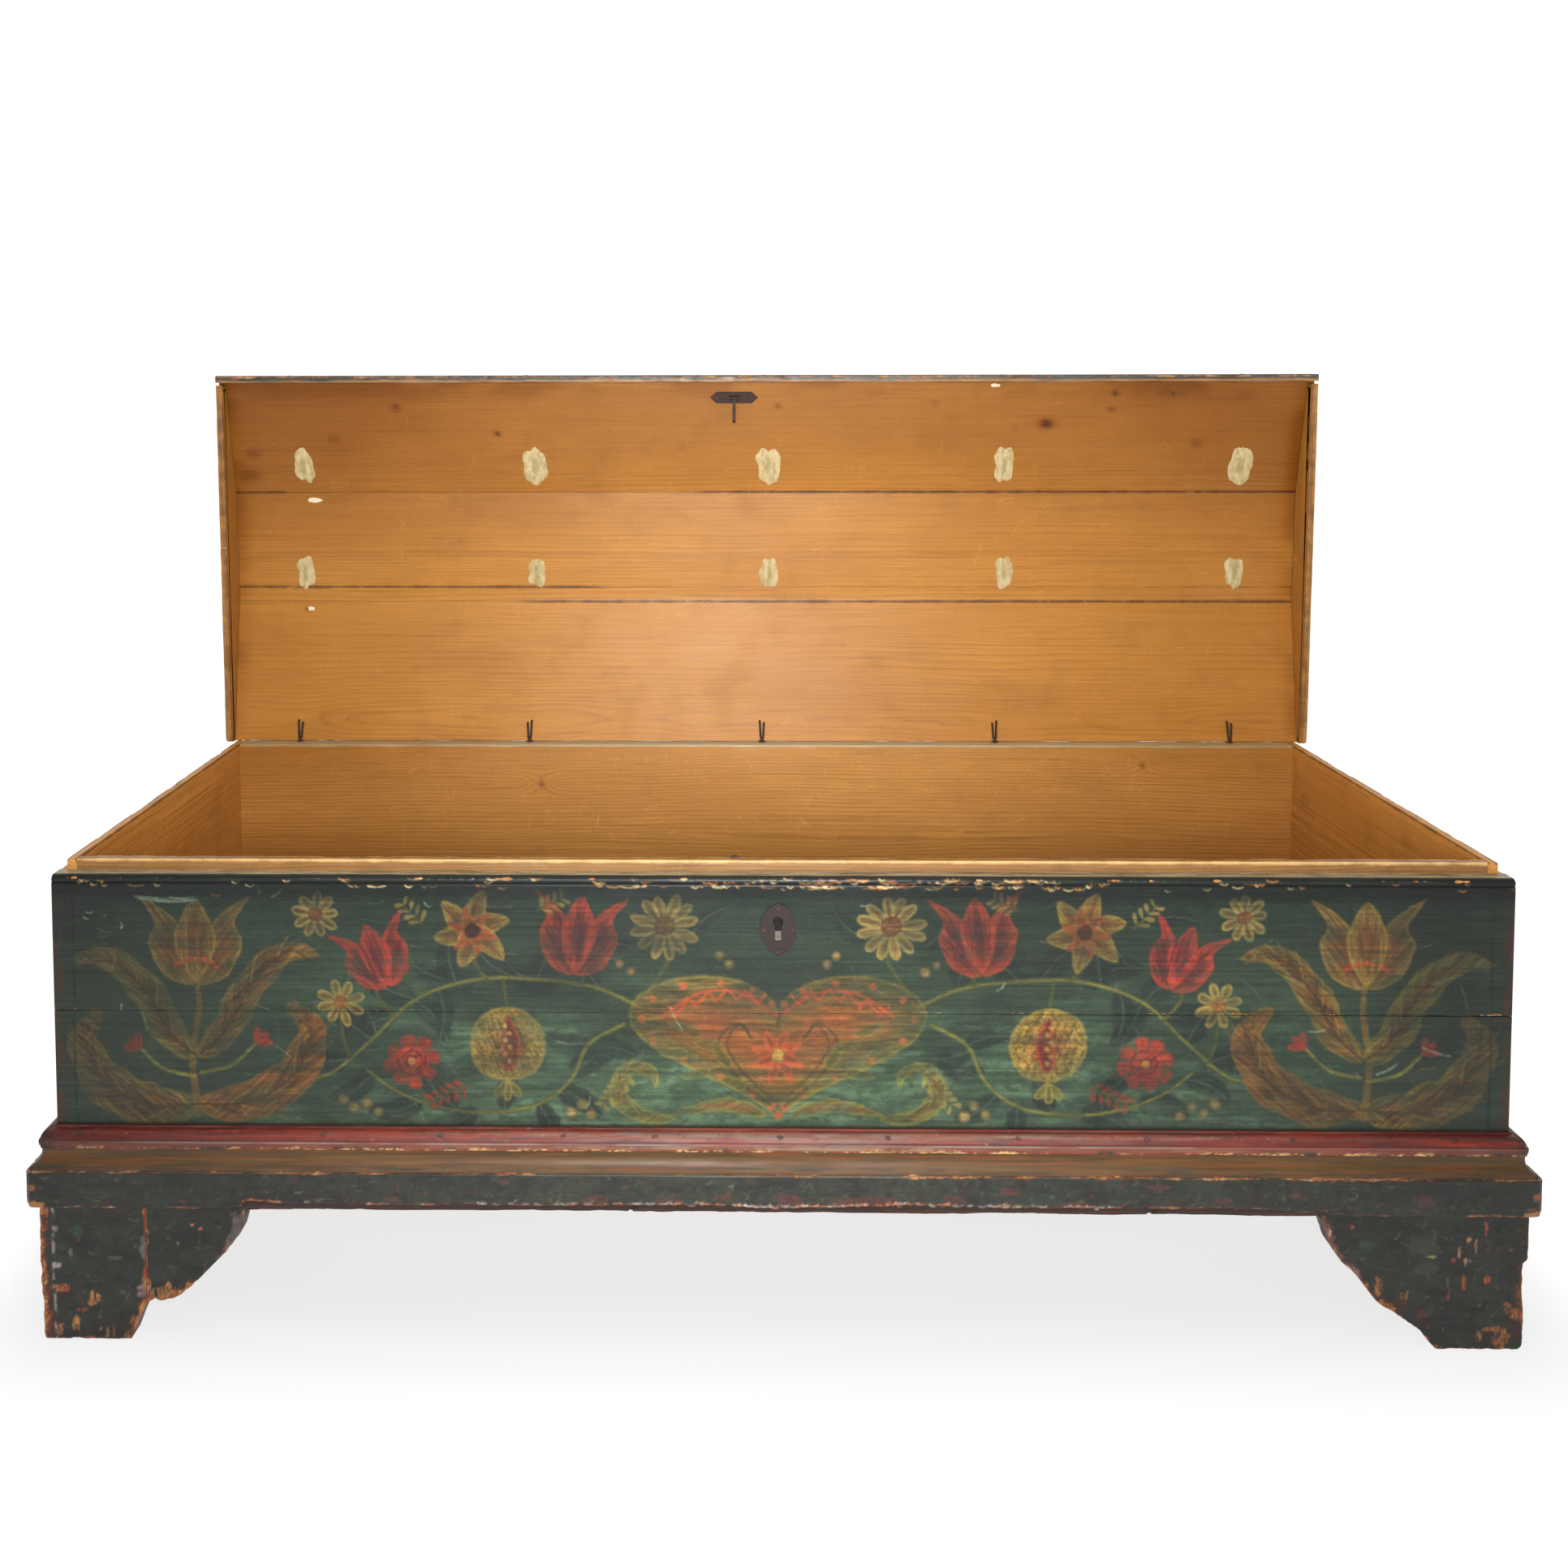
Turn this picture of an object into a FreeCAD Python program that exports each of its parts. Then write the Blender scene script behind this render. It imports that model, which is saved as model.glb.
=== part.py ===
# Storage chest with a hinged lid, drawn with the lid standing open.
# Millimetres, +X to the right as seen from the front, +Y to the back, +Z up.
# Case pieces are drawn with the front face on Y = 0 and the floor on Z = 0.
# Lid pieces are drawn in the lid's own frame: Z runs from the hinge edge to the
# front nosing along the open mouth, Y is the depth outwards from the mouth plane.
import FreeCAD, Part
import Sketcher
import math
import os

V = FreeCAD.Vector
doc = FreeCAD.newDocument("storage_chest")
sheet = doc.addObject("Spreadsheet::Sheet", "Dims")


# ---------------------------------------------------------------- driving dimensions
class Q:
    """A length that knows its value and the sheet expression that gives it."""

    def __init__(self, val, txt=None):
        self.val = float(val)
        self.bound = txt is not None
        self.txt = txt if txt is not None else ("%.6f" % float(val))

    def _mix(self, other, sign):
        o = other if isinstance(other, Q) else Q(other)
        value = {"+": self.val + o.val, "-": self.val - o.val,
                 "*": self.val * o.val}.get(sign)
        if value is None:
            value = self.val / o.val
        text = "(%s %s %s)" % (self.txt, sign, o.txt)
        return Q(value, text if (self.bound or o.bound) else None)

    def __add__(self, o):
        return self._mix(o, "+")

    def __sub__(self, o):
        return self._mix(o, "-")

    def __mul__(self, o):
        return self._mix(o, "*")

    def __truediv__(self, o):
        return self._mix(o, "/")

    def __radd__(self, o):
        return Q(o)._mix(self, "+")

    def __rsub__(self, o):
        return Q(o)._mix(self, "-")

    def __rmul__(self, o):
        return Q(o)._mix(self, "*")

    def __neg__(self):
        return Q(0)._mix(self, "-")


def q(x):
    return x if isinstance(x, Q) else Q(x)


def qsin(a):
    return Q(math.sin(math.radians(a.val)), "sin(%s)" % a.txt)


def qcos(a):
    return Q(math.cos(math.radians(a.val)), "cos(%s)" % a.txt)


row = [0]


def dim(alias, value, note):
    row[0] += 1
    sheet.set("A%d" % row[0], note)
    sheet.set("B%d" % row[0], repr(float(value)))
    sheet.setAlias("B%d" % row[0], alias)
    return Q(value, "Dims." + alias)


half_w = dim("half_w", 800, "half of the case width")
case_d = dim("case_d", 560, "case depth, front face to back face")
front_y = dim("front_y", -287.185, "front face in the shared frame")
case_bot = dim("case_bot", 155.5, "underside of the case boards")
seam_z = dim("seam_z", 365.5, "joint between the two front boards")
back_seam = dim("back_seam", 388, "joint between the two back boards")
ledge_z = dim("ledge_z", 517, "outer ledge the lid rests on")
rim_z = dim("rim_z", 529, "top of the raised rim")
end_t = dim("end_t", 19, "end board thickness")
ledge_w = dim("ledge_w", 8, "width of the side ledge")
front_t = dim("front_t", 21, "front board thickness")
lining_t = dim("lining_t", 11, "rim lining thickness")
lining_h = dim("lining_h", 104, "rim lining height")
back_t = dim("back_t", 22, "back board thickness")
floor_t = dim("floor_t", 16, "bottom board thickness")
batten_h = dim("batten_h", 8, "batten below the case front and the plinth")
red_top = dim("red_top", 237, "top of the upper moulding")
cove_top = dim("cove_top", 217, "joint between upper moulding and plinth")
plinth_top = dim("plinth_top", 196, "top arris of the plinth flat")
plinth_out = dim("plinth_out", 26, "plinth projection")
red_out = dim("red_out", 16.5, "upper moulding projection")
cove_in = dim("cove_in", 13.5, "depth of the cove's inner edge")
foot_out = dim("foot_out", 16.5, "foot projection")
foot_t = dim("foot_t", 22, "foot bracket thickness")
block_w = dim("block_w", 42, "glue block side")

lid_half = dim("lid_half", 803, "half of the lid width")
cheek_t = dim("cheek_t", 10, "cheek thickness")
lid_lean = dim("lid_lean", 1.488, "forward lean of the open lid, degrees")
mouth_y = dim("mouth_y", 541, "hinge end of the mouth plane, from the front face")
mouth_z = dim("mouth_z", 529, "hinge end of the mouth plane, height")
board_t = dim("board_t", 15, "lid board thickness")
s1 = dim("ridge_back_s", 210, "rear ridge of the lid profile, along the mouth")
d0 = dim("hinge_edge_d", 14.5, "inner face depth at the hinge edge")
d1 = dim("ridge_back_d", 50, "inner face depth at the rear ridge")
s2 = dim("ridge_front_s", 372, "front ridge, also the first board joint")
d2 = dim("ridge_front_d", 48, "inner face depth at the front ridge")
s3 = dim("nose_s", 537, "front end of the lid boards")
d3 = dim("nose_inner_d", 14.5, "inner face depth at the nosing")
nose_t = dim("nose_t", 10.5, "nosing thickness")
nose_d = dim("nose_depth", 30, "nosing depth")
fill_a = dim("fill_a", 206, "lower edge of the filler strip")
fill_b = dim("fill_b", 228, "upper edge of the filler strip")
axis_s = dim("axis_s", 1.8, "hinge axis along the mouth")
axis_d = dim("axis_d", 13.86, "hinge axis depth from the mouth plane")
wire_r = dim("wire_r", 1.6, "hinge pin wire radius")
lid_ring = dim("lid_ring", 4.0, "lid pin eye radius")
case_ring = dim("case_ring", 4.6, "case pin eye radius")
pin_leg = dim("pin_leg", 42, "case pin leg length")

key_z = dim("key_z", 468.4, "centre of the keyhole's round part")
key_rad = dim("key_rad", 5.6, "keyhole radius")
key_foot = dim("key_foot", 446, "bottom of the keyhole slot")
hasp_x = dim("hasp_x", -43.5, "hasp plate centre")
hasp_s = dim("hasp_s", 514.4, "hasp plate centre along the mouth")
plate_l = dim("plate_l", 70, "hasp plate length")
plate_b = dim("plate_b", 17, "hasp plate breadth")
staple_l = dim("staple_l", 36, "staple length below its pin")

HINGE_X = [dim("hinge_xa", -695, "hinge 1"), dim("hinge_xb", -350, "hinge 2"),
           dim("hinge_xc", -2, "hinge 3"), dim("hinge_xd", 345, "hinge 4"),
           dim("hinge_xe", 694, "hinge 5")]


def offset_vertex(p, a, b, t):
    """Corner of the outer profile: p moved out by t, between lines pa and pb."""
    def normal(u, w):
        dx, dy = w[0] - u[0], w[1] - u[1]
        n = math.hypot(dx, dy)
        return (-dy / n, dx / n)
    n1, n2 = normal(a, p), normal(p, b)
    k = t / (1 + n1[0] * n2[0] + n1[1] * n2[1])
    return (p[0] + k * (n1[0] + n2[0]), p[1] + k * (n1[1] + n2[1]))


IN = [(0.0, d0.val), (s1.val, d1.val), (s2.val, d2.val), (s3.val, d3.val)]
T = board_t.val
o1 = offset_vertex(IN[1], IN[0], IN[2], T)
o2 = offset_vertex(IN[2], IN[1], IN[3], T)
slope_b = (IN[1][1] - IN[0][1]) / (IN[1][0] - IN[0][0])
slope_m = (IN[2][1] - IN[1][1]) / (IN[2][0] - IN[1][0])
slope_f = (IN[3][1] - IN[2][1]) / (IN[3][0] - IN[2][0])
ang_b = math.degrees(math.atan(slope_b))
ang_m = math.degrees(math.atan(slope_m))
ang_f = math.degrees(math.atan(slope_f))
o0 = (0.0, o1[1] - slope_b * o1[0])
o3 = (s3.val, o2[1] + slope_f * (s3.val - o2[0]))
os1, od1 = dim("outer_s_b", o1[0], "outer rear ridge s"), dim("outer_d_b", o1[1], "outer rear ridge d")
os2, od2 = dim("outer_s_f", o2[0], "outer front ridge s"), dim("outer_d_f", o2[1], "outer front ridge d")
od0, od3 = dim("outer_d_hinge", o0[1], "outer d at hinge edge"), dim("outer_d_nose", o3[1], "outer d at nosing")
fa_in = dim("fa_in", IN[0][1] + slope_b * fill_a.val, "inner d at the filler's lower edge")
fa_out = dim("fa_out", o1[1] - slope_b * (o1[0] - fill_a.val), "outer d there")
fb_in = dim("fb_in", IN[1][1] + slope_m * (fill_b.val - IN[1][0]), "inner d at the filler's upper edge")
fb_out = dim("fb_out", o1[1] + slope_m * (fill_b.val - o1[0]), "outer d there")
doc.recompute()


def inner_d(s):
    """Depth of the lid's inner face at height s above the hinge edge."""
    if s < IN[1][0]:
        return IN[0][1] + slope_b * s
    if s < IN[2][0]:
        return IN[1][1] + slope_m * (s - IN[1][0])
    return IN[2][1] + slope_f * (s - IN[2][0])


def outer_d(s):
    """Depth of the lid's outer face at height s above the hinge edge."""
    if s < o1[0]:
        return o0[1] + slope_b * s
    if s < o2[0]:
        return o1[1] + slope_m * (s - o1[0])
    return o2[1] + slope_f * (s - o2[0])


# ---------------------------------------------------------------- construction helpers
NODES = []


def bind(obj, path, value):
    value = q(value)
    if value.bound:
        obj.setExpression(path, value.txt)


POS = {}


def set_pos(obj, x, y, z, rot=None):
    x, y, z = q(x), q(y), q(z)
    POS[obj.Name] = (x, y, z, rot)
    obj.Placement = FreeCAD.Placement(V(x.val, y.val, z.val), rot or FreeCAD.Rotation())
    bind(obj, ".Placement.Base.x", x)
    bind(obj, ".Placement.Base.y", y)
    bind(obj, ".Placement.Base.z", z)


def box(name, x0, x1, y0, y1, z0, z1, rot=None):
    o = doc.addObject("Part::Box", name)
    for prop, a, b in (("Length", x0, x1), ("Width", y0, y1), ("Height", z0, z1)):
        span = q(b) - q(a)
        setattr(o, prop, span.val)
        bind(o, prop, span)
    set_pos(o, x0, y0, z0, rot)
    return o


ROT = {"x": FreeCAD.Rotation(V(0, 1, 0), 90), "y": FreeCAD.Rotation(V(1, 0, 0), -90),
       "z": FreeCAD.Rotation()}


def cyl(name, axis, x, y, z, r, h, rot=None):
    """Cylinder whose base centre is (x, y, z) and whose axis points along +axis."""
    o = doc.addObject("Part::Cylinder", name)
    r, h = q(r), q(h)
    o.Radius, o.Height = r.val, h.val
    bind(o, "Radius", r)
    bind(o, "Height", h)
    set_pos(o, x, y, z, rot or ROT[axis])
    return o


def torus(name, axis, x, y, z, big, small):
    o = doc.addObject("Part::Torus", name)
    big, small = q(big), q(small)
    o.Radius1, o.Radius2 = big.val, small.val
    bind(o, "Radius1", big)
    bind(o, "Radius2", small)
    set_pos(o, x, y, z, ROT[axis])
    return o


def ball(name, x, y, z, r):
    o = doc.addObject("Part::Sphere", name)
    r = q(r)
    o.Radius = r.val
    bind(o, "Radius", r)
    set_pos(o, x, y, z)
    return o


def prism(name, plane, pts, a, b):
    """Body: closed profile padded from a to b along the plane's axis.
    plane "x": points are (y, z); "y": points are (x, z); "z": points are (x, y).
    A point may carry a third item (mx, my): the side that ends there is an arc
    through that middle point."""
    body = doc.addObject("PartDesign::Body", name)
    sk = body.newObject("Sketcher::SketchObject", name + "_profile")
    role = {"x": "YZ_Plane", "y": "XZ_Plane", "z": "XY_Plane"}[plane]
    base = [f for f in body.Origin.OriginFeatures if f.Role == role][0]
    sk.AttachmentSupport = [(base, "")]
    sk.MapMode = "FlatFace"
    a, b = q(a), q(b)
    start = -a if plane == "y" else a
    sk.AttachmentOffset = FreeCAD.Placement(V(0, 0, start.val), FreeCAD.Rotation())
    bind(sk, ".AttachmentOffset.Base.z", start)
    n = len(pts)
    ends = []
    for i in range(n):
        p, w = pts[i], pts[(i + 1) % n]
        p0 = V(q(p[0]).val, q(p[1]).val, 0)
        p1 = V(q(w[0]).val, q(w[1]).val, 0)
        if len(w) > 2:
            pm = V(w[2][0], w[2][1], 0)
            ax, ay, bx, by, cx, cy = p0.x, p0.y, pm.x, pm.y, p1.x, p1.y
            dd = 2 * (ax * (by - cy) + bx * (cy - ay) + cx * (ay - by))
            ux = ((ax * ax + ay * ay) * (by - cy) + (bx * bx + by * by) * (cy - ay) + (cx * cx + cy * cy) * (ay - by)) / dd
            uy = ((ax * ax + ay * ay) * (cx - bx) + (bx * bx + by * by) * (ax - cx) + (cx * cx + cy * cy) * (bx - ax)) / dd
            rad = math.hypot(ax - ux, ay - uy)
            t0, t1 = math.atan2(ay - uy, ax - ux), math.atan2(cy - uy, cx - ux)
            ccw = (bx - ax) * (cy - ay) - (by - ay) * (cx - ax) > 0
            if ccw:
                if t1 < t0:
                    t1 += 2 * math.pi
                geo = Part.ArcOfCircle(Part.Circle(V(ux, uy, 0), V(0, 0, 1), rad), t0, t1)
                ends.append((1, 2))
            else:
                if t0 < t1:
                    t0 += 2 * math.pi
                geo = Part.ArcOfCircle(Part.Circle(V(ux, uy, 0), V(0, 0, 1), rad), t1, t0)
                ends.append((2, 1))
            g = sk.addGeometry(geo, False)
            sk.addConstraint(Sketcher.Constraint("Radius", g, rad))
        else:
            sk.addGeometry(Part.LineSegment(p0, p1), False)
            ends.append((1, 2))
    for i in range(n):
        j = (i + 1) % n
        sk.addConstraint(Sketcher.Constraint("Coincident", i, ends[i][1], j, ends[j][0]))
    for i in range(n):
        for kind, value, axis in (("DistanceX", q(pts[i][0]), -2), ("DistanceY", q(pts[i][1]), -1)):
            if abs(value.val) < 1e-7:
                sk.addConstraint(Sketcher.Constraint("PointOnObject", i, ends[i][0], axis))
                continue
            c = sk.addConstraint(Sketcher.Constraint(kind, -1, 1, i, ends[i][0], value.val))
            if value.bound:
                cname = "%s%d" % ("px" if kind == "DistanceX" else "py", i)
                sk.renameConstraint(c, cname)
                sk.setExpression("Constraints." + cname, value.txt)
    pad = body.newObject("PartDesign::Pad", name + "_pad")
    pad.Profile = sk
    span = b - a
    pad.Length = span.val
    bind(pad, "Length", span)
    if plane == "y":
        pad.Reversed = True
    body.Tip = pad
    return body


def group(name, items, kind="Part::Compound"):
    o = doc.addObject(kind, name)
    if kind == "Part::Compound":
        o.Links = items
    else:
        o.Shapes = items
    return o


def cut(name, base, tools):
    o = doc.addObject("Part::Cut", name)
    o.Base = base
    if len(tools) == 1:
        o.Tool = tools[0]
    else:
        o.Tool = group(name + "_tools", tools)
    return o


def fuse(name, items):
    return group(name, items, "Part::MultiFuse")


def common(name, a, b):
    o = doc.addObject("Part::Common", name)
    o.Base, o.Tool = a, b
    return o


def in_case(obj, label):
    """Finish a node drawn in the case frame."""
    obj.Label = label
    x, y, z, rot = POS.get(obj.Name, (Q(0), Q(0), Q(0), None))
    set_pos(obj, x, y + front_y, z, rot)
    NODES.append((label, obj))
    return obj


def in_lid(obj, label):
    """Finish a node drawn in the lid frame."""
    obj.Label = label
    set_pos(obj, 0, front_y + mouth_y, mouth_z, FreeCAD.Rotation(V(1, 0, 0), lid_lean.val))
    bind(obj, ".Placement.Rotation.Angle", lid_lean)
    NODES.append((label, obj))
    return obj


# ---------------------------------------------------------------- fasteners used as tools
def nail(name, axis, x, y, z, head_r, head_h, shank_r, length, grow=0.0, sign=1):
    """Flat-headed nail. (x, y, z) is the centre of the head's outer face."""
    parts = []
    dx, dy, dz = {"x": (1, 0, 0), "y": (0, 1, 0), "z": (0, 0, 1)}[axis]
    hh = head_h + grow
    if sign > 0:
        head = cyl(name + "_head", axis, q(x) - grow * dx, q(y) - grow * dy, q(z) - grow * dz,
                   head_r + grow, hh + grow)
        shank = cyl(name + "_shank", axis, q(x) + dx * head_h * 0.5, q(y) + dy * head_h * 0.5,
                    q(z) + dz * head_h * 0.5, shank_r + grow, length + grow)
    else:
        head = cyl(name + "_head", axis, q(x) - dx * head_h, q(y) - dy * head_h, q(z) - dz * head_h,
                   head_r + grow, hh + grow)
        shank = cyl(name + "_shank", axis, q(x) - dx * (length + head_h * 0.5 + grow),
                    q(y) - dy * (length + head_h * 0.5 + grow), q(z) - dz * (length + head_h * 0.5 + grow),
                    shank_r + grow, length + grow)
    parts = [head, shank]
    return fuse(name, parts)


def nails(name, specs):
    """Two groups for a list of nails: the nails and their slightly larger holes."""
    solid, hole = [], []
    for i, sp in enumerate(specs):
        solid.append(nail("%s_%d" % (name, i), *sp, grow=0.0) if len(sp) == 8 else
                     nail("%s_%d" % (name, i), *sp[:8], grow=0.0, sign=sp[8]))
        hole.append(nail("%s_bore_%d" % (name, i), *sp, grow=0.12) if len(sp) == 8 else
                    nail("%s_bore_%d" % (name, i), *sp[:8], grow=0.12, sign=sp[8]))
    return group(name + "_set", solid), group(name + "_bores", hole)


# ================================================================ case boards
TAIL_Z = [195.0, 262.0, 329.0, 402.0, 473.0]
TAIL_IN, TAIL_OUT = 15.0, 20.0


def tail_tool(name, zc, side):
    k = (TAIL_OUT - TAIL_IN) / front_t.val
    pts = [(front_t, zc - TAIL_IN), (front_t, zc + TAIL_IN), (-1, zc + TAIL_OUT + k), (-1, zc - TAIL_OUT - k)]
    if side < 0:
        return prism(name, "x", pts, -half_w, -half_w + end_t)
    return prism(name, "x", pts, half_w - end_t, half_w)


plinth_nail_x = [-760, -560, -330, -110, 120, 340, 570, 765]
moulding_specs = [("y", x, -plinth_out - 0.2, 176, 3.0, 1.4, 1.5, 34) for x in plinth_nail_x]
moulding_specs += [("x", -half_w - plinth_out - 0.2, y, 176, 3.0, 1.4, 1.5, 34) for y in (60, 280, 500)]
moulding_specs += [("x", half_w + plinth_out + 0.2, y, 176, 3.0, 1.4, 1.5, 34, -1) for y in (60, 280, 500)]
moulding_set, moulding_bores = nails("moulding_nail", moulding_specs)

back_specs = [("x", -half_w - 0.2, case_d - 11, z, 2.6, 1.2, 1.4, 44) for z in (252, 322, 425, 500)]
back_specs += [("x", half_w + 0.2, case_d - 11, z, 2.6, 1.2, 1.4, 44, -1) for z in (252, 322, 425, 500)]
back_set, back_bores = nails("back_nail", back_specs)


def keyhole(name, y0, y1):
    return fuse(name, [
        cyl(name + "_eye", "y", 0, y0, key_z, key_rad, q(y1) - y0),
        box(name + "_slot", -3.6, 3.6, y0, y1, key_foot, key_z)])


# front boards: the upper one carries the rounded top edge and a scratched bead
upper = prism("front_upper_blank", "x",
              [(0, seam_z), (front_t, seam_z), (front_t, ledge_z), (4.5, ledge_z),
               (0, ledge_z - 4.5, (1.318, ledge_z.val - 1.318)), (0, ledge_z - 6.3),
               (1.3, ledge_z - 7.1), (0, ledge_z - 7.9)],
              -half_w, half_w)
lower = prism("front_lower_blank", "x",
              [(0, case_bot), (front_t, case_bot), (front_t, seam_z), (0, seam_z)],
              -half_w, half_w)
tools_up, tools_low = [keyhole("front_keyhole", -2, front_t + 1)], [moulding_bores]
for i, zc in enumerate(TAIL_Z):
    for side, tag in ((-1, "l"), (1, "r")):
        t = tail_tool("socket_%s%d" % (tag, i), zc, side)
        (tools_low if zc < seam_z.val else tools_up).append(t)

# escutcheon with its nails
esc_body = prism("escutcheon_blank", "y",
                 [(0.2, 430.6, (-8.2, 434.7)), (14.9, 441.5, (8.6, 434.7)), (20.6, 459.6, (19.2, 450.2)),
                  (14.9, 477.7, (19.2, 469.0)), (0.2, 488.6, (8.6, 484.5)),
                  (-14.5, 477.7, (-8.2, 484.5)), (-20.2, 459.6, (-18.8, 469.0)),
                  (-14.5, 441.5, (-18.8, 450.2))],
                 -1.6, 0)
esc_specs = [("y", x, -2.2, z, 1.9, 0.6, 0.9, 14) for x, z in
             ((0.2, 435.6), (0.2, 483.4), (-15.6, 459.6), (16.0, 459.6))]
esc_set, esc_bores = nails("escutcheon_nail", esc_specs)
in_case(cut("escutcheon_cut", esc_body, [keyhole("escutcheon_keyhole", -3, 1), esc_bores]), "escutcheon")
in_case(esc_set, "escutcheon_nails")
tools_up.append(esc_bores)

in_case(cut("front_upper_cut", upper, tools_up), "front_board_upper")
in_case(cut("front_lower_cut", lower, tools_low), "front_board_lower")

# end boards with their dovetails and the rebate that leaves the raised rim
outline = [(case_d, case_bot), (case_d, rim_z), (front_t, rim_z)]
for zc in reversed(TAIL_Z):
    outline += [(front_t, zc + TAIL_IN), (0, zc + TAIL_OUT), (0, zc - TAIL_OUT), (front_t, zc - TAIL_IN)]
outline += [(front_t, case_bot)]
left_blank = prism("left_end_blank", "x", outline, -half_w, -half_w + end_t)
right_blank = prism("right_end_blank", "x", outline, half_w - end_t, half_w)
in_case(cut("left_end_cut", left_blank,
            [box("left_rebate", -half_w - 1, -half_w + ledge_w, front_t - 1, case_d + 1, ledge_z, rim_z + 1),
             moulding_bores, back_bores]), "left_end_board")
in_case(cut("right_end_cut", right_blank,
            [box("right_rebate", half_w - ledge_w, half_w + 1, front_t - 1, case_d + 1, ledge_z, rim_z + 1),
             moulding_bores, back_bores]), "right_end_board")

# lining strip that makes the front part of the rim
in_x = half_w - end_t
lock_y = front_t + lining_t
lock_specs = [("y", x, lock_y + 2.6, z, 2.4, 0.8, 1.1, 8.5, -1) for x, z in
              ((-88, 436), (38, 436), (-88, 512), (38, 512))]
lock_set, lock_bores = nails("lock_nail", lock_specs)
in_case(cut("rim_strip_cut",
            box("rim_strip_blank", -in_x, in_x, front_t, lock_y, rim_z - lining_h, rim_z),
            [keyhole("rim_strip_keyhole", front_t - 1, lock_y + 1), lock_bores, esc_bores]), "front_rim_strip")

# back boards; the upper one is notched for the hinge eyes and drilled for their legs
axis_y = mouth_y + axis_d * qcos(lid_lean) - axis_s * qsin(lid_lean)
axis_z = mouth_z + axis_d * qsin(lid_lean) + axis_s * qcos(lid_lean)
back_y = case_d - back_t
in_case(cut("back_lower_cut", box("back_lower_blank", -in_x, in_x, back_y, case_d, case_bot, back_seam),
            [back_bores]), "back_board_lower")
notch_tools = [back_bores]
pins = []
for i, hx in enumerate(HINGE_X):
    foot = axis_z - 2 * case_ring - wire_r - 0.6
    notch_tools.append(box("hinge_notch_%d" % i, hx - 6.9, hx + 6.9, axis_y - lid_ring - wire_r - 0.7,
                           case_d + 1, foot, rim_z + 1))
    legs = []
    for k, sx in enumerate((-2.3, 2.3)):
        notch_tools.append(cyl("pin_hole_%d%d" % (i, k), "z", hx + sx, axis_y, foot - pin_leg, wire_r + 0.15,
                               pin_leg + 1))
        legs.append(cyl("pin_leg_%d%d" % (i, k), "z", hx + sx, axis_y, foot - pin_leg + 2, wire_r,
                        pin_leg - 2 + 2.6))
    ring = torus("pin_ring_%d" % i, "y", hx, axis_y, axis_z - case_ring, case_ring, wire_r)
    pins.append(fuse("case_pin_%d" % i, [ring] + legs))
in_case(cut("back_upper_cut", box("back_upper_blank", -in_x, in_x, back_y, case_d, back_seam, rim_z),
            notch_tools), "back_board_upper")
in_case(group("case_pin_set", pins), "case_hinge_pins")
in_case(back_set, "back_board_nails")

# bottom boards
depth = (back_y - front_t) / 3
in_case(box("bottom_a", -in_x, in_x, front_t, front_t + depth - 0.4, case_bot, case_bot + floor_t), "bottom_board_front")
in_case(box("bottom_b", -in_x, in_x, front_t + depth, front_t + 2 * depth - 0.4, case_bot, case_bot + floor_t), "bottom_board_middle")
in_case(box("bottom_c", -in_x, in_x, front_t + 2 * depth, back_y, case_bot, case_bot + floor_t), "bottom_board_back")

# battens under the case front and the plinth, three lengths with gaps between them
for tag, xa, xb in (("left", -585.5, -163.5), ("middle", -160.5, 403.5), ("right", 406.5, 588.5)):
    in_case(box("batten_" + tag, xa, xb, -14, 28, case_bot - batten_h, case_bot), "base_batten_" + tag)

# ================================================================ base mouldings
def red_profile(f):
    """f maps (projection, height) to the sketch plane."""
    pts = [(0, cove_top, None), (red_out - 1, cove_top, None), (red_out, cove_top + 1, None),
           (red_out, cove_top + 6.5, None), (red_out - 1.2, cove_top + 7.6, None),
           (2.6, red_top - 2.0, (12.2, 232.2)), (2.6, red_top - 0.8, None), (1.6, red_top, None), (0, red_top, None)]
    return [f(a, b, m) for a, b, m in pts]


def plinth_profile(f):
    pts = [(0, case_bot, None), (plinth_out - 1.5, case_bot, None), (plinth_out, case_bot + 1.5, None),
           (plinth_out, plinth_top - 2, None), (plinth_out - 1.5, plinth_top, None),
           (plinth_out - 3, plinth_top + 0.4, None), (cove_in, cove_top - 4, (15.7, 203.6)),
           (cove_in, cove_top, None), (0, cove_top, None)]
    return [f(a, b, m) for a, b, m in pts]


def on_front(a, b, m):
    return (-q(a), b) if m is None else (-q(a), b, (-m[0], m[1]))


def on_left(a, b, m):
    return (-half_w - a, b) if m is None else (-half_w - a, b, (-half_w.val - m[0], m[1]))


def on_right(a, b, m):
    return (half_w + a, b) if m is None else (half_w + a, b, (half_w.val + m[0], m[1]))


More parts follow.
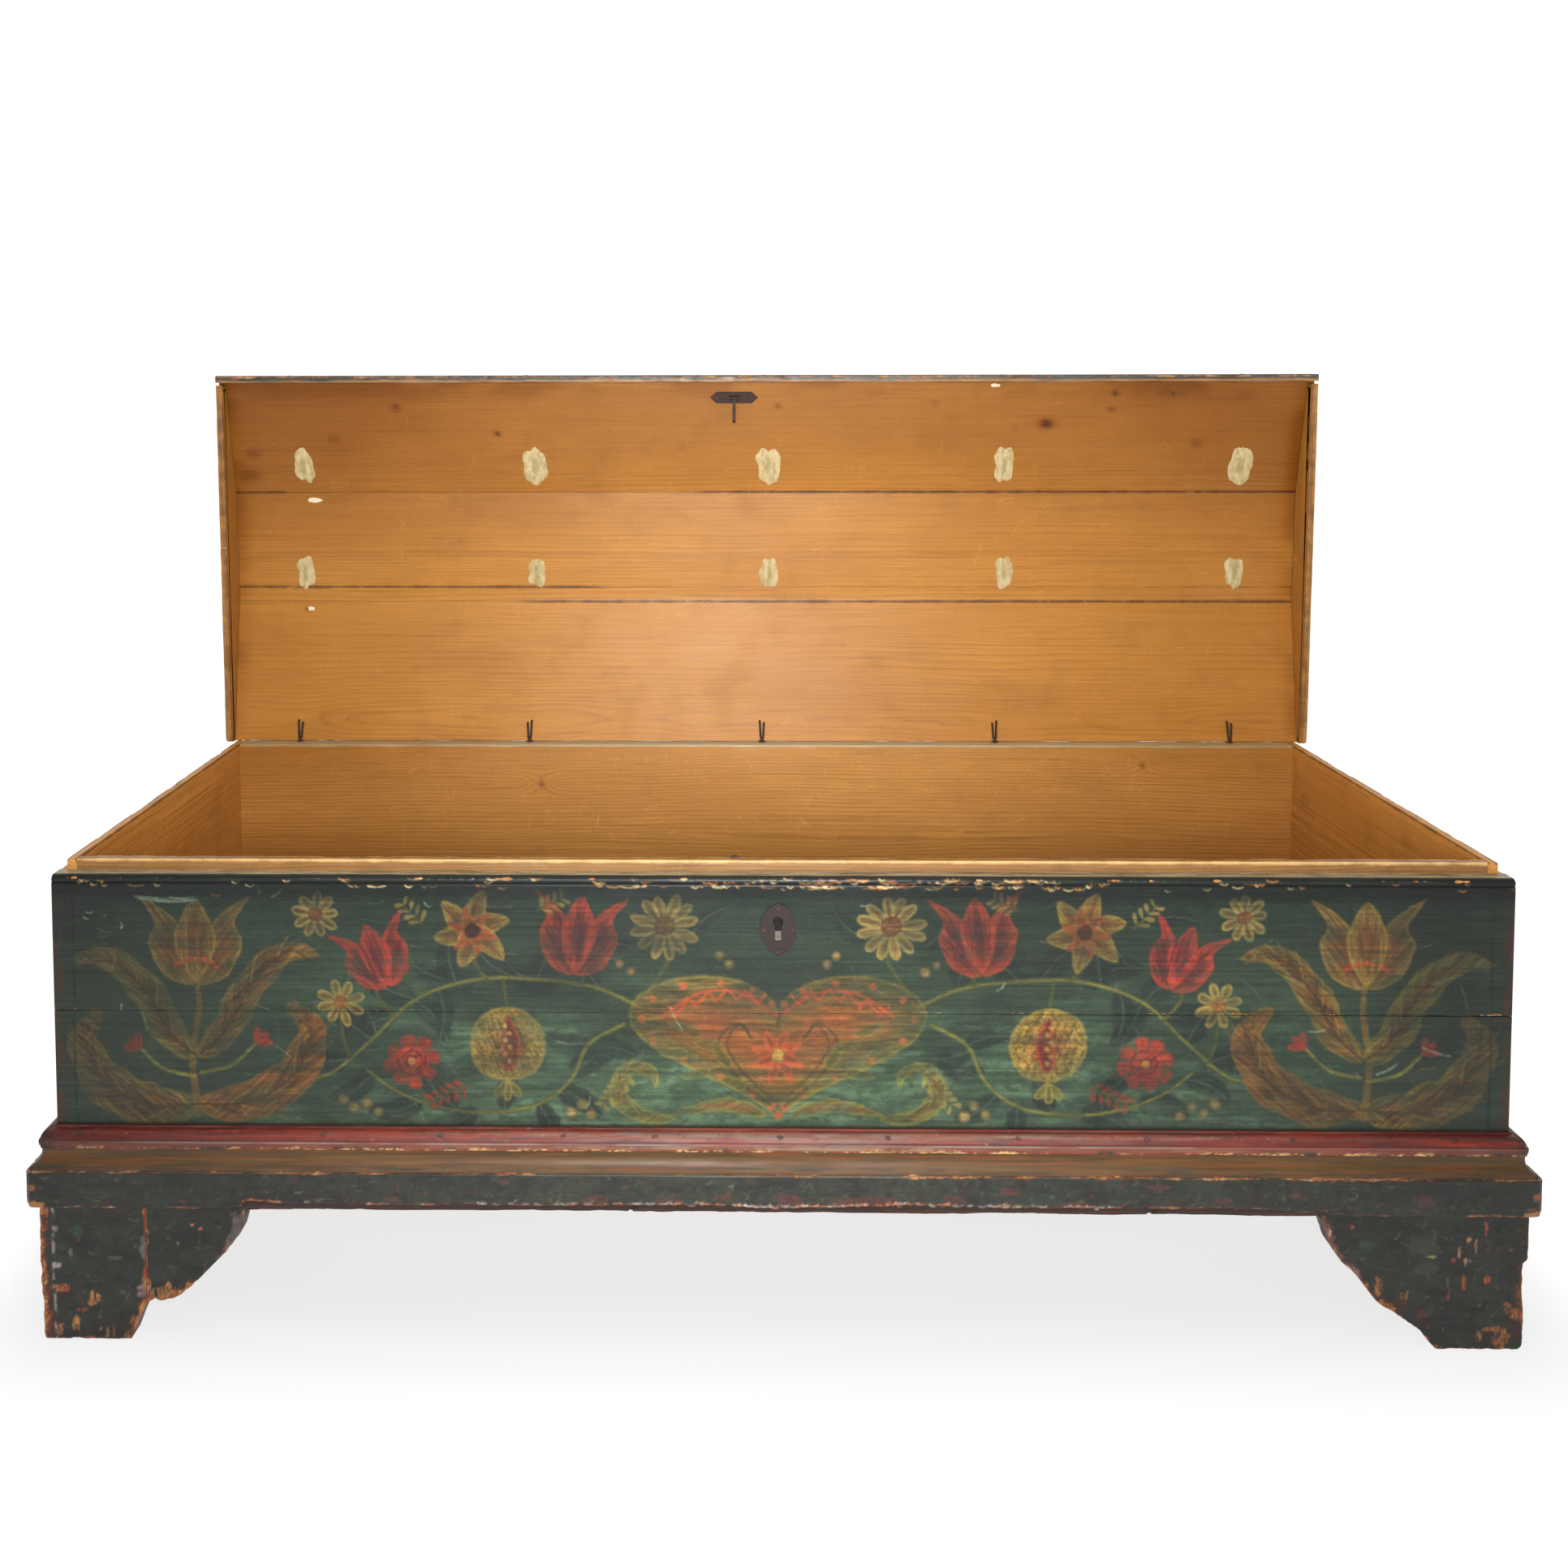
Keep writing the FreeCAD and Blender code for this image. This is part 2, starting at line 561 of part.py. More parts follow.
for tag, profile, zlo, zhi in (("red", red_profile, 210, 240), ("plinth", plinth_profile, 150, 220)):
    over = half_w + plinth_out + 2
    label = {"red": "upper_moulding_", "plinth": "plinth_moulding_"}[tag]
    front = prism(tag + "_front_blank", "x", profile(on_front), -half_w - plinth_out, half_w + plinth_out)
    mitre_l = prism(tag + "_mitre_fl", "z", [(-over, -28), (-half_w, 0), (-over, 0)], zlo, zhi)
    mitre_r = prism(tag + "_mitre_fr", "z", [(over, -28), (over, 0), (half_w, 0)], zlo, zhi)
    extra = [moulding_bores] if tag == "plinth" else []
    in_case(cut(tag + "_front_cut", front, [mitre_l, mitre_r] + extra), label + "front")
    left = prism(tag + "_left_blank", "y", profile(on_left), -plinth_out, case_d)
    wedge = prism(tag + "_mitre_l", "z", [(-over, -28), (-half_w, -28), (-half_w, 0)], zlo, zhi)
    in_case(cut(tag + "_left_cut", left, [wedge] + extra), label + "left")
    right = prism(tag + "_right_blank", "y", profile(on_right), -plinth_out, case_d)
    wedge = prism(tag + "_mitre_r", "z", [(over, -28), (half_w, 0), (half_w, -28)], zlo, zhi)
    in_case(cut(tag + "_right_cut", right, [wedge] + extra), label + "right")
in_case(moulding_set, "moulding_nails")

# ================================================================ feet
out_x = half_w + foot_out
side_x = half_w + foot_out - foot_t
fy0, fy1 = -foot_out, foot_t - foot_out
ry = case_d - foot_t
foot_specs = []
for z in (50, 115):
    foot_specs += [("y", -772, fy0 - 0.2, z, 2.8, 1.2, 1.4, 40), ("y", 772, fy0 - 0.2, z, 2.8, 1.2, 1.4, 40)]
    foot_specs += [("x", -out_x - 0.2, 28, z + 12, 2.8, 1.2, 1.4, 40), ("x", out_x + 0.2, 28, z + 12, 2.8, 1.2, 1.4, 40, -1)]
    foot_specs += [("x", -out_x - 0.2, 520, z, 2.8, 1.2, 1.4, 40), ("x", out_x + 0.2, 520, z, 2.8, 1.2, 1.4, 40, -1)]
    foot_specs += [("y", -772, case_d + 0.2, z + 12, 2.8, 1.2, 1.4, 40, -1), ("y", 772, case_d + 0.2, z + 12, 2.8, 1.2, 1.4, 40, -1)]
foot_set, foot_bores = nails("foot_nail", foot_specs)
in_case(foot_set, "foot_nails")

block_pts = [(-out_x, 0), (-715.5, 0), (-707.6, 20.5), (-697.6, 41), (-697.6, case_bot), (-out_x, case_bot)]
wing_pts = [(-697.3, 41.5), (-689, 46.5), (-683, 43), (-659, 51.5, (-671, 45.4)), (-638, 70.5, (-648, 59.5)),
            (-612, 97, (-625, 84)), (-592.5, 121, (-601, 108)), (-586, case_bot, (-587.8, 138)), (-697.3, case_bot)]
in_case(cut("foot_fl_block_cut", prism("foot_fl_block_blank", "y", block_pts, fy0, fy1), [foot_bores]), "foot_front_left_block")
in_case(prism("foot_fl_wing_body", "y", wing_pts, fy0, fy1), "foot_front_left_wing")
right_pts = [(out_x, 0), (out_x, case_bot), (589, case_bot), (593.2, 138, (590.6, 147)), (614.3, 97.5, (601.8, 115.5)),
             (634.6, 77.5), (653.2, 52.5, (644.6, 64)), (669.6, 42.5, (661, 46.6)), (700.7, 21.5), (719, 0, (709.5, 9.5))]
in_case(cut("foot_fr_cut", prism("foot_fr_blank", "y", right_pts, fy0, fy1), [foot_bores]), "foot_front_right")

side_front = [(fy1, 0), (84, 0), (92, 20.5), (102, 41), (111, 46.5), (117, 43), (141, 51.5, (129, 45.4)),
              (162, 70.5, (152, 59.5)), (188, 97, (175, 84)), (207.5, 121, (199, 108)),
              (214, case_bot, (212.2, 138)), (fy1, case_bot)]
side_back = [(case_d, 0), (case_d, case_bot), (346, case_bot), (352.5, 121, (347.8, 138)), (372, 97, (361, 108)),
             (398, 70.5, (385, 84)), (419, 51.5, (408, 59.5)), (443, 43, (431, 45.4)), (449, 46.5), (458, 41),
             (468, 20.5), (476, 0)]
for tag, sgn in (("left", -1), ("right", 1)):
    xa, xb = (-out_x, -side_x) if sgn < 0 else (side_x, out_x)
    in_case(cut("foot_f%s_side_cut" % tag, prism("foot_f%s_side_blank" % tag, "x", side_front, xa, xb), [foot_bores]),
            "foot_front_%s_side" % tag)
    in_case(cut("foot_b%s_side_cut" % tag, prism("foot_b%s_side_blank" % tag, "x", side_back, xa, xb), [foot_bores]),
            "foot_back_%s_side" % tag)
    if sgn < 0:
        rear = [(-side_x, 0), (-700, 0), (-640, 110), (-640, case_bot), (-side_x, case_bot)]
    else:
        rear = [(side_x, 0), (side_x, case_bot), (640, case_bot), (640, 110), (700, 0)]
    in_case(cut("foot_b%s_rear_cut" % tag, prism("foot_b%s_rear_blank" % tag, "y", rear, ry, case_d), [foot_bores]),
            "foot_back_%s_rear" % tag)
    bx = (-side_x, -side_x + block_w) if sgn < 0 else (side_x - block_w, side_x)
    in_case(cut("block_f%s_cut" % tag, box("block_f%s_blank" % tag, bx[0], bx[1], fy1, fy1 + block_w, 4, case_bot - batten_h),
                [foot_bores]), "glue_block_front_" + tag)
    in_case(cut("block_b%s_cut" % tag, box("block_b%s_blank" % tag, bx[0], bx[1], ry - block_w, ry, 4, case_bot - batten_h),
                [foot_bores]), "glue_block_back_" + tag)

# ================================================================ lock
tab_x = -46.5
plate = prism("lock_plate_blank", "y",
              [(-92, 432), (42, 432), (42, 516), (tab_x + 7, 516), (tab_x + 7, rim_z - 4.4),
               (tab_x - 7, rim_z - 4.4, (tab_x, rim_z.val + 2.2)), (tab_x - 7, 516), (-92, 516)],
              lock_y, lock_y + 2)
bolt_y0, bolt_y1, bolt_z0, bolt_z1 = 41.4, 45.4, 500.6, 506.6
guides = [box("guide_a", -30, -26, lock_y + 1.5, 47.6, 497, 510), box("guide_b", 14, 18, lock_y + 1.5, 47.6, 497, 510)]
guide_slots = [box("guide_slot_a", -31, -25, bolt_y0 - 0.1, bolt_y1 + 0.1, bolt_z0 - 0.1, bolt_z1 + 0.1),
               box("guide_slot_b", 13, 19, bolt_y0 - 0.1, bolt_y1 + 0.1, bolt_z0 - 0.1, bolt_z1 + 0.1)]
in_case(cut("lock_plate_cut", fuse("lock_plate_fused", [plate] + guides),
            guide_slots + [keyhole("lock_plate_keyhole", lock_y - 1, lock_y + 2.4), lock_bores]), "lock_plate")
in_case(lock_set, "lock_nails")
case_y0, case_y1 = lock_y + 2, lock_y + 22
in_case(cut("lock_case_cut", box("lock_case_blank", -84, 34, case_y0, case_y1, 438, 515),
            [box("lock_case_inner", -82.4, 32.4, case_y0 - 1, case_y1 - 1.6, 439.6, 513.4),
             box("lock_case_slot", -52, -35, case_y0 - 1, case_y1 - 2.6, 512, 517)]), "lock_case")
in_case(cyl("key_pin_body", "y", 0, case_y0 + 0.6, key_z, 1.8, case_y1 - 1.6 - case_y0 - 0.6), "key_pin")
in_case(fuse("lock_spring_body", [box("spring_leaf", -20, 8, bolt_y0 + 0.6, bolt_y1 - 0.6, 507.6, 508.4),
                                  box("spring_foot", 8, 10, case_y0, bolt_y1 - 0.6, 507.6, 512.5)]), "lock_spring")
in_case(fuse("lock_bolt_body", [box("bolt_bar", -37, 26, bolt_y0, bolt_y1, bolt_z0, bolt_z1),
                                box("bolt_talon", -6, 3, bolt_y0, bolt_y1, bolt_z0 - 9, bolt_z0 + 1),
                                box("bolt_tail", 3, 12, bolt_y0, bolt_y1, bolt_z0 - 4, bolt_z0 + 1)]), "lock_bolt")

# ================================================================ lid
lid_specs = []
for s in (40, 120, 185, 250, 345, 400, 460, 515):
    for x in (-798, 798):
        lid_specs.append(("y", x, outer_d(s) + 0.4, s, 2.8, 1.6, 1.3, 30, -1))
for x in (-700, -350, 0, 350, 700):
    lid_specs.append(("z", x, 22, s3.val + nose_t.val + 0.1, 2.2, 1.2, 1.2, 30, -1))
lid_set, lid_bores = nails("lid_nail", lid_specs)

hinge_tools = []
lid_pins = []
rb = math.radians(ang_b)
ub = FreeCAD.Rotation(V(1, 0, 0), -ang_b)
for i, hx in enumerate(HINGE_X):
    hinge_tools.append(cyl("eye_slot_%d" % i, "x", hx - 2.15, axis_d, axis_s, lid_ring + wire_r + 0.5, 4.3))
    hinge_tools.append(cyl("eye_relief_%d" % i, "x", hx - 7, axis_d, axis_s, 2.6, 14))
    ring = torus("lid_ring_%d" % i, "x", hx, axis_d, axis_s, lid_ring, wire_r)
    pieces = [ring]
    for k, sgn in enumerate((-1, 1)):
        base = V(1.7 * sgn, 13.35, axis_s.val + 2.9)
        tip_s = 30.0 if (i + k) % 2 == 0 else 27.0
        tip = V(3.1 * sgn, inner_d(tip_s) - 1.6 / math.cos(rb) - 0.25, tip_s)
        run = tip - base
        pieces.append(cyl("lid_leg_%d%d" % (i, k), "z", hx + base.x, base.y, base.z, wire_r, run.Length,
                          FreeCAD.Rotation(V(0, 0, 1), run)))
        pieces.append(ball("lid_bend_%d%d" % (i, k), hx + tip.x, tip.y, tip.z, wire_r))
        pieces.append(cyl("lid_tip_%d%d" % (i, k), "y", hx + tip.x, tip.y, tip.z, wire_r, 11.5))
        hinge_tools.append(cyl("tip_hole_%d%d" % (i, k), "y", hx + tip.x, tip.y, tip.z, wire_r + 0.15, 13.2))
    lid_pins.append(fuse("lid_pin_%d" % i, pieces))
in_lid(group("lid_pin_set", lid_pins), "lid_hinge_pins")

# putty-filled slots: two rows across the front and the middle boards
slots, fills = [], []
for r, (s, xs, ang, hole, patch) in enumerate((
        (412.0, (-688, -340, 8, 359, 709), ang_f, (8, 34), (27, 46)),
        (250.0, (-692, -341, 10, 362, 707), ang_m, (7, 32), (21, 43)))):
    rot = FreeCAD.Rotation(V(1, 0, 0), -ang)
    for c, x in enumerate(xs):
        n = V(0, -math.cos(math.radians(ang)), math.sin(math.radians(ang)))
        t = V(0, math.sin(math.radians(ang)), math.cos(math.radians(ang)))
        face = V(x, inner_d(s), s)

        def slab(name, wx, ls, below, above, grow=0.0):
            corner = face - t * (ls / 2.0) + n * above
            return box(name, corner.x - wx / 2.0, corner.x + wx / 2.0, corner.y, corner.y + (below + above),
                       corner.z, corner.z + ls, rot)
        slots.append(slab("slot_%d%d" % (r, c), hole[0] + 0.2, hole[1] + 0.2, 3.3, 1.0))
        fills.append(fuse("fill_%d%d" % (r, c), [slab("fill_core_%d%d" % (r, c), hole[0], hole[1], 3.1, 0.2),
                                                 slab("fill_skin_%d%d" % (r, c), patch[0], patch[1], -0.02, 0.5)]))
in_lid(group("putty_set", fills), "lid_putty_fills")

# hasp plate on the sloping front board, with a pin between two lugs for the staple
cf, sf = math.cos(math.radians(ang_f)), math.sin(math.radians(ang_f))
tilt = FreeCAD.Rotation(V(1, 0, 0), -ang_f)
face_h = V(hasp_x.val, inner_d(hasp_s.val), hasp_s.val)
nrm = V(0, -cf, sf)
tan = V(0, sf, cf)
hl, hb = plate_l.val / 2, plate_b.val / 2
plate_body = prism("hasp_plate_blank", "y",
                   [(-hl, 0), (-hl + 9, -hb), (hl - 9, -hb), (hl, 0), (hl - 9, hb), (-hl + 9, hb)], -2.2, 0)
hasp_specs = [("y", x, -2.7, 0, 2.0, 0.7, 1.0, 12) for x in (-25.5, 25.5)]
hasp_set, hasp_bores = nails("hasp_nail", hasp_specs)
lug_pin_h = 6.0
hasp_parts = [plate_body]
for k, sx in enumerate((-1, 1)):
    xa, xb = (-6.6, -3.6) if sx < 0 else (3.6, 6.6)
    hasp_parts.append(box("lug_%d" % k, xa, xb, -lug_pin_h, -1.5, -3.0, 3.0))
    hasp_parts.append(cyl("lug_top_%d" % k, "x", xa, -lug_pin_h, 0, 3.0, 3.0))
hasp_parts.append(cyl("lug_pin", "x", -6.0, -lug_pin_h, 0, 1.4, 12.0))
plate_bores = group("hasp_plate_bores", [nail("hasp_plate_bore_%d" % i, *sp, grow=0.12) for i, sp in enumerate(hasp_specs)])
hasp_fused = cut("hasp_plate_cut", fuse("hasp_plate_fused", hasp_parts), [plate_bores])
for o in (hasp_fused, hasp_set, hasp_bores):
    set_pos(o, hasp_x, face_h.y, hasp_s, tilt)
in_lid(group("hasp_plate_group", [hasp_fused]), "hasp_plate")
in_lid(group("hasp_nail_group", [hasp_set]), "hasp_nails")
pivot = face_h + nrm * lug_pin_h


def lid_section(pts):
    """(s, d) pairs to the sketch plane, where the first axis is d and the second s."""
    return [(p[1], p[0]) if len(p) == 2 else (p[1], p[0], (p[2][1], p[2][0])) for p in pts]


back_blank = prism("lid_back_blank", "x", lid_section([(0, d0), (fill_a, fa_in), (fill_a, fa_out), (0, od0)]),
                   -lid_half, lid_half)
in_lid(cut("lid_back_cut", back_blank, hinge_tools + [lid_bores]), "lid_board_back")
fill_blank = prism("lid_fill_blank", "x",
                   lid_section([(fill_a, fa_in), (s1, d1), (fill_b, fb_in), (fill_b, fb_out), (os1, od1), (fill_a, fa_out)]),
                   -lid_half, lid_half)
in_lid(fill_blank, "lid_filler_strip")
mid_blank = prism("lid_mid_blank", "x", lid_section([(fill_b, fb_in), (s2, d2), (os2, od2), (fill_b, fb_out)]),
                  -lid_half, lid_half)
in_lid(cut("lid_mid_cut", mid_blank, slots[5:] + [lid_bores]), "lid_board_middle")
front_blank = prism("lid_front_blank", "x", lid_section([(s2, d2), (s3, d3), (s3, od3), (os2, od2)]),
                    -lid_half, lid_half)
in_lid(cut("lid_front_cut", front_blank, slots[:5] + [hasp_bores, lid_bores]), "lid_board_front")

cheek_end = s3 - 3.5
cheek_pts = lid_section([(8, 0), (cheek_end, 0), (cheek_end, inner_d(s3.val - 3.5)), (s2, d2), (s1, d1), (0, d0),
                         (0, 8)])
cheek_pts[0] = (cheek_pts[0][0], cheek_pts[0][1], (2.343, 2.343))
in_lid(cut("left_cheek_cut", prism("left_cheek_blank", "x", cheek_pts, -lid_half, -lid_half + cheek_t), [lid_bores]),
       "lid_cheek_left")
in_lid(cut("right_cheek_cut", prism("right_cheek_blank", "x", cheek_pts, lid_half - cheek_t, lid_half), [lid_bores]),
       "lid_cheek_right")

nose_end = s3 + nose_t
nose_pts = lid_section([(s3, 0.8), (s3 + 0.8, 0), (nose_end - 3, 0), (nose_end, 3, (s3.val + nose_t.val - 0.88, 0.88)),
                        (nose_end, nose_d - 6), (nose_end - 6, nose_d, (s3.val + nose_t.val - 1.757, nose_d.val - 1.757)),
                        (s3, nose_d)])
in_lid(cut("nosing_cut", prism("nosing_blank", "x", nose_pts, -lid_half, lid_half), [lid_bores]), "lid_nosing")
in_lid(lid_set, "lid_nails")

# swinging staple: an eye round the pin, a shank and an elongated loop for the bolt
eye_bore = 1.75
loop_c = staple_l - 9.0
loop_out = [(-2.3, 0), (-2.3, -15), (-5.2, -staple_l + 12.5, (-4.2, -18.2)), (-5.2, -staple_l + 5),
            (0, -staple_l, (-3.7, -staple_l.val + 1.5)), (5.2, -staple_l + 5, (3.7, -staple_l.val + 1.5)),
            (5.2, -staple_l + 12.5), (2.3, -15, (4.2, -18.2)), (2.3, 0)]
shank = prism("staple_shank", "x", loop_out, -2.0, 2.0)
eye = cyl("staple_eye", "x", -2.6, 0, 0, 3.3, 5.2)
staple = cut("staple_cut", fuse("staple_fused", [shank, eye]),
             [cyl("staple_bore", "x", -4, 0, 0, eye_bore, 8),
              box("staple_window", -4, 4, -3.0, 3.0, -loop_c - 5.0, -loop_c + 5.0)])
staple.Label = "hasp_staple"
la = lid_lean
set_pos(staple, hasp_x,
        front_y + mouth_y + pivot.y * qcos(la) - pivot.z * qsin(la),
        mouth_z + pivot.y * qsin(la) + pivot.z * qcos(la))
NODES.append(("hasp_staple", staple))

# ================================================================ checks and export
doc.recompute()
for o in doc.Objects:
    bad = [x for x in o.State if x in ("Invalid", "Error")]
    if bad:
        raise SystemExit("object %s is %s" % (o.Label, bad))
seen = set()
for label, o in NODES:
    sh = o.Shape
    if label in seen or sh.isNull() or not sh.isValid() or sh.Volume < 1.0:
        raise SystemExit("sub-part %s has no sound shape" % label)
    seen.add(label)
box_all = None
for label, o in NODES:
    b = o.Shape.BoundBox
    if box_all is None:
        box_all = FreeCAD.BoundBox(b)
    else:
        box_all.add(b)
print("nodes", len(NODES))
print("box x %.3f %.3f  y %.3f %.3f  z %.3f %.3f" % (box_all.XMin, box_all.XMax, box_all.YMin, box_all.YMax,
                                                    box_all.ZMin, box_all.ZMax))
ay = front_y.val + axis_y.val
print("hinge axis y %.4f z %.4f (m %.6f %.6f)" % (ay, axis_z.val, ay / 1000, axis_z.val / 1000))
print("staple pin x %.3f y %.4f z %.4f" % (hasp_x.val, staple.Placement.Base.y, staple.Placement.Base.z))
print("mid y", (box_all.YMin + box_all.YMax) / 2)
os.makedirs("parts", exist_ok=True)
for label, o in NODES:
    o.Shape.exportStep("parts/%s.step" % label)
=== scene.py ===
import bmesh
import bpy
import math
import numpy as np
from mathutils import Vector, Matrix


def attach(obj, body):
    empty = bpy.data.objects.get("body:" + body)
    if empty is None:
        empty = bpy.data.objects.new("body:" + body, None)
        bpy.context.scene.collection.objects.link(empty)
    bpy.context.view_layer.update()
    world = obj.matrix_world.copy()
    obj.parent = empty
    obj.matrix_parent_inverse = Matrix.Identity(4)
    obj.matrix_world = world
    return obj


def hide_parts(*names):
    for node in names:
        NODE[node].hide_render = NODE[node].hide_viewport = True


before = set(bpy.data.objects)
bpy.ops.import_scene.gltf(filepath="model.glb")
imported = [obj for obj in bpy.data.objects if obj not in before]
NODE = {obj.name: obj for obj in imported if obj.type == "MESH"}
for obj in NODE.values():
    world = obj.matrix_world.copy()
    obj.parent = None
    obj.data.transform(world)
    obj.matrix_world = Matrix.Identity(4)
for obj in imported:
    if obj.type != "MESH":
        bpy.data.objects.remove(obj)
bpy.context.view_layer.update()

FY = -287.185                       # the case's front face in the shared frame, mm
LEAN = math.radians(1.488)
HALF_W = 800.0
KEY_Z, KEY_R, KEY_FOOT = 468.4, 5.6, 446.0
rng = np.random.default_rng(7)


# ------------------------------------------------------------------ noise fields
def _hash(ix, iy, iz, seed):
    h = (ix.astype(np.int64) * 374761393 + iy.astype(np.int64) * 668265263
         + iz.astype(np.int64) * 1440662683 + seed * 974711) & 0xFFFFFFFF
    h = ((h ^ (h >> 13)) * 1274126177) & 0xFFFFFFFF
    h = h ^ (h >> 16)
    return (h & 0xFFFFFF) / float(0x1000000)


def vn(x, y=0.0, z=0.0, seed=0):
    """Value noise in [0, 1]."""
    x, y, z = np.broadcast_arrays(np.asarray(x, float), np.asarray(y, float), np.asarray(z, float))
    ix, iy, iz = np.floor(x), np.floor(y), np.floor(z)
    fx, fy, fz = x - ix, y - iy, z - iz
    fx, fy, fz = fx * fx * (3 - 2 * fx), fy * fy * (3 - 2 * fy), fz * fz * (3 - 2 * fz)
    ix, iy, iz = ix.astype(np.int64), iy.astype(np.int64), iz.astype(np.int64)
    flat_y = not np.any(y)
    flat_z = not np.any(z)

    def plane(k):
        def line(j):
            a = _hash(ix, iy + j, iz + k, seed)
            b = _hash(ix + 1, iy + j, iz + k, seed)
            return a + (b - a) * fx
        if flat_y:
            return line(0)
        a, b = line(0), line(1)
        return a + (b - a) * fy
    if flat_z:
        return plane(0)
    a, b = plane(0), plane(1)
    return a + (b - a) * fz


def fbm(x, y=0.0, z=0.0, octaves=4, seed=0, gain=0.5):
    total, amp, norm = 0.0, 1.0, 0.0
    for o in range(octaves):
        k = 2.0 ** o
        total = total + amp * vn(np.asarray(x) * k + 17.3 * o, np.asarray(y) * k, np.asarray(z) * k, seed + 31 * o)
        norm += amp
        amp *= gain
    return total / norm


def sstep(a, b, x):
    t = np.clip((x - a) / (b - a), 0.0, 1.0)
    return t * t * (3 - 2 * t)


def bump1(x, c, w):
    return np.exp(-((x - c) / w) ** 2)


def srgb(c):
    c = np.asarray(c, float)
    return np.where(c <= 0.04045, c / 12.92, ((np.clip(c, 0, None) + 0.055) / 1.055) ** 2.4)


def C(r, g, b):
    v = srgb(np.array([r, g, b]) / 255.0)
    return (float(v[0]), float(v[1]), float(v[2]), 1.0)


# ------------------------------------------------------------------ mesh helpers
def case_pt(x, y, z):
    return np.stack([x * 0.001, (y + FY) * 0.001, z * 0.001], -1)


CL, SL = math.cos(LEAN), math.sin(LEAN)


def lid_pt(x, d, s):
    """Lid frame (x, depth, height along the mouth) to the row frame, metres."""
    return np.stack([x * 0.001, (541.0 + FY + d * CL - s * SL) * 0.001, (529.0 + d * SL + s * CL) * 0.001], -1)


def make_mesh(name, verts, quads, ngons=(), attrs=None, colours=None, sharp=32.0, smooth=True):
    me = bpy.data.meshes.new(name)
    verts = np.asarray(verts, np.float32).reshape(-1, 3)
    quads = np.asarray(quads, np.int32).reshape(-1, 4)
    loops = [quads.reshape(-1)] + [np.asarray(n, np.int32) for n in ngons]
    sizes = np.concatenate([np.full(len(quads), 4, np.int32), np.array([len(n) for n in ngons], np.int32)])
    loops = np.concatenate(loops).astype(np.int32)
    starts = np.concatenate([[0], np.cumsum(sizes)[:-1]]).astype(np.int32)
    me.vertices.add(len(verts))
    me.vertices.foreach_set("co", verts.reshape(-1))
    me.loops.add(len(loops))
    me.loops.foreach_set("vertex_index", loops)
    me.polygons.add(len(sizes))
    me.polygons.foreach_set("loop_start", starts)
    me.update(calc_edges=True)
    if smooth:
        me.polygons.foreach_set("use_smooth", np.ones(len(sizes), bool))
        me.set_sharp_from_angle(angle=math.radians(sharp))
    for key, val in (attrs or {}).items():
        a = me.attributes.new(key, "FLOAT", "POINT")
        a.data.foreach_set("value", np.asarray(val, np.float32).reshape(-1))
    for key, val in (colours or {}).items():
        a = me.attributes.new(key, "FLOAT_COLOR", "POINT")
        a.data.foreach_set("color", np.asarray(val, np.float32).reshape(-1))
    me.validate()
    me.update()
    ob = bpy.data.objects.new(name, me)
    bpy.context.scene.collection.objects.link(ob)
    return ob


def tube_quads(K, M, closed_k=True):
    """Quads between M stations of a K-point loop; vertex index = m * K + k."""
    k = np.arange(K if closed_k else K - 1)
    m = np.arange(M - 1)
    kk, mm = np.meshgrid(k, m)
    k2 = (kk + 1) % K
    a = mm * K + kk
    b = mm * K + k2
    c = (mm + 1) * K + k2
    d = (mm + 1) * K + kk
    return np.stack([a, b, c, d], -1).reshape(-1, 4)


def resample(points, step):
    """Closed profile of (u, v, corner flag, step override) to dense points.
    Returns the points, the distance along the surface to the nearest flagged
    corner, and the outward normals."""
    P, E = [], []
    n = len(points)
    for i in range(n):
        a, b = points[i], points[(i + 1) % n]
        st = a[3] if len(a) > 3 and a[3] else step
        L = math.hypot(b[0] - a[0], b[1] - a[1])
        cnt = max(1, int(round(L / st)))
        for j in range(cnt):
            t = j / cnt
            P.append((a[0] + (b[0] - a[0]) * t, a[1] + (b[1] - a[1]) * t))
            E.append(1 if (j == 0 and a[2]) else 0)
    P = np.array(P)
    K = len(P)
    seg = np.linalg.norm(np.roll(P, -1, 0) - P, axis=1)
    s = np.concatenate([[0], np.cumsum(seg)[:-1]])
    total = seg.sum()
    cs = s[np.array(E) == 1]
    if len(cs):
        d = np.abs(s[:, None] - cs[None, :])
        d = np.minimum(d, total - d).min(1)
    else:
        d = np.full(K, 99.0)
    tang = np.roll(P, -1, 0) - np.roll(P, 1, 0)
    tang /= np.maximum(np.linalg.norm(tang, axis=1, keepdims=True), 1e-9)
    area = 0.5 * np.sum(P[:, 0] * np.roll(P[:, 1], -1) - np.roll(P[:, 0], -1) * P[:, 1])
    nrm = np.stack([tang[:, 1], -tang[:, 0]], 1) * (1 if area > 0 else -1)
    return P, d, nrm, area > 0


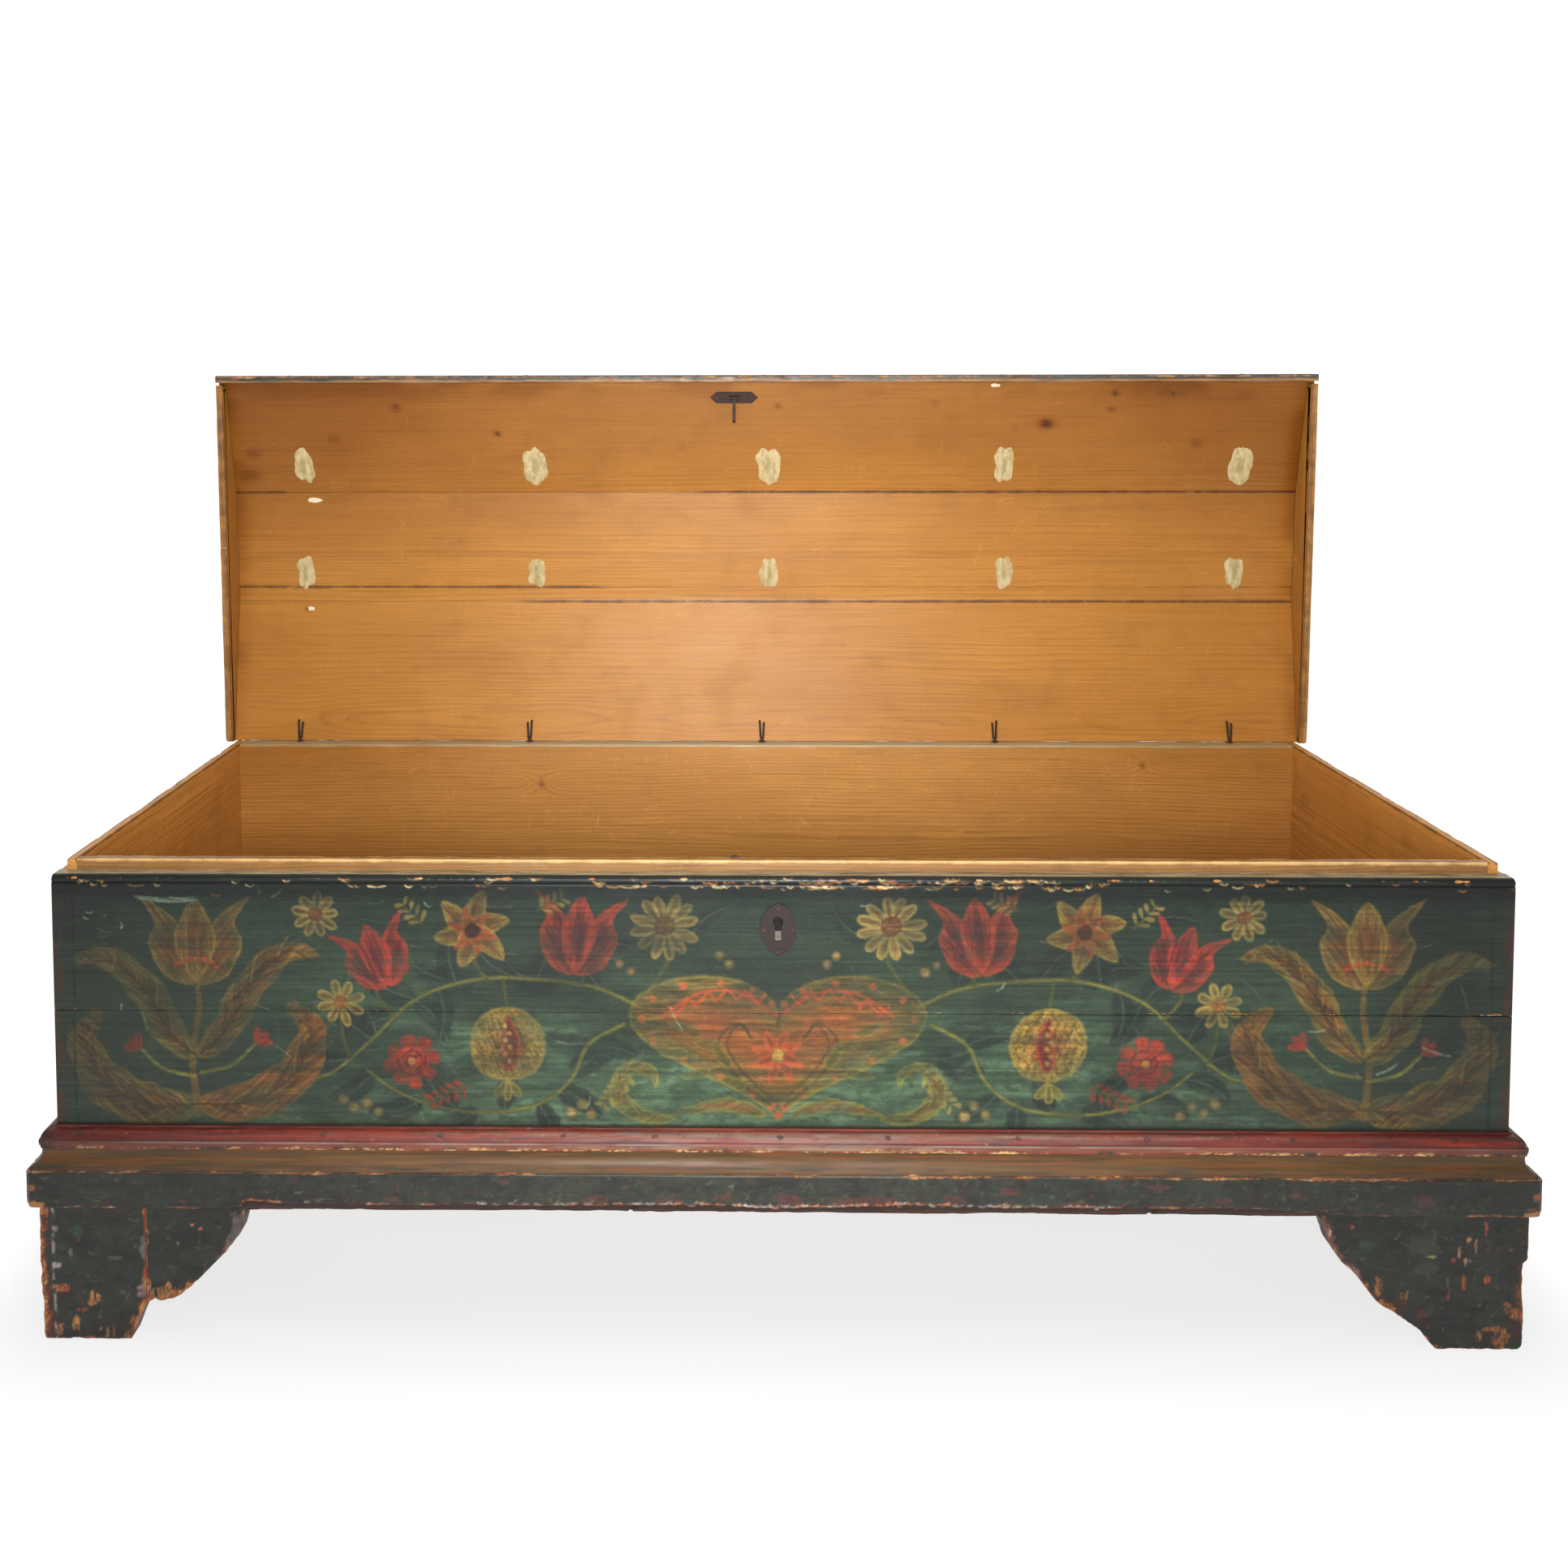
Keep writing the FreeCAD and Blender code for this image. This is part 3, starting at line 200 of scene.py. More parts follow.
def rounded(points, r, n=3):
    """Replace flagged corners of a closed (u, v, corner) profile by small arcs."""
    out = []
    m = len(points)
    for i in range(m):
        p = points[i]
        if not p[2]:
            out.append(p)
            continue
        a, b = points[i - 1], points[(i + 1) % m]
        va = np.array([a[0] - p[0], a[1] - p[1]])
        vb = np.array([b[0] - p[0], b[1] - p[1]])
        la, lb = np.linalg.norm(va), np.linalg.norm(vb)
        rr = min(r, la * 0.45, lb * 0.45)
        pa = np.array(p[:2]) + va / la * rr
        pb = np.array(p[:2]) + vb / lb * rr
        for j in range(n + 1):
            t = j / n
            q = (1 - t) ** 2 * pa + 2 * t * (1 - t) * np.array(p[:2]) + t * t * pb
            st = p[3] if len(p) > 3 else None
            out.append((q[0], q[1], j == n // 2 + (n % 2) - 1 or n == 1, st if j == n else None))
    return out


def wood_rings(x, y, z, w):
    """Ring coordinate of a board whose grain runs along x.
    w: pith (pz, py), slope of the pith depth along x, spacing and waviness."""
    wav = w.get("wave", 6.0)
    seed = w.get("seed", 1)
    dz = z - w["pz"] + wav * (fbm(x / 420.0, 0.7, seed * 3.1, 3, seed) - 0.5) * 2
    dy = y - w["py"] + w.get("slope", 0.0) * x + w.get("dip", 10.0) * (fbm(x / 260.0, 0.3, seed * 1.7, 3, seed + 5) - 0.5) * 2
    knot = np.zeros_like(x)
    for kx, kz, kr in w.get("knots", ()):
        dd = np.sqrt(((x - kx) / 1.5) ** 2 + (z - kz) ** 2)
        dz = dz + np.sign(z - kz + 1e-6) * kr * 2.6 * np.exp(-(dd / (kr * 3.0)) ** 2)
        knot = np.maximum(knot, np.exp(-(dd / (kr * 0.8)) ** 4))
    r = np.sqrt(dz * dz + dy * dy)
    r = r + 3.0 * (fbm(x / 160.0, y / 30.0, z / 30.0, 2, seed + 9) - 0.5)
    sp = w.get("spacing", 4.6) * (0.75 + 0.5 * vn(r / 55.0, 0.0, 0.0, seed + 2))
    return r / sp, knot


def sweep(name, profile, stations, place, step=6.0, wood=None, axis="x", chip=0.0, chip_scale=28.0, chip_bias=0.55,
          seed=1, wob=0.15, end_scale=None, colour=None, extra=None, edge_reach=7.0, cap=True, chip_mask=None,
          wood_map=None, sharp=32.0):
    """Solid made from a closed profile carried along the stations.
    place(t, u, v) gives the row-frame position; edges are worn back by chip mm."""
    P, E, N, ccw = resample(profile, step)
    if not ccw:
        P, E, N = P[::-1], E[::-1], N[::-1]
    K, M = len(P), len(stations)
    T = np.repeat(np.asarray(stations, float)[:, None], K, 1)
    U = np.repeat(P[None, :, 0], M, 0)
    W = np.repeat(P[None, :, 1], M, 0)
    NU = np.repeat(N[None, :, 0], M, 0)
    NW = np.repeat(N[None, :, 1], M, 0)
    ED = np.repeat(E[None, :], M, 0)
    end = np.minimum(np.abs(T - stations[0]), np.abs(T - stations[-1]))
    near = np.exp(-(ED / edge_reach) ** 2)
    corner = np.repeat(np.arange(K)[None, :], M, 0)
    # each arris wears by its own pattern along the length
    flag = np.where(E < 1e-6)[0]
    which = np.zeros(K)
    if len(flag):
        dist = np.abs(np.arange(K)[:, None] - flag[None, :])
        which = flag[np.minimum(dist, K - dist).argmin(1)].astype(float)
    WH = np.repeat(which[None, :], M, 0)
    field = fbm(T / chip_scale, WH * 3.7 + seed * 5.1, 0.5, 4, seed, 0.6)
    if chip_mask is not None:
        field = field + chip_mask(T, U, W)
    depth = np.clip((field - chip_bias) / (1 - chip_bias), 0, 1) ** 0.8 * chip * near
    fine = (fbm(T / 7.0, WH * 1.3 + 3.0, 0.2, 2, seed + 3) - 0.5) * min(0.5, chip * 0.3) * near
    soft = wob * (fbm(T / 90.0, U / 60.0 + WH, W / 60.0, 2, seed + 7) - 0.5) * 2
    off = -(depth + np.clip(fine, -1, 0.0)) - np.abs(soft) * 0.8
    off = np.minimum(off, 0.0)
    U2, W2 = U + NU * off, W + NW * off
    pos = place(T, U2, W2)
    verts = pos.reshape(-1, 3)
    quads = tube_quads(K, M)
    ngons = []
    if cap:
        ngons = [np.arange(K)[::-1], (M - 1) * K + np.arange(K)]
    attrs = {"edge": ED, "chipd": depth, "endd": end}
    if wood is not None:
        fx, fy, fz = (wood_map or (lambda t, u, v: (t, u, v)))(T, U, W)
        ring, knot = wood_rings(fx, fy, fz, wood)
        attrs["ring"], attrs["knot"] = ring, knot
    if extra:
        for key, fn in extra.items():
            attrs[key] = fn(T, U, W)
    cols = {}
    if colour is not None:
        cols["paint"] = colour(T, U, W)
    ob = make_mesh(name, verts, quads, ngons, attrs, cols, sharp=sharp)
    fix_winding(ob)
    return ob


def fix_winding(ob):
    """Turn the faces outwards if the solid came out inside out."""
    me = ob.data
    vol = 0.0
    n = len(me.vertices)
    co = np.zeros(n * 3, np.float32)
    me.vertices.foreach_get("co", co)
    co = co.reshape(-1, 3).astype(float)
    me.calc_loop_triangles()
    tri = np.zeros(len(me.loop_triangles) * 3, np.int32)
    me.loop_triangles.foreach_get("vertices", tri)
    tri = tri.reshape(-1, 3)
    vol = np.einsum("ij,ij->i", co[tri[:, 0]], np.cross(co[tri[:, 1]], co[tri[:, 2]])).sum()
    if vol < 0:
        me.flip_normals()


def plate(name, outline, thick, place, rings=((0, 1.0), (0.3, 0.3), (1.0, 0.0), (3.5, 0.0), (9.0, 0.0), (16.0, 0.0)),
          step=2.5, chip=0.0, chip_bias=0.55, chip_scale=24.0, seed=1, wood=None, wood_map=None, chip_mask=None,
          both=False, dome=0.0, extra=None, sharp=32.0):
    """Flat piece cut to an outline. place(a, b, depth) gives the position, with
    depth 0 on the shown face; rings are (inset, depth) pairs of the worn edge."""
    P, E, N, ccw = resample([(p[0], p[1], 1 if len(p) > 2 and p[2] else 0) for p in outline], step)
    if not ccw:
        P, E, N = P[::-1], E[::-1], N[::-1]
    K = len(P)
    seg = np.linalg.norm(np.roll(P, -1, 0) - P, axis=1)
    s = np.concatenate([[0], np.cumsum(seg)[:-1]])
    ang = s / seg.sum() * 2 * np.pi
    rad = seg.sum() / (2 * np.pi)
    cx, cy = np.cos(ang) * rad / chip_scale, np.sin(ang) * rad / chip_scale
    field = fbm(cx + 9.0, cy + 9.0, seed * 2.3, 4, seed, 0.6)
    if chip_mask is not None:
        field = field + chip_mask(P[:, 0], P[:, 1])
    c = np.clip((field - chip_bias) / (1 - chip_bias), 0, 1) ** 0.8 * chip
    fine = fbm(cx * 5 + 9.0, cy * 5 + 9.0, 0.7, 2, seed + 4) * min(0.6, 0.35 * chip)
    full = [(0.0, thick - 1.0), (0.9, thick)] if not both else []
    layers = []
    if both:
        for ins, dep in reversed(rings):
            layers.append((ins, thick - dep, False))
    else:
        layers += [(0.9, thick, False), (0.0, thick - 1.0, False)]
    for ins, dep in rings:
        layers.append((ins, dep, True))
    V, attr_e, attr_c = [], [], []
    for ins, dep, front in layers:
        fall = math.exp(-(max(ins, dep if front else 5) / 4.5) ** 2) if front else (math.exp(-(ins / 4.5) ** 2) * 0.5)
        inset = ins + (c * 0.9 + fine) * fall
        A = P[:, 0] - N[:, 0] * inset
        B = P[:, 1] - N[:, 1] * inset
        sag = dep + (c * 0.8 * math.exp(-(ins / 3.0) ** 2) if front else -c * 0.3)
        if dome and front:
            sag = sag - dome * (1 - math.exp(-(ins / 6.0)))
        V.append(place(A, B, np.clip(sag + 0 * A, -1e9, thick)))
        attr_e.append(np.full(K, max(ins, dep if front else 0)) if front else np.full(K, ins + 2.0))
        attr_c.append(c * math.exp(-(ins / 5.0) ** 2))
    M = len(layers)
    verts = np.concatenate(V)
    quads = tube_quads(K, M)
    ngons = [np.arange(K)[::-1], (M - 1) * K + np.arange(K)]
    attrs = {"edge": np.concatenate(attr_e), "chipd": np.concatenate(attr_c), "endd": np.full(len(verts), 50.0)}
    if wood is not None:
        AA = np.concatenate([P[:, 0] - N[:, 0] * l[0] for l in layers])
        BB = np.concatenate([P[:, 1] - N[:, 1] * l[0] for l in layers])
        DD = np.concatenate([np.full(K, l[1]) for l in layers])
        fx, fy, fz = (wood_map or (lambda a, b, d: (a, d, b)))(AA, BB, DD)
        ring, knot = wood_rings(fx, fy, fz, wood)
        attrs["ring"], attrs["knot"] = ring, knot
    ob = make_mesh(name, verts, quads, ngons, attrs, {}, sharp=sharp)
    fix_winding(ob)
    return ob


# ------------------------------------------------------------------ material helper
class Mat:
    def __init__(self, name):
        self.m = bpy.data.materials.new(name)
        self.m.use_nodes = True
        self.t = self.m.node_tree
        self.t.nodes.clear()
        self.out = self.t.nodes.new("ShaderNodeOutputMaterial")
        self.b = self.t.nodes.new("ShaderNodeBsdfPrincipled")
        self.t.links.new(self.b.outputs[0], self.out.inputs[0])
        co = self.t.nodes.new("ShaderNodeTexCoord")
        self.P = self.vec("MULTIPLY", co.outputs["Object"], (1000.0, 1000.0, 1000.0))

    def link(self, sock, v):
        if hasattr(v, "is_output"):
            self.t.links.new(v, sock)
        elif v is not None:
            try:
                sock.default_value = v
            except TypeError:
                sock.default_value = tuple(v)
        return sock

    def vec(self, op, a, b=None):
        n = self.t.nodes.new("ShaderNodeVectorMath")
        n.operation = op
        self.link(n.inputs[0], a)
        if b is not None:
            self.link(n.inputs[1], b)
        return n.outputs[0]

    def math(self, op, a, b=None, c=None, clamp=False):
        n = self.t.nodes.new("ShaderNodeMath")
        n.operation = op
        n.use_clamp = clamp
        self.link(n.inputs[0], a)
        if b is not None:
            self.link(n.inputs[1], b)
        if c is not None:
            self.link(n.inputs[2], c)
        return n.outputs[0]

    def sep(self, v):
        n = self.t.nodes.new("ShaderNodeSeparateXYZ")
        self.link(n.inputs[0], v)
        return n.outputs[0], n.outputs[1], n.outputs[2]

    def noise(self, scale=(1, 1, 1), detail=3.0, rough=0.5, distort=0.0, at=None, shift=(0, 0, 0), kind="f"):
        v = self.vec("MULTIPLY", at if at is not None else self.P, tuple(scale))
        if any(shift):
            v = self.vec("ADD", v, tuple(shift))
        n = self.t.nodes.new("ShaderNodeTexNoise")
        self.link(n.inputs["Vector"], v)
        n.inputs["Scale"].default_value = 1.0
        n.inputs["Detail"].default_value = detail
        n.inputs["Roughness"].default_value = rough
        n.inputs["Distortion"].default_value = distort
        return n.outputs["Fac"] if kind == "f" else n.outputs["Color"]

    def voronoi(self, scale=(1, 1, 1), feature="F1", at=None, shift=(0, 0, 0), rand=1.0, out="Distance"):
        v = self.vec("MULTIPLY", at if at is not None else self.P, tuple(scale))
        if any(shift):
            v = self.vec("ADD", v, tuple(shift))
        n = self.t.nodes.new("ShaderNodeTexVoronoi")
        n.feature = feature
        self.link(n.inputs["Vector"], v)
        n.inputs["Scale"].default_value = 1.0
        n.inputs["Randomness"].default_value = rand
        return n.outputs[out]

    def ramp(self, fac, stops, mode="LINEAR"):
        n = self.t.nodes.new("ShaderNodeValToRGB")
        n.color_ramp.interpolation = mode
        self.link(n.inputs[0], fac)
        el = n.color_ramp.elements
        while len(el) < len(stops):
            el.new(0.5)
        for e, (p, c) in zip(el, stops):
            e.position = p
            e.color = c if len(c) == 4 else (*c, 1.0)
        return n.outputs[0]

    def rng(self, v, a, b, lo=0.0, hi=1.0, smooth=True):
        n = self.t.nodes.new("ShaderNodeMapRange")
        n.interpolation_type = "SMOOTHSTEP" if smooth else "LINEAR"
        n.clamp = True
        self.link(n.inputs[0], v)
        for i, x in enumerate((a, b, lo, hi)):
            n.inputs[i + 1].default_value = x
        return n.outputs[0]

    def mix(self, f, a, b, mode="MIX"):
        n = self.t.nodes.new("ShaderNodeMix")
        n.data_type = "RGBA"
        n.blend_type = mode
        n.clamp_factor = True
        self.link(n.inputs["Factor"], f)
        self.link(n.inputs[6], a)
        self.link(n.inputs[7], b)
        return n.outputs[2]

    def mixf(self, f, a, b):
        n = self.t.nodes.new("ShaderNodeMix")
        n.data_type = "FLOAT"
        self.link(n.inputs["Factor"], f)
        self.link(n.inputs[2], a)
        self.link(n.inputs[3], b)
        return n.outputs[0]

    def attr(self, name, kind="Fac"):
        n = self.t.nodes.new("ShaderNodeAttribute")
        n.attribute_type = "GEOMETRY"
        n.attribute_name = name
        return n.outputs[kind]

    def bump(self, h, strength=0.3, dist=0.0005, normal=None):
        n = self.t.nodes.new("ShaderNodeBump")
        n.inputs["Strength"].default_value = strength
        n.inputs["Distance"].default_value = dist
        self.link(n.inputs["Height"], h)
        if normal is not None:
            self.link(n.inputs["Normal"], normal)
        return n.outputs[0]

    def finish(self, colour, rough, normal=None, spec=0.4, metal=None):
        self.link(self.b.inputs["Base Color"], colour)
        self.link(self.b.inputs["Roughness"], rough)
        self.b.inputs["Specular IOR Level"].default_value = spec
        if metal is not None:
            self.link(self.b.inputs["Metallic"], metal)
        if normal is not None:
            self.link(self.b.inputs["Normal"], normal)
        return self.m


AX = {"x": (0, 1, 2), "y": (1, 0, 2), "z": (2, 0, 1)}


def stretch(axis, long_, across, third=None):
    """Scale vector with features long_ mm along the grain and across mm over it."""
    s = [0, 0, 0]
    i, j, k = AX[axis]
    s[i], s[j], s[k] = 1.0 / long_, 1.0 / across, 1.0 / (third or across)
    return tuple(s)


def pine(name, axis="x", tone=1.0, dirt_and_shade=False, seam=False, grainy=1.0, top_pale_and_lit=False, has_rings=True,
         light=(206, 150, 88), dark=(140, 84, 40), dirt=0.35, rough=0.5, painted_edge=None, seed=0.0, ring_gain=1.0, centre=None,
         marks=True, spec=0.35, soil=(96, 58, 30), even=1.0,
         edge_col=None):
    m = Mat(name)
    sh = (seed * 3.1, seed * 5.7, seed * 1.9)
    if has_rings:
        ring = m.attr("ring")
    else:
        i, j, k = AX[axis]
        xyz = m.sep(m.P)
        w1 = m.noise(stretch(axis, 420, 160), 2.0, 0.5, shift=sh)
        a = m.math("MULTIPLY_ADD", w1, 26.0, xyz[k])
        a = m.math("MULTIPLY_ADD", xyz[i], 0.012, a)
        b = m.math("MULTIPLY_ADD", w1, 40.0, xyz[j])
        r = m.math("SQRT", m.math("ADD", m.math("MULTIPLY", a, a), m.math("MULTIPLY", b, b)))
        ring = m.math("MULTIPLY", r, 0.21)
    jit = m.noise(stretch(axis, 70, 9), 2.0, 0.6, shift=sh)
    ring = m.math("MULTIPLY_ADD", jit, 0.5, ring)
    fr = m.math("FRACT", ring)
    late = m.ramp(fr, [(0.0, (0.12, 0.12, 0.12)), (0.35, (0.0, 0.0, 0.0)), (0.72, (0.42, 0.42, 0.42)),
                       (0.9, (1, 1, 1)), (0.955, (0.5, 0.5, 0.5)), (1.0, (0.12, 0.12, 0.12))])
    fibre = m.noise(stretch(axis, 60, 0.9), 3.0, 0.6, shift=sh)
    fib2 = m.noise(stretch(axis, 240, 4.0), 3.0, 0.55, shift=sh)
    big = m.noise(stretch(axis, 420, 150), 3.0, 0.55, shift=sh)
    blot = m.noise((1 / 70.0, 1 / 70.0, 1 / 70.0), 4.0, 0.62, shift=sh)
    lateamt = m.math("MULTIPLY", late, m.rng(fib2, 0.25, 0.75, 0.35 * ring_gain, 0.85 * ring_gain))
    col = m.mix(lateamt, C(*light), C(*dark))
    col = m.mix(m.rng(fibre, 0.42, 0.7, 0.0, 0.34 * grainy), col, C(*[c * 0.66 for c in dark]))
    col = m.mix(m.rng(fibre, 0.26, 0.42, 0.24 * grainy, 0.0), col, C(*[min(255, c * 1.16) for c in light]))
    lines = m.noise(stretch(axis, 300, 2.6), 2.0, 0.5, shift=sh)
    col = m.mix(m.rng(lines, 0.52, 0.66, 0.0, 0.30 * grainy), col, C(*[c * 0.8 for c in dark]))
    flk = m.rng(m.voronoi(stretch(axis, 13, 4.0), shift=sh), 0.05, 0.15, 0.5 * grainy, 0.0)
    flk = m.math("MULTIPLY", flk, m.rng(m.noise((1 / 55.0,) * 3, 3.0, 0.6, shift=sh), 0.44, 0.62))
    col = m.mix(flk, col, C(*[min(255, c * 1.22) for c in light]))
    col = m.mix(m.rng(big, 0.3, 0.7, 0.0, 0.4), col, C(light[0] * 0.82, light[1] * 0.74, light[2] * 0.62))
    # handling dirt, darker along arrises and in blotches
    stain = m.math("MULTIPLY", m.rng(blot, 0.5, 0.78), dirt)
    col = m.mix(stain, col, C(*soil))
    if has_rings:
        kn = m.attr("knot")
        kring = m.math("FRACT", m.math("MULTIPLY", kn, 3.0))
        col = m.mix(m.math("MULTIPLY", kn, 0.8), col, m.mix(kring, C(104, 54, 26), C(66, 34, 20)))
        edge = m.attr("edge")
        ej = m.math("MULTIPLY_ADD", m.noise((1 / 22.0,) * 3, 3.0, 0.6, shift=sh), -5.0, edge)
        edge_dirt_or_highlight = m.rng(ej, -2.6, 1.0, 0.8, 0.0)
        if seam:
            edge_dirt_or_highlight = m.math("MULTIPLY", edge_dirt_or_highlight, m.attr("seamk"))
        # pale strip along the top edge: its own pale colour, made lighter still as painted light
        if top_pale_and_lit:
            col = m.mix(m.rng(m.attr("topk"), 0.3, 0.7, 0.0, 0.85), col, m.mix(m.rng(fibre, 0.3, 0.7), C(232, 222, 190), C(196, 182, 148)))
            edge_dirt_or_highlight = m.math("MULTIPLY", edge_dirt_or_highlight, 0.15)
        # arrises take edge_col where given, a painted highlight on the rim; else darker dirt
        col = m.mix(edge_dirt_or_highlight, col, C(*(edge_col or [c * 0.8 for c in soil])))
    if marks:
        # thin bright scratches in two directions and small dark dents
        ax, bx = (0.55, 0.83) if axis == "x" else (0.8, 0.6)
        for q, (ang, sc, thr) in enumerate(((0.35, 0.011, 0.012), (-0.9, 0.014, 0.010), (1.35, 0.009, 0.010))):
            c0, s0 = math.cos(ang), math.sin(ang)
            xyz = m.sep(m.P)
            i, j, k = AX[axis]
            va = m.math("ADD", m.math("MULTIPLY", xyz[i], c0), m.math("MULTIPLY", xyz[k], s0))
            vb = m.math("ADD", m.math("MULTIPLY", xyz[i], -s0), m.math("MULTIPLY", xyz[k], c0))
            n = m.t.nodes.new("ShaderNodeCombineXYZ")
            m.link(n.inputs[0], m.math("MULTIPLY", va, sc))
            m.link(n.inputs[1], m.math("MULTIPLY", vb, 0.16))
            m.link(n.inputs[2], seed * 2.0 + q)
            nn = m.t.nodes.new("ShaderNodeTexNoise")
            nn.inputs["Scale"].default_value = 1.0
            nn.inputs["Detail"].default_value = 1.5
            m.link(nn.inputs["Vector"], n.outputs[0])
            line = m.math("ABSOLUTE", m.math("SUBTRACT", nn.outputs["Fac"], 0.5))
            gate = m.rng(m.noise((1 / 45.0,) * 3, 2.0, 0.5, shift=(q * 7.0 + seed, 3.0, 1.0)), 0.58, 0.66)
            col = m.mix(m.math("MULTIPLY", m.rng(line, 0.0, thr, 0.5, 0.0), gate), col,
                        C(min(255, light[0] * 1.1), min(255, light[1] * 1.12), min(255, light[2] * 1.1)))
        dents = m.rng(m.voronoi((1 / 17.0,) * 3, shift=sh), 0.02, 0.07, 0.55, 0.0)
        col = m.mix(m.math("MULTIPLY", dents, m.rng(blot, 0.42, 0.6)), col, C(70, 40, 22))
        for q, (size, amt, c_) in enumerate(((8.5, 0.5, C(92, 54, 28)), (6.5, 0.4, C(*[min(255, c * 1.2) for c in light])))):
            spot = m.rng(m.voronoi((1 / (size * 1.5), 1 / size, 1 / size), shift=(seed + q * 4.0, 2.0 + q, 5.0)), 0.035, 0.085, amt, 0.0)
            gate = m.rng(m.noise((1 / 70.0,) * 3, 3.0, 0.6, shift=(seed, q * 9.0 + 2.0, 7.0)), 0.42, 0.58)
            col = m.mix(m.math("MULTIPLY", spot, gate), col, c_)
    if tone != 1.0:
        n = m.t.nodes.new("ShaderNodeHueSaturation")
        n.inputs["Value"].default_value = tone
        m.link(n.inputs["Color"], col)
        col = n.outputs[0]
    # dirt_and_shade darkens to brown: handling dirt together with painted shade
    if dirt_and_shade:
        n = m.t.nodes.new("ShaderNodeMix")
        n.data_type = "RGBA"
        n.blend_type = "MULTIPLY"
        m.link(n.inputs["Factor"], m.attr("dirt_and_shade"))
        m.link(n.inputs[6], col)
        n.inputs[7].default_value = (0.42, 0.30, 0.06, 1.0)
        col = n.outputs[2]
    if painted_edge is not None:
        col = m.mix(m.rng(m.attr("paintside"), 0.4, 0.6), col, painted_edge(m))
    h = m.math("ADD", m.math("MULTIPLY", lateamt, 0.5), m.math("MULTIPLY", fibre, 0.7))
    nor = m.bump(h, 0.35, 0.00025)
    nor = m.bump(m.noise(stretch(axis, 30, 60), 2.0, 0.5, shift=sh), 0.25 * even, 0.0012, nor)
    rgh = m.math("ADD", m.rng(blot, 0.3, 0.8, rough - 0.07 * even, rough + 0.1 * even), m.math("MULTIPLY", lateamt, -0.08))
    return m.finish(col, rgh, nor, spec)


def paint_nodes(m, base, alt, streak_axis="x", fleck=0.5, seed=0.0, sheen=0.42):
    """Colour of an old brushed paint coat. Returns (colour, roughness)."""
    sh = (seed * 2.3 + 4.0, seed + 1.0, seed * 3.0)
    brush = m.noise(stretch(streak_axis, 55, 1.4), 3.0, 0.62, shift=sh)
    wide = m.noise(stretch(streak_axis, 210, 38), 3.0, 0.55, shift=sh)
    mott = m.noise((1 / 16.0,) * 3, 4.0, 0.66, shift=sh)
    col = m.mix(m.rng(wide, 0.32, 0.68), C(*base), C(*alt))
    col = m.mix(m.rng(brush, 0.42, 0.75, 0.0, 0.55), col, C(*[c * 0.62 for c in base]))
    col = m.mix(m.rng(brush, 0.24, 0.4, 0.3, 0.0), col, C(*[min(255, c * 1.35 + 8) for c in alt]))
    col = m.mix(m.rng(mott, 0.55, 0.75, 0.0, 0.35), col, C(*[c * 0.7 for c in base]))
    rough = m.rng(mott, 0.3, 0.75, sheen - 0.06, sheen + 0.14)
    return col, rough, brush, mott, sh


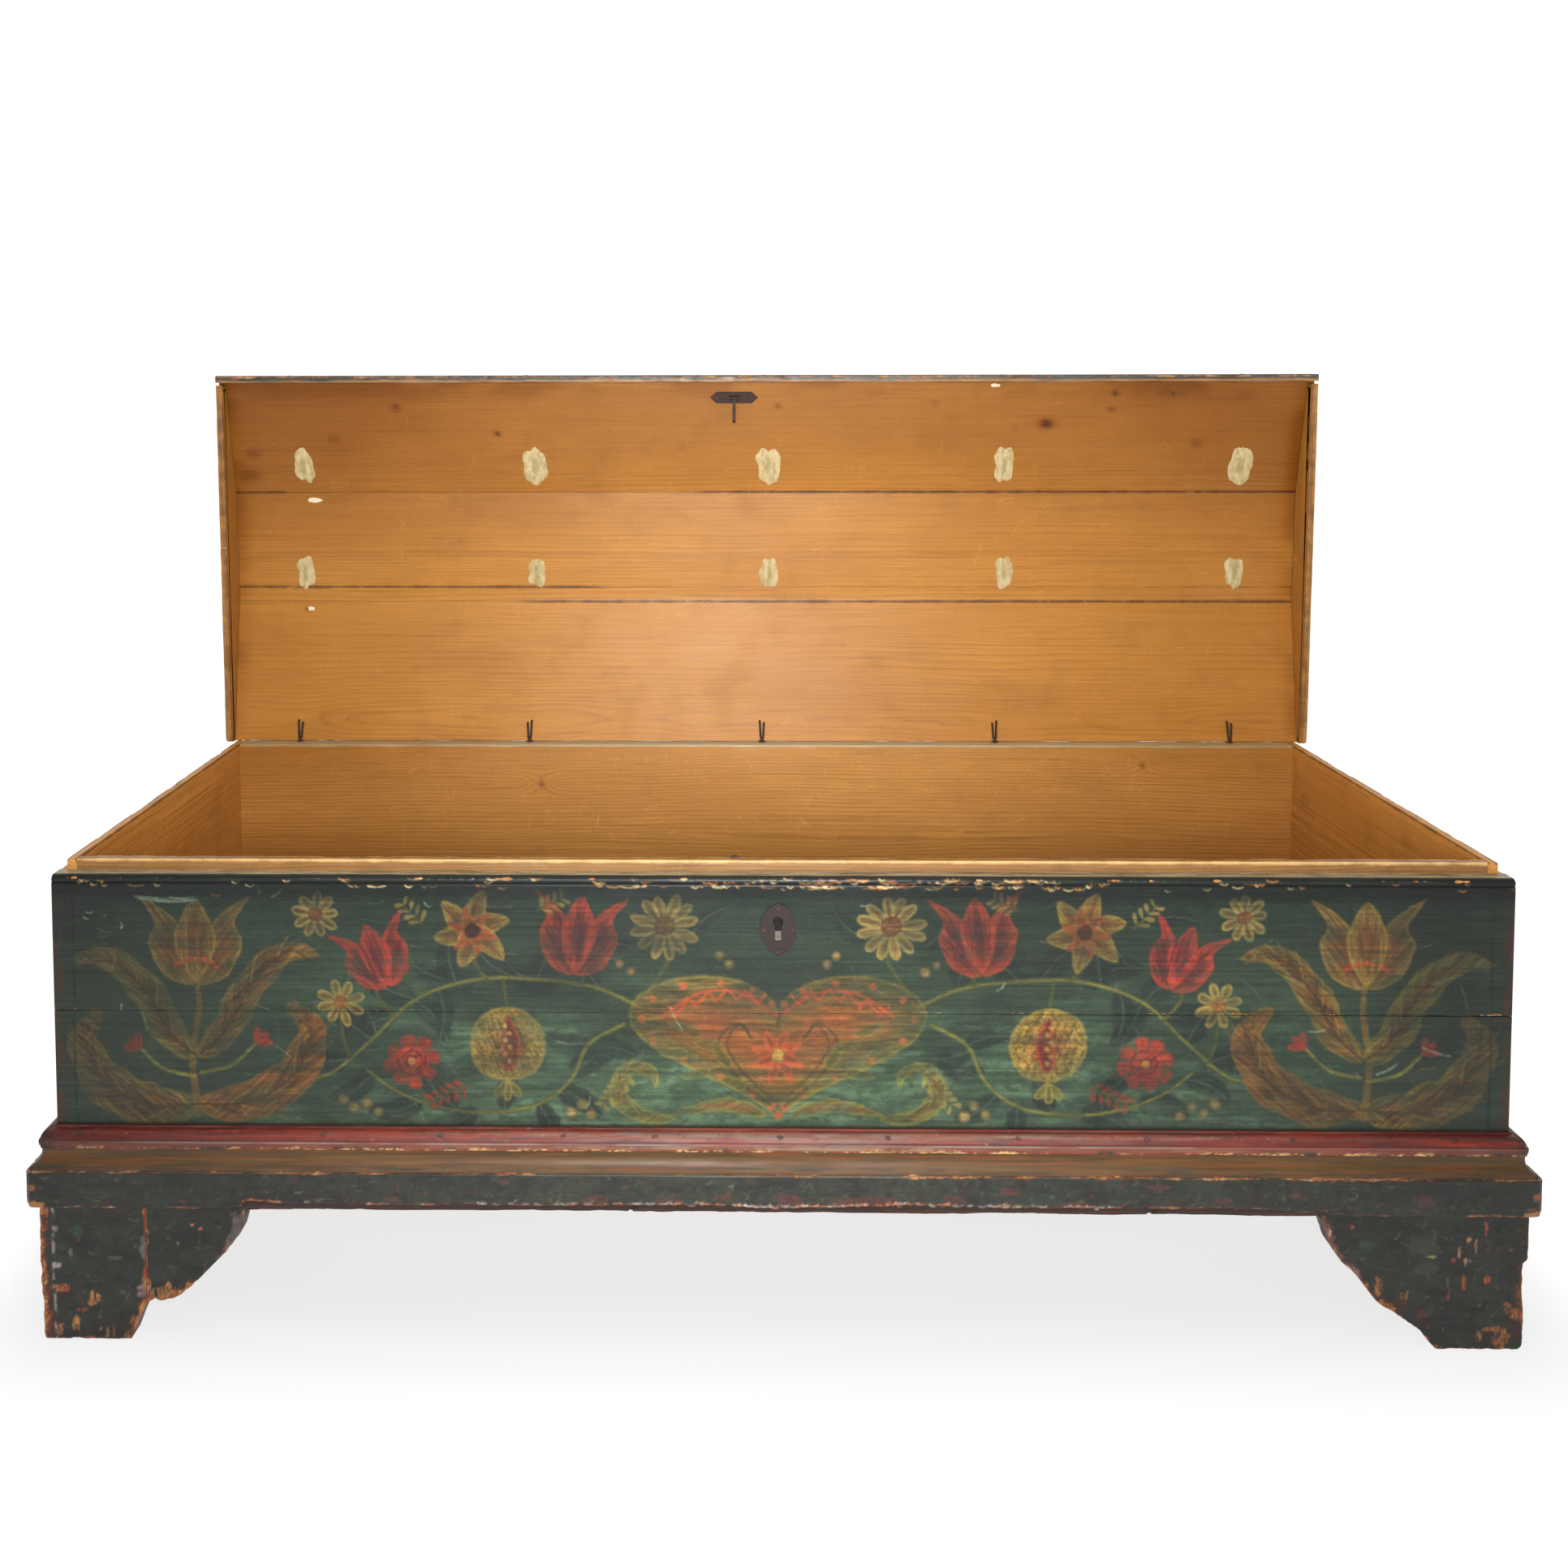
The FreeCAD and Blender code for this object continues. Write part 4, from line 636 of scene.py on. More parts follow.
def worn_paint(name, base, alt, under, bare, axis="x", seed=0.0, wear=1.0, flecks=((170, 160, 120), (150, 70, 60)),
               sheen=0.42, has_edge=True, arris=None, spec=0.45, bump=0.35, tint=None, chips=1.0, edge_w=2.0):
    m = Mat(name)
    col, rough, brush, mott, sh = paint_nodes(m, base, alt, axis, seed=seed, sheen=sheen)
    if tint is not None:
        col = tint(m, col, sh)
    # small flecks: pale crosswise dabs and rusty specks
    for q, (fc, sc, thr, amt) in enumerate(((flecks[0], (1 / 15.0, 1 / 9.0, 1 / 5.0), 0.115, 0.5),
                                            (flecks[1], (1 / 9.0, 1 / 9.0, 1 / 6.0), 0.10, 0.7))):
        v = m.voronoi(sc, shift=(q * 3.0 + seed, q * 1.3, 0.4), at=m.vec(
            "ADD", m.P, m.vec("MULTIPLY", m.noise((1 / 8.0,) * 3, 2.0, 0.6, kind="c", shift=sh), (9.0, 9.0, 9.0))))
        gate = m.rng(m.noise((1 / 60.0,) * 3, 3.0, 0.6, shift=(q * 5.0 + seed, 1.0, 6.0)), 0.44, 0.62)
        col = m.mix(m.math("MULTIPLY", m.rng(v, thr * 0.4, thr, amt, 0.0), gate), col, C(*fc))
    fine = m.noise((1 / 3.2, 1 / 3.2, 1 / 2.4), 3.0, 0.65, shift=sh)
    gritty = m.noise((1 / 11.0, 1 / 11.0, 1 / 7.0), 4.0, 0.7, shift=(seed + 2.0, 4.0, 9.0))
    if has_edge:
        edge = m.attr("edge")
        chipd = m.attr("chipd")
        # wear front: paint is lost where the noisy edge distance falls below zero
        n1 = m.math("MULTIPLY_ADD", gritty, -11.0 * chips, m.math("ADD", edge, 5.2 * chips))
        n1 = m.math("MULTIPLY_ADD", fine, -2.4, m.math("ADD", n1, 1.2))
        n1 = m.math("MULTIPLY_ADD", chipd, -3.4, n1)
        lost = m.rng(n1, -edge_w * wear, edge_w * 0.35 * wear, 1.0, 0.0)
        ring1 = m.rng(n1, -edge_w * wear, 2.2 * wear + 0.6, 1.0, 0.0)
        uc = m.mix(m.rng(fine, 0.35, 0.65), C(*under), C(*[c * 0.62 for c in under]))
        bc = m.mix(m.rng(m.noise(stretch(axis, 40, 1.3), 3.0, 0.6), 0.35, 0.7), C(*bare), C(*[c * 0.66 for c in bare]))
        bc = m.mix(m.rng(m.noise((1 / 34.0,) * 3, 3.0, 0.6, shift=(8.0, 2.0, seed)), 0.45, 0.62, 0.0, 0.85), bc,
                   C(*[c * 0.45 for c in under]))
        col = m.mix(m.math("MULTIPLY", ring1, 0.85), col, uc)
        col = m.mix(lost, col, bc)
        if arris is not None:
            thin = m.math("MULTIPLY", m.rng(edge, 0.0, 1.3, 1.0, 0.0), m.rng(gritty, 0.35, 0.6, 0.25, 0.95))
            col = m.mix(thin, col, C(*arris))
        rough = m.mixf(lost, rough, 0.72)
        h = m.math("ADD", m.math("MULTIPLY", brush, 0.6), m.math("MULTIPLY", lost, -1.1))
    else:
        h = m.math("MULTIPLY", brush, 0.6)
    nor = m.bump(h, bump, 0.0004)
    nor = m.bump(mott, 0.2, 0.0009, nor)
    return m.finish(col, rough, nor, spec)


# ------------------------------------------------------------------ painted front
class Canvas:
    """Ornament laid out over the front in mm and blended stroke by stroke."""

    def __init__(self, x0, x1, z0, z1, d):
        self.x = np.arange(int(round((x1 - x0) / d)) + 1) * d + x0
        self.z = np.arange(int(round((z1 - z0) / d)) + 1) * d + z0
        self.d, self.x0, self.z0 = d, x0, z0
        self.X, self.Z = np.meshgrid(self.x, self.z)
        self.col = np.zeros(self.X.shape + (3,))
        self.cover = np.zeros(self.X.shape)

    def window(self, xa, xb, za, zb):
        i0 = max(0, int((za - self.z0) / self.d) - 2)
        i1 = min(len(self.z), int((zb - self.z0) / self.d) + 4)
        j0 = max(0, int((xa - self.x0) / self.d) - 2)
        j1 = min(len(self.x), int((xb - self.x0) / self.d) + 4)
        return (slice(i0, i1), slice(j0, j1)) if i1 > i0 and j1 > j0 else None

    def blend(self, w, mask, colour):
        c = np.asarray(colour, float)
        if c.ndim == 1:
            c = c[None, None, :]
        self.col[w] = self.col[w] * (1 - mask[..., None]) + c * mask[..., None]
        self.cover[w] = np.maximum(self.cover[w], mask)


def smooth_path(pts, n=10, closed=True):
    P = np.asarray(pts, float)
    m = len(P)
    out = []
    rngs = range(m) if closed else range(m - 1)
    for i in rngs:
        if closed:
            a, b, c, d = P[i - 1], P[i], P[(i + 1) % m], P[(i + 2) % m]
        else:
            a, b, c, d = P[max(i - 1, 0)], P[i], P[i + 1], P[min(i + 2, m - 1)]
        for k in range(n):
            t = k / n
            out.append(0.5 * ((2 * b) + (-a + c) * t + (2 * a - 5 * b + 4 * c - d) * t * t
                              + (-a + 3 * b - 3 * c + d) * t ** 3))
    if not closed:
        out.append(P[-1])
    return np.array(out)


def sdf_poly(X, Z, P):
    """Signed distance to a closed polygon, negative inside."""
    best = np.full(X.shape, 1e9)
    inside = np.zeros(X.shape, bool)
    n = len(P)
    for i in range(n):
        ax, az = P[i]
        bx, bz = P[(i + 1) % n]
        ex, ez = bx - ax, bz - az
        wx, wz = X - ax, Z - az
        L = ex * ex + ez * ez
        t = np.clip((wx * ex + wz * ez) / max(L, 1e-9), 0, 1)
        dx, dz = wx - ex * t, wz - ez * t
        best = np.minimum(best, dx * dx + dz * dz)
        cross = ((az > Z) != (bz > Z))
        if abs(ez) > 1e-12:
            inside ^= cross & (X < ax + (Z - az) * ex / ez)
    d = np.sqrt(best)
    return np.where(inside, -d, d)


def paint_shape(cv, path, base, rim=None, core=None, alpha=0.9, angle=0.0, soft=1.3, rim_w=3.0, seed=0, fade=0.35,
                streak=0.5, stipple=0.0):
    P = np.asarray(path, float)
    w = cv.window(P[:, 0].min() - 4, P[:, 0].max() + 4, P[:, 1].min() - 4, P[:, 1].max() + 4)
    if w is None:
        return
    X, Z = cv.X[w], cv.Z[w]
    X = X + (fbm(X / 9.0, Z / 9.0, seed, 2, seed + 50) - 0.5) * 2.2
    Z = Z + (fbm(X / 9.0, Z / 9.0, seed + 4.4, 2, seed + 60) - 0.5) * 2.2
    sd = sdf_poly(X, Z, P)
    mask = sstep(soft, -soft, sd)
    c, s = math.cos(angle), math.sin(angle)
    along, across = X * c + Z * s, -X * s + Z * c
    st = fbm(along / 26.0, across / 1.9, seed * 1.3, 3, seed + 11)
    gr = fbm(X / 3.0, Z / 2.2, seed * 0.7, 3, seed + 21, 0.7)
    col = np.ones(X.shape + (3,)) * np.asarray(base, float) / 255.0
    if core is not None:
        depth = max(4.0, -sd.min() * 0.85)
        k = sstep(-depth * 0.25, -depth, sd)[..., None]
        col = col * (1 - k) + np.asarray(core, float) / 255.0 * k
    col = col * (1 + streak * (st - 0.5)[..., None] * 1.5)
    if stipple:
        k = (sstep(0.5, 0.62, gr) * stipple)[..., None]
        col = col * (1 - k) + np.clip(col * 1.45 + 0.03, 0, 1) * k
        k = (sstep(0.47, 0.36, gr) * stipple)[..., None]
        col = col * (1 - 0.45 * k)
    if rim is not None:
        k = (np.exp(-((sd + rim_w * 0.5) / (rim_w * 0.55)) ** 2) * (0.45 + 0.75 * st))[..., None]
        k = np.clip(k, 0, 1)
        col = col * (1 - k) + np.asarray(rim, float) / 255.0 * k
    wear = fbm(X / 34.0, Z / 13.0, seed + 8.0, 4, seed + 31)
    thin = 1 - fade * sstep(0.42, 0.72, wear) - 0.5 * fade * sstep(0.5, 0.7, gr)
    cv.blend(w, mask * np.clip(thin, 0, 1) * alpha, np.clip(col, 0, 1))


def paint_stroke(cv, pts, w0, w1, base, alpha=0.9, seed=0, soft=1.1, fade=0.3, n=10):
    P = smooth_path(pts, n, closed=False)
    m = len(P)
    W = np.linspace(w0, w1, m) / 2.0
    pad = max(w0, w1) + 3
    w = cv.window(P[:, 0].min() - pad, P[:, 0].max() + pad, P[:, 1].min() - pad, P[:, 1].max() + pad)
    if w is None:
        return
    X, Z = cv.X[w], cv.Z[w]
    best = np.full(X.shape, 1e9)
    for i in range(m - 1):
        ax, az = P[i]
        bx, bz = P[i + 1]
        ex, ez = bx - ax, bz - az
        L = max(ex * ex + ez * ez, 1e-9)
        t = np.clip(((X - ax) * ex + (Z - az) * ez) / L, 0, 1)
        d = np.hypot(X - ax - ex * t, Z - az - ez * t) - (W[i] + (W[i + 1] - W[i]) * t)
        best = np.minimum(best, d)
    gr = fbm(X / 4.0, Z / 3.0, seed * 0.7, 3, seed + 21, 0.7)
    best = best + (gr - 0.5) * 1.2
    mask = sstep(soft, -soft * 0.4, best) * alpha * (1 - fade * sstep(0.48, 0.7, gr))
    col = np.asarray(base, float) / 255.0 * (0.82 + 0.36 * fbm(X / 14.0, Z / 3.0, seed, 3, seed + 5))[..., None]
    cv.blend(w, mask, np.clip(col, 0, 1))


def circle(cx, cz, r, rz=None, n=22, wob=0.05, seed=0, rot=0.0):
    t = np.arange(n) / n * 2 * np.pi
    rr = 1 + wob * (vn(np.cos(t) * 1.3 + 5, np.sin(t) * 1.3 + 5, seed * 1.7, seed) - 0.5) * 4
    a, b = r * rr * np.cos(t), (rz or r) * rr * np.sin(t)
    c, s = math.cos(rot), math.sin(rot)
    return np.stack([cx + a * c - b * s, cz + a * s + b * c], 1)


def leaf(spine, width, seed=0, serr=0.0, n=16, power=0.8, skew=0.0):
    """Outline of a leaf round a curved spine."""
    S = smooth_path(spine, n, closed=False)
    m = len(S)
    t = np.linspace(0, 1, m)
    tang = np.gradient(S, axis=0)
    tang /= np.maximum(np.linalg.norm(tang, axis=1, keepdims=True), 1e-9)
    nrm = np.stack([-tang[:, 1], tang[:, 0]], 1)
    prof = np.sin(np.pi * np.clip(t, 0, 1) ** (0.75 + skew)) ** power
    teeth = 1 + serr * np.sin(t * np.pi * 9 + seed) * (t > 0.08)
    wl = width / 2 * prof * teeth * (1 + 0.12 * (vn(t * 4, 0.3, seed, seed) - 0.5))
    wr = width / 2 * prof * (1 + serr * np.sin(t * np.pi * 9 + 1.3 + seed)) * (1 + 0.12 * (vn(t * 4, 1.3, seed, seed + 3) - 0.5))
    return np.concatenate([S + nrm * wl[:, None], (S - nrm * wr[:, None])[::-1]])


def drop(cx, cz, length, width, ang, seed=0, n=20):
    """Teardrop whose pointed end is at (cx, cz) and whose round end lies along ang."""
    t = np.arange(n) / n * 2 * np.pi
    a = (1 - np.cos(t)) / 2 * length
    b = np.sin(t) * np.sin(np.pi * np.clip((1 - np.cos(t)) / 2, 0, 1) ** 1.35) ** 0.5 * width / 2
    b = np.sin(t) * (((1 - np.cos(t)) / 2) ** 0.55) * width / 2
    c, s = math.cos(ang), math.sin(ang)
    return np.stack([cx + a * c - b * s, cz + a * s + b * c], 1)


def heart(cx, cz, w, h, n=56, rot=0.0):
    t = np.arange(n) / n * 2 * np.pi
    a = 16 * np.sin(t) ** 3 / 32.0 * w
    b = (13 * np.cos(t) - 5 * np.cos(2 * t) - 2 * np.cos(3 * t) - np.cos(4 * t) + 2.5) / 29.0 * h
    c, s = math.cos(rot), math.sin(rot)
    return np.stack([cx + a * c - b * s, cz + a * s + b * c], 1)


OCHRE, OLIVE, RUST = (112, 84, 42), (104, 96, 46), (130, 76, 38)
GOLD, STRAW, CREAM = (160, 120, 54), (176, 146, 76), (188, 162, 104)
RED, ROSE, MAROON = (184, 56, 40), (150, 48, 42), (92, 30, 32)
LEAFDK, LEAFMD, SHADE = (30, 38, 38), (42, 54, 48), (52, 36, 26)


def ground(cv):
    X, Z = cv.X, cv.Z
    base = np.zeros(X.shape + (3,)) + np.array([36, 46, 41]) / 255.0
    up = np.array([22, 44, 38]) / 255.0
    sage = np.array([84, 106, 88]) / 255.0
    moss = np.array([50, 68, 54]) / 255.0
    dusk = np.array([30, 34, 33]) / 255.0
    n1 = fbm(X / 150.0, Z / 42.0, 1.0, 4, 3)
    n2 = fbm(X / 34.0, Z / 8.0, 2.0, 4, 4, 0.62)
    n3 = fbm(X / 9.0, Z / 4.0, 3.0, 4, 5, 0.65)
    n4 = fbm(X / 110.0, Z / 1.9, 4.0, 3, 6)
    low = sstep(470, 255, Z)
    mid = sstep(745, 330, np.abs(X - 30)) * 0.92 + 0.08

    def lay(c, k):
        k = np.clip(k, 0, 1)[..., None]
        return cur * (1 - k) + c * k
    cur = base
    cur = lay(moss, 0.8 * sstep(0.34, 0.62, n1) * (0.3 + 0.7 * low))
    cur = lay(up, sstep(450, 505, Z) * (0.45 + 0.5 * sstep(0.4, 0.6, n1)))
    cur = lay(sage, mid * low * (0.16 + 0.95 * sstep(0.38, 0.66, n2)) * (0.5 + 0.8 * sstep(0.36, 0.62, n1)) * 0.78)
    cur = lay(sage * 1.05, mid * sstep(305, 250, Z) * 0.5 * (0.3 + n2))
    cur = lay(moss * 1.1, sstep(0.44, 0.66, n3) * 0.35)
    cur = lay(dusk, sstep(0.55, 0.74, n3) * 0.35)
    side = sstep(540, 780, np.abs(X))
    cur = lay(dusk, side * 0.7 * sstep(0.32, 0.58, fbm(X / 60.0, Z / 60.0, 9.0, 3, 12)))
    cur = lay(np.array([46, 66, 52]) / 255.0, side * sstep(330, 260, Z) * 0.5 * (0.3 + n1))
    cur = cur * (1 + 0.26 * (n4 - 0.5)[..., None]) * (0.93 + 0.14 * fbm(X / 2.2, Z / 2.2, 8.0, 2, 14))[..., None]
    cv.col[:] = np.clip(cur, 0, 1)


def flower_petals(cv, cx, cz, r, n, wid, base, rim, core, seed, tip=0.0, rot=0.0, alpha=0.9, start=0.0):
    for k in range(n):
        a = rot + k / n * 2 * np.pi + (vn(k * 1.7, 0, 0, seed) - 0.5) * 0.16
        L = r * (0.92 + 0.16 * vn(k * 2.3, 1.0, 0, seed))
        ox, oz = cx + start * math.cos(a), cz + start * math.sin(a)
        if tip > 0:
            sp = [(ox, oz), (ox + 0.5 * L * math.cos(a + 0.1), oz + 0.5 * L * math.sin(a + 0.1)),
                  (ox + L * math.cos(a), oz + L * math.sin(a))]
            path = leaf(sp, wid, seed + k, 0.0, 10, 0.7, -0.15)
        else:
            path = drop(ox, oz, L, wid, a, seed + k)
        paint_shape(cv, path, base, rim, core, alpha, a, 1.2, 2.6, seed + k, 0.34, 0.6, 0.25)


def tulip(cv, cx, cz, w, h, base, rim, core, seed, rot=0.0, alpha=0.9):
    def tr(pts):
        c, s = math.cos(rot), math.sin(rot)
        return [(cx + a * c - b * s, cz + a * s + b * c) for a, b in pts]
    left = tr([(0, -h * .5), (-w * .28, -h * .42), (-w * .42, -h * .05), (-w * .36, h * .2), (-w * .5, h * .5),
               (-w * .2, h * .26), (-w * .08, -h * .02)])
    right = tr([(0, -h * .5), (w * .28, -h * .42), (w * .42, -h * .05), (w * .36, h * .2), (w * .5, h * .5),
                (w * .2, h * .26), (w * .08, -h * .02)])
    mid_ = tr([(0, -h * .48), (-w * .16, -h * .16), (-w * .17, h * .12), (0, h * .47), (w * .17, h * .12), (w * .16, -h * .16)])
    for i, pth in enumerate((left, right)):
        paint_shape(cv, smooth_path(pth, 7), base, rim, core, alpha, rot + (0.9 if i else 2.2), 1.3, 3.0, seed + i, 0.36, 0.7, 0.2)
    paint_shape(cv, smooth_path(mid_, 7), np.array(base) * 1.08, rim, core, alpha, rot + 1.57, 1.3, 3.0, seed + 2, 0.3, 0.7, 0.2)
    for q in range(9):
        t = (vn(q * 2.7, 0.5, 0, seed + 9) - 0.5) * 0.62
        p = tr([(t * w, -h * (0.36 - 0.3 * abs(t))), (t * w * 1.15, 0), (t * w * 1.3, h * (0.16 + 0.3 * abs(t)))])
        paint_stroke(cv, p, 1.6, 0.8, np.array(core if core is not None else base) * (0.62 if q % 2 else 0.8), 0.5, seed + 20 + q, 0.9, 0.5, 5)


def dark_leaf(cv, x, z, L, wd, ang, seed, col=LEAFDK, alpha=0.86):
    L, wd = L * 1.12, wd * 1.12
    a, b = math.cos(ang), math.sin(ang)
    sp = [(x, z), (x + 0.5 * L * a - 0.10 * L * b, z + 0.5 * L * b + 0.10 * L * a), (x + L * a, z + L * b)]
    paint_shape(cv, leaf(sp, wd, seed, 0.05, 9, 0.75), col, None, None, alpha, ang, 2.0, 3.0, seed, 0.45, 0.4)
    paint_stroke(cv, sp, 1.6, 0.9, (84, 100, 80), 0.5, seed + 3, 0.9, 0.5, 5)


def hatch(cv, spine, width, n, cols, seed, alpha=0.55, ang=0.5):
    """Short slanted strokes either side of a curved spine."""
    S = smooth_path(spine, 14, closed=False)
    m = len(S)
    for k in range(n):
        t = 0.06 + 0.86 * (k + 0.5 * vn(k * 1.9, 0, 0, seed)) / n
        i = min(m - 2, int(t * (m - 1)))
        dx, dz = S[i + 1] - S[i]
        L = math.hypot(dx, dz)
        dx, dz = dx / max(L, 1e-6), dz / max(L, 1e-6)
        half = width / 2 * math.sin(math.pi * min(1.0, t) ** 0.75) ** 0.7
        for sg in (-1, 1):
            r = 0.55 + 0.4 * vn(k * 3.1, sg + 2.0, 0, seed + 4)
            c, s = math.cos(ang * sg), math.sin(ang * sg)
            ex, ez = dx * c - dz * s, dx * s + dz * c
            reach = half * r / max(0.25, abs(math.sin(ang)))
            o = 0.12 * half
            px, pz = S[i] + np.array([-dz, dx]) * sg * o
            c_ = cols[(k + (sg > 0)) % len(cols)]
            paint_stroke(cv, [(px, pz), (px + ex * reach * 0.55, pz + ez * reach * 0.55),
                              (px + ex * reach * 0.92 + dx * reach * 0.12, pz + ez * reach * 0.92 + dz * reach * 0.12)],
                         1.7, 0.8, c_, alpha * (0.6 + 0.5 * vn(k, sg, 0, seed)), seed + k, 0.9, 0.45, 4)


def rose(cv, cx, cz, r, base, rim, dark, seed):
    flower_petals(cv, cx, cz, r * 0.62, 8, r * 0.72, base, rim, None, seed, 0.0, 0.2, 0.88, r * 0.36)
    paint_shape(cv, circle(cx, cz, r * 0.62, seed=seed), base, rim, None, 0.9, 0.7, 1.4, 2.2, seed + 20, 0.3, 0.6, 0.3)
    for k, f in enumerate((0.5, 0.36, 0.2)):
        a0 = k * 2.1 + seed
        arc = [(cx + r * f * math.cos(a0 + t), cz + r * f * math.sin(a0 + t)) for t in (0.0, 0.9, 1.8, 2.7, 3.6)]
        paint_stroke(cv, arc, 2.4, 1.4, dark, 0.75, seed + 30 + k, 1.0, 0.25, 5)
    paint_shape(cv, circle(cx, cz, r * 0.13, seed=seed + 1), STRAW, None, None, 0.7, 0, 1.2, 1.5, seed + 40, 0.3, 0.3)


def berries(cv, pts, r, base, rim, seed):
    for q, (px, pz) in enumerate(pts):
        paint_shape(cv, circle(px, pz, r * (0.9 + 0.25 * vn(q, 0, 0, seed)), seed=q + seed), base, rim, None, 0.85, 0.6, 1.1, 2.0,
                    seed + q, 0.3, 0.4, 0.35)


def ornament(cv):
    for side in (-1, 1):
        sd = 100 if side < 0 else 400
        dim_ = 0.86 if side < 0 else 1.0

        def X(v):
            return side * v + (1.5 if side > 0 else -2.0)

        def M(pts):
            return [(X(a), b) for a, b in pts]

        def A(a):
            return a if side > 0 else math.pi - a

        def tone(c, k=1.0):
            return tuple(np.clip(np.array(c) * dim_ * k, 0, 255))
        # ---- two vine arcs that leave the heart and close round the fruit
        upper_v = [(150, 372), (200, 394), (262, 402), (330, 402), (396, 380), (446, 334), (492, 296), (540, 286)]
        lower_v = [(168, 352), (206, 330), (226, 290), (262, 262), (318, 252), (372, 258), (420, 276), (452, 300)]
        # ---- shadowy foliage behind the flowers
        for i, (x, z, L, wd, a) in enumerate((
                (196, 396, 56, 25, 1.15), (236, 402, 62, 27, 0.25), (262, 404, 60, 27, 2.2), (286, 404, 58, 26, 0.7),
                (330, 400, 64, 28, 0.25), (352, 398, 54, 25, 1.5), (398, 380, 66, 28, 0.55), (420, 362, 58, 25, -0.1),
                (446, 334, 56, 25, 0.85), (470, 312, 58, 24, 0.1), (396, 378, 52, 24, -2.2), (372, 392, 50, 22, -1.6),
                (226, 296, 54, 25, 2.7), (212, 326, 54, 24, 3.3), (240, 276, 50, 22, 3.7), (262, 262, 46, 20, 4.4),
                (330, 254, 52, 22, -0.3), (352, 256, 54, 23, 0.9), (392, 264, 54, 24, -0.15), (300, 256, 46, 20, 1.9),
                (446, 294, 50, 22, -0.5), (206, 330, 46, 21, 0.2), (160, 440, 50, 22, 0.5), (96, 448, 46, 20, 2.4),
                (92, 486, 48, 20, 0.1), (404, 470, 46, 21, 0.0), (290, 484, 46, 20, 0.2), (498, 298, 50, 21, 1.1))):
            dark_leaf(cv, X(x), z, L, wd, A(a), sd + i)
        paint_stroke(cv, M(upper_v), 6.0, 3.4, tone((78, 80, 44)), 0.85, sd + 31)
        paint_stroke(cv, M(upper_v), 2.2, 1.3, tone(OLIVE, 1.35), 0.65, sd + 32)
        paint_stroke(cv, M(lower_v), 5.4, 3.0, tone((78, 80, 44)), 0.85, sd + 33)
        paint_stroke(cv, M(lower_v), 2.0, 1.2, tone(OLIVE, 1.35), 0.65, sd + 34)
        for i, pts in enumerate(([(214, 398), (210, 414), (214, 424)], [(318, 403), (330, 418), (330, 430)],
                                 [(420, 360), (438, 380), (440, 400)], [(120, 420), (118, 432), (122, 440)],
                                 [(300, 402), (298, 386), (296, 374)], [(150, 372), (132, 402), (120, 420)],
                                 [(380, 260), (392, 276), (398, 288)], [(470, 312), (478, 338), (480, 360)])):
            paint_stroke(cv, M(pts), 3.8, 2.8, tone((80, 80, 44)), 0.85, sd + 35 + i)
        # ---- plant near the end of the front, rising from two curling leaves
        cx = 640
        paint_stroke(cv, M([(cx, 250), (cx + 5, 310), (cx - 3, 370), (cx, 410)]), 8, 5, tone(OCHRE), 0.85, sd + 50)
        leaves = (([(cx, 260), (cx + 50, 258), (cx + 102, 282), (cx + 126, 332), (cx + 104, 366)], 50, OCHRE),
                  ([(cx, 260), (cx - 52, 262), (cx - 106, 292), (cx - 128, 344), (cx - 100, 374)], 48, RUST),
                  ([(cx, 314), (cx + 30, 340), (cx + 56, 388), (cx + 98, 424), (cx + 138, 422)], 38, OLIVE),
                  ([(cx, 314), (cx - 32, 344), (cx - 60, 394), (cx - 100, 432), (cx - 138, 428)], 36, OCHRE))
        for i, (pts, wd, c) in enumerate(leaves):
            path = leaf(M(pts), wd, sd + i * 3, 0.08, 12, 0.7)
            paint_shape(cv, path, tone(c), tone(GOLD, 0.85), tone(RUST, 0.72), 0.86, A(0.7 if i % 2 == 0 else 2.4), 1.6, 2.4,
                        sd + 60 + i, 0.42, 0.9, 0.15)
            hatch(cv, M(pts), wd, 15, [tone(GOLD), tone(SHADE), tone(RUST, 1.1)], sd + 70 + i * 5, 0.6)
            paint_stroke(cv, M(pts[:-1]), 2.4, 1.2, tone((58, 42, 28)), 0.6, sd + 64 + i)
        for i, (pts, ang) in enumerate((([(cx + 4, 292), (cx + 38, 300), (cx + 62, 322)], 0.75),
                                        ([(cx - 4, 296), (cx - 38, 304), (cx - 64, 328)], math.pi - 0.75))):
            paint_stroke(cv, M(pts), 3.6, 2.6, tone(OLIVE, 1.35), 0.85, sd + 100 + i)
            ex, ez = pts[-1]
            for q, da in enumerate((-0.6, 0.0, 0.6)):
                paint_shape(cv, drop(X(ex), ez, 20, 11, A(ang + da), sd + q), tone(ROSE), tone(RED), None, 0.85, A(ang + da),
                            1.2, 2.0, sd + 104 + q, 0.35, 0.6, 0.2)
        tulip(cv, X(cx), 446, 124, 98, tone(OCHRE, 1.05), tone(GOLD), tone(RUST, 0.9), sd + 110)
        berries(cv, M([(cx + 24 * math.cos(math.pi * (0.1 + 0.8 * q / 6)), 412 + 12 * math.sin(math.pi * (0.1 + 0.8 * q / 6)))
                       for q in range(7)]), 2.6, tone(RED), None, sd + 135)
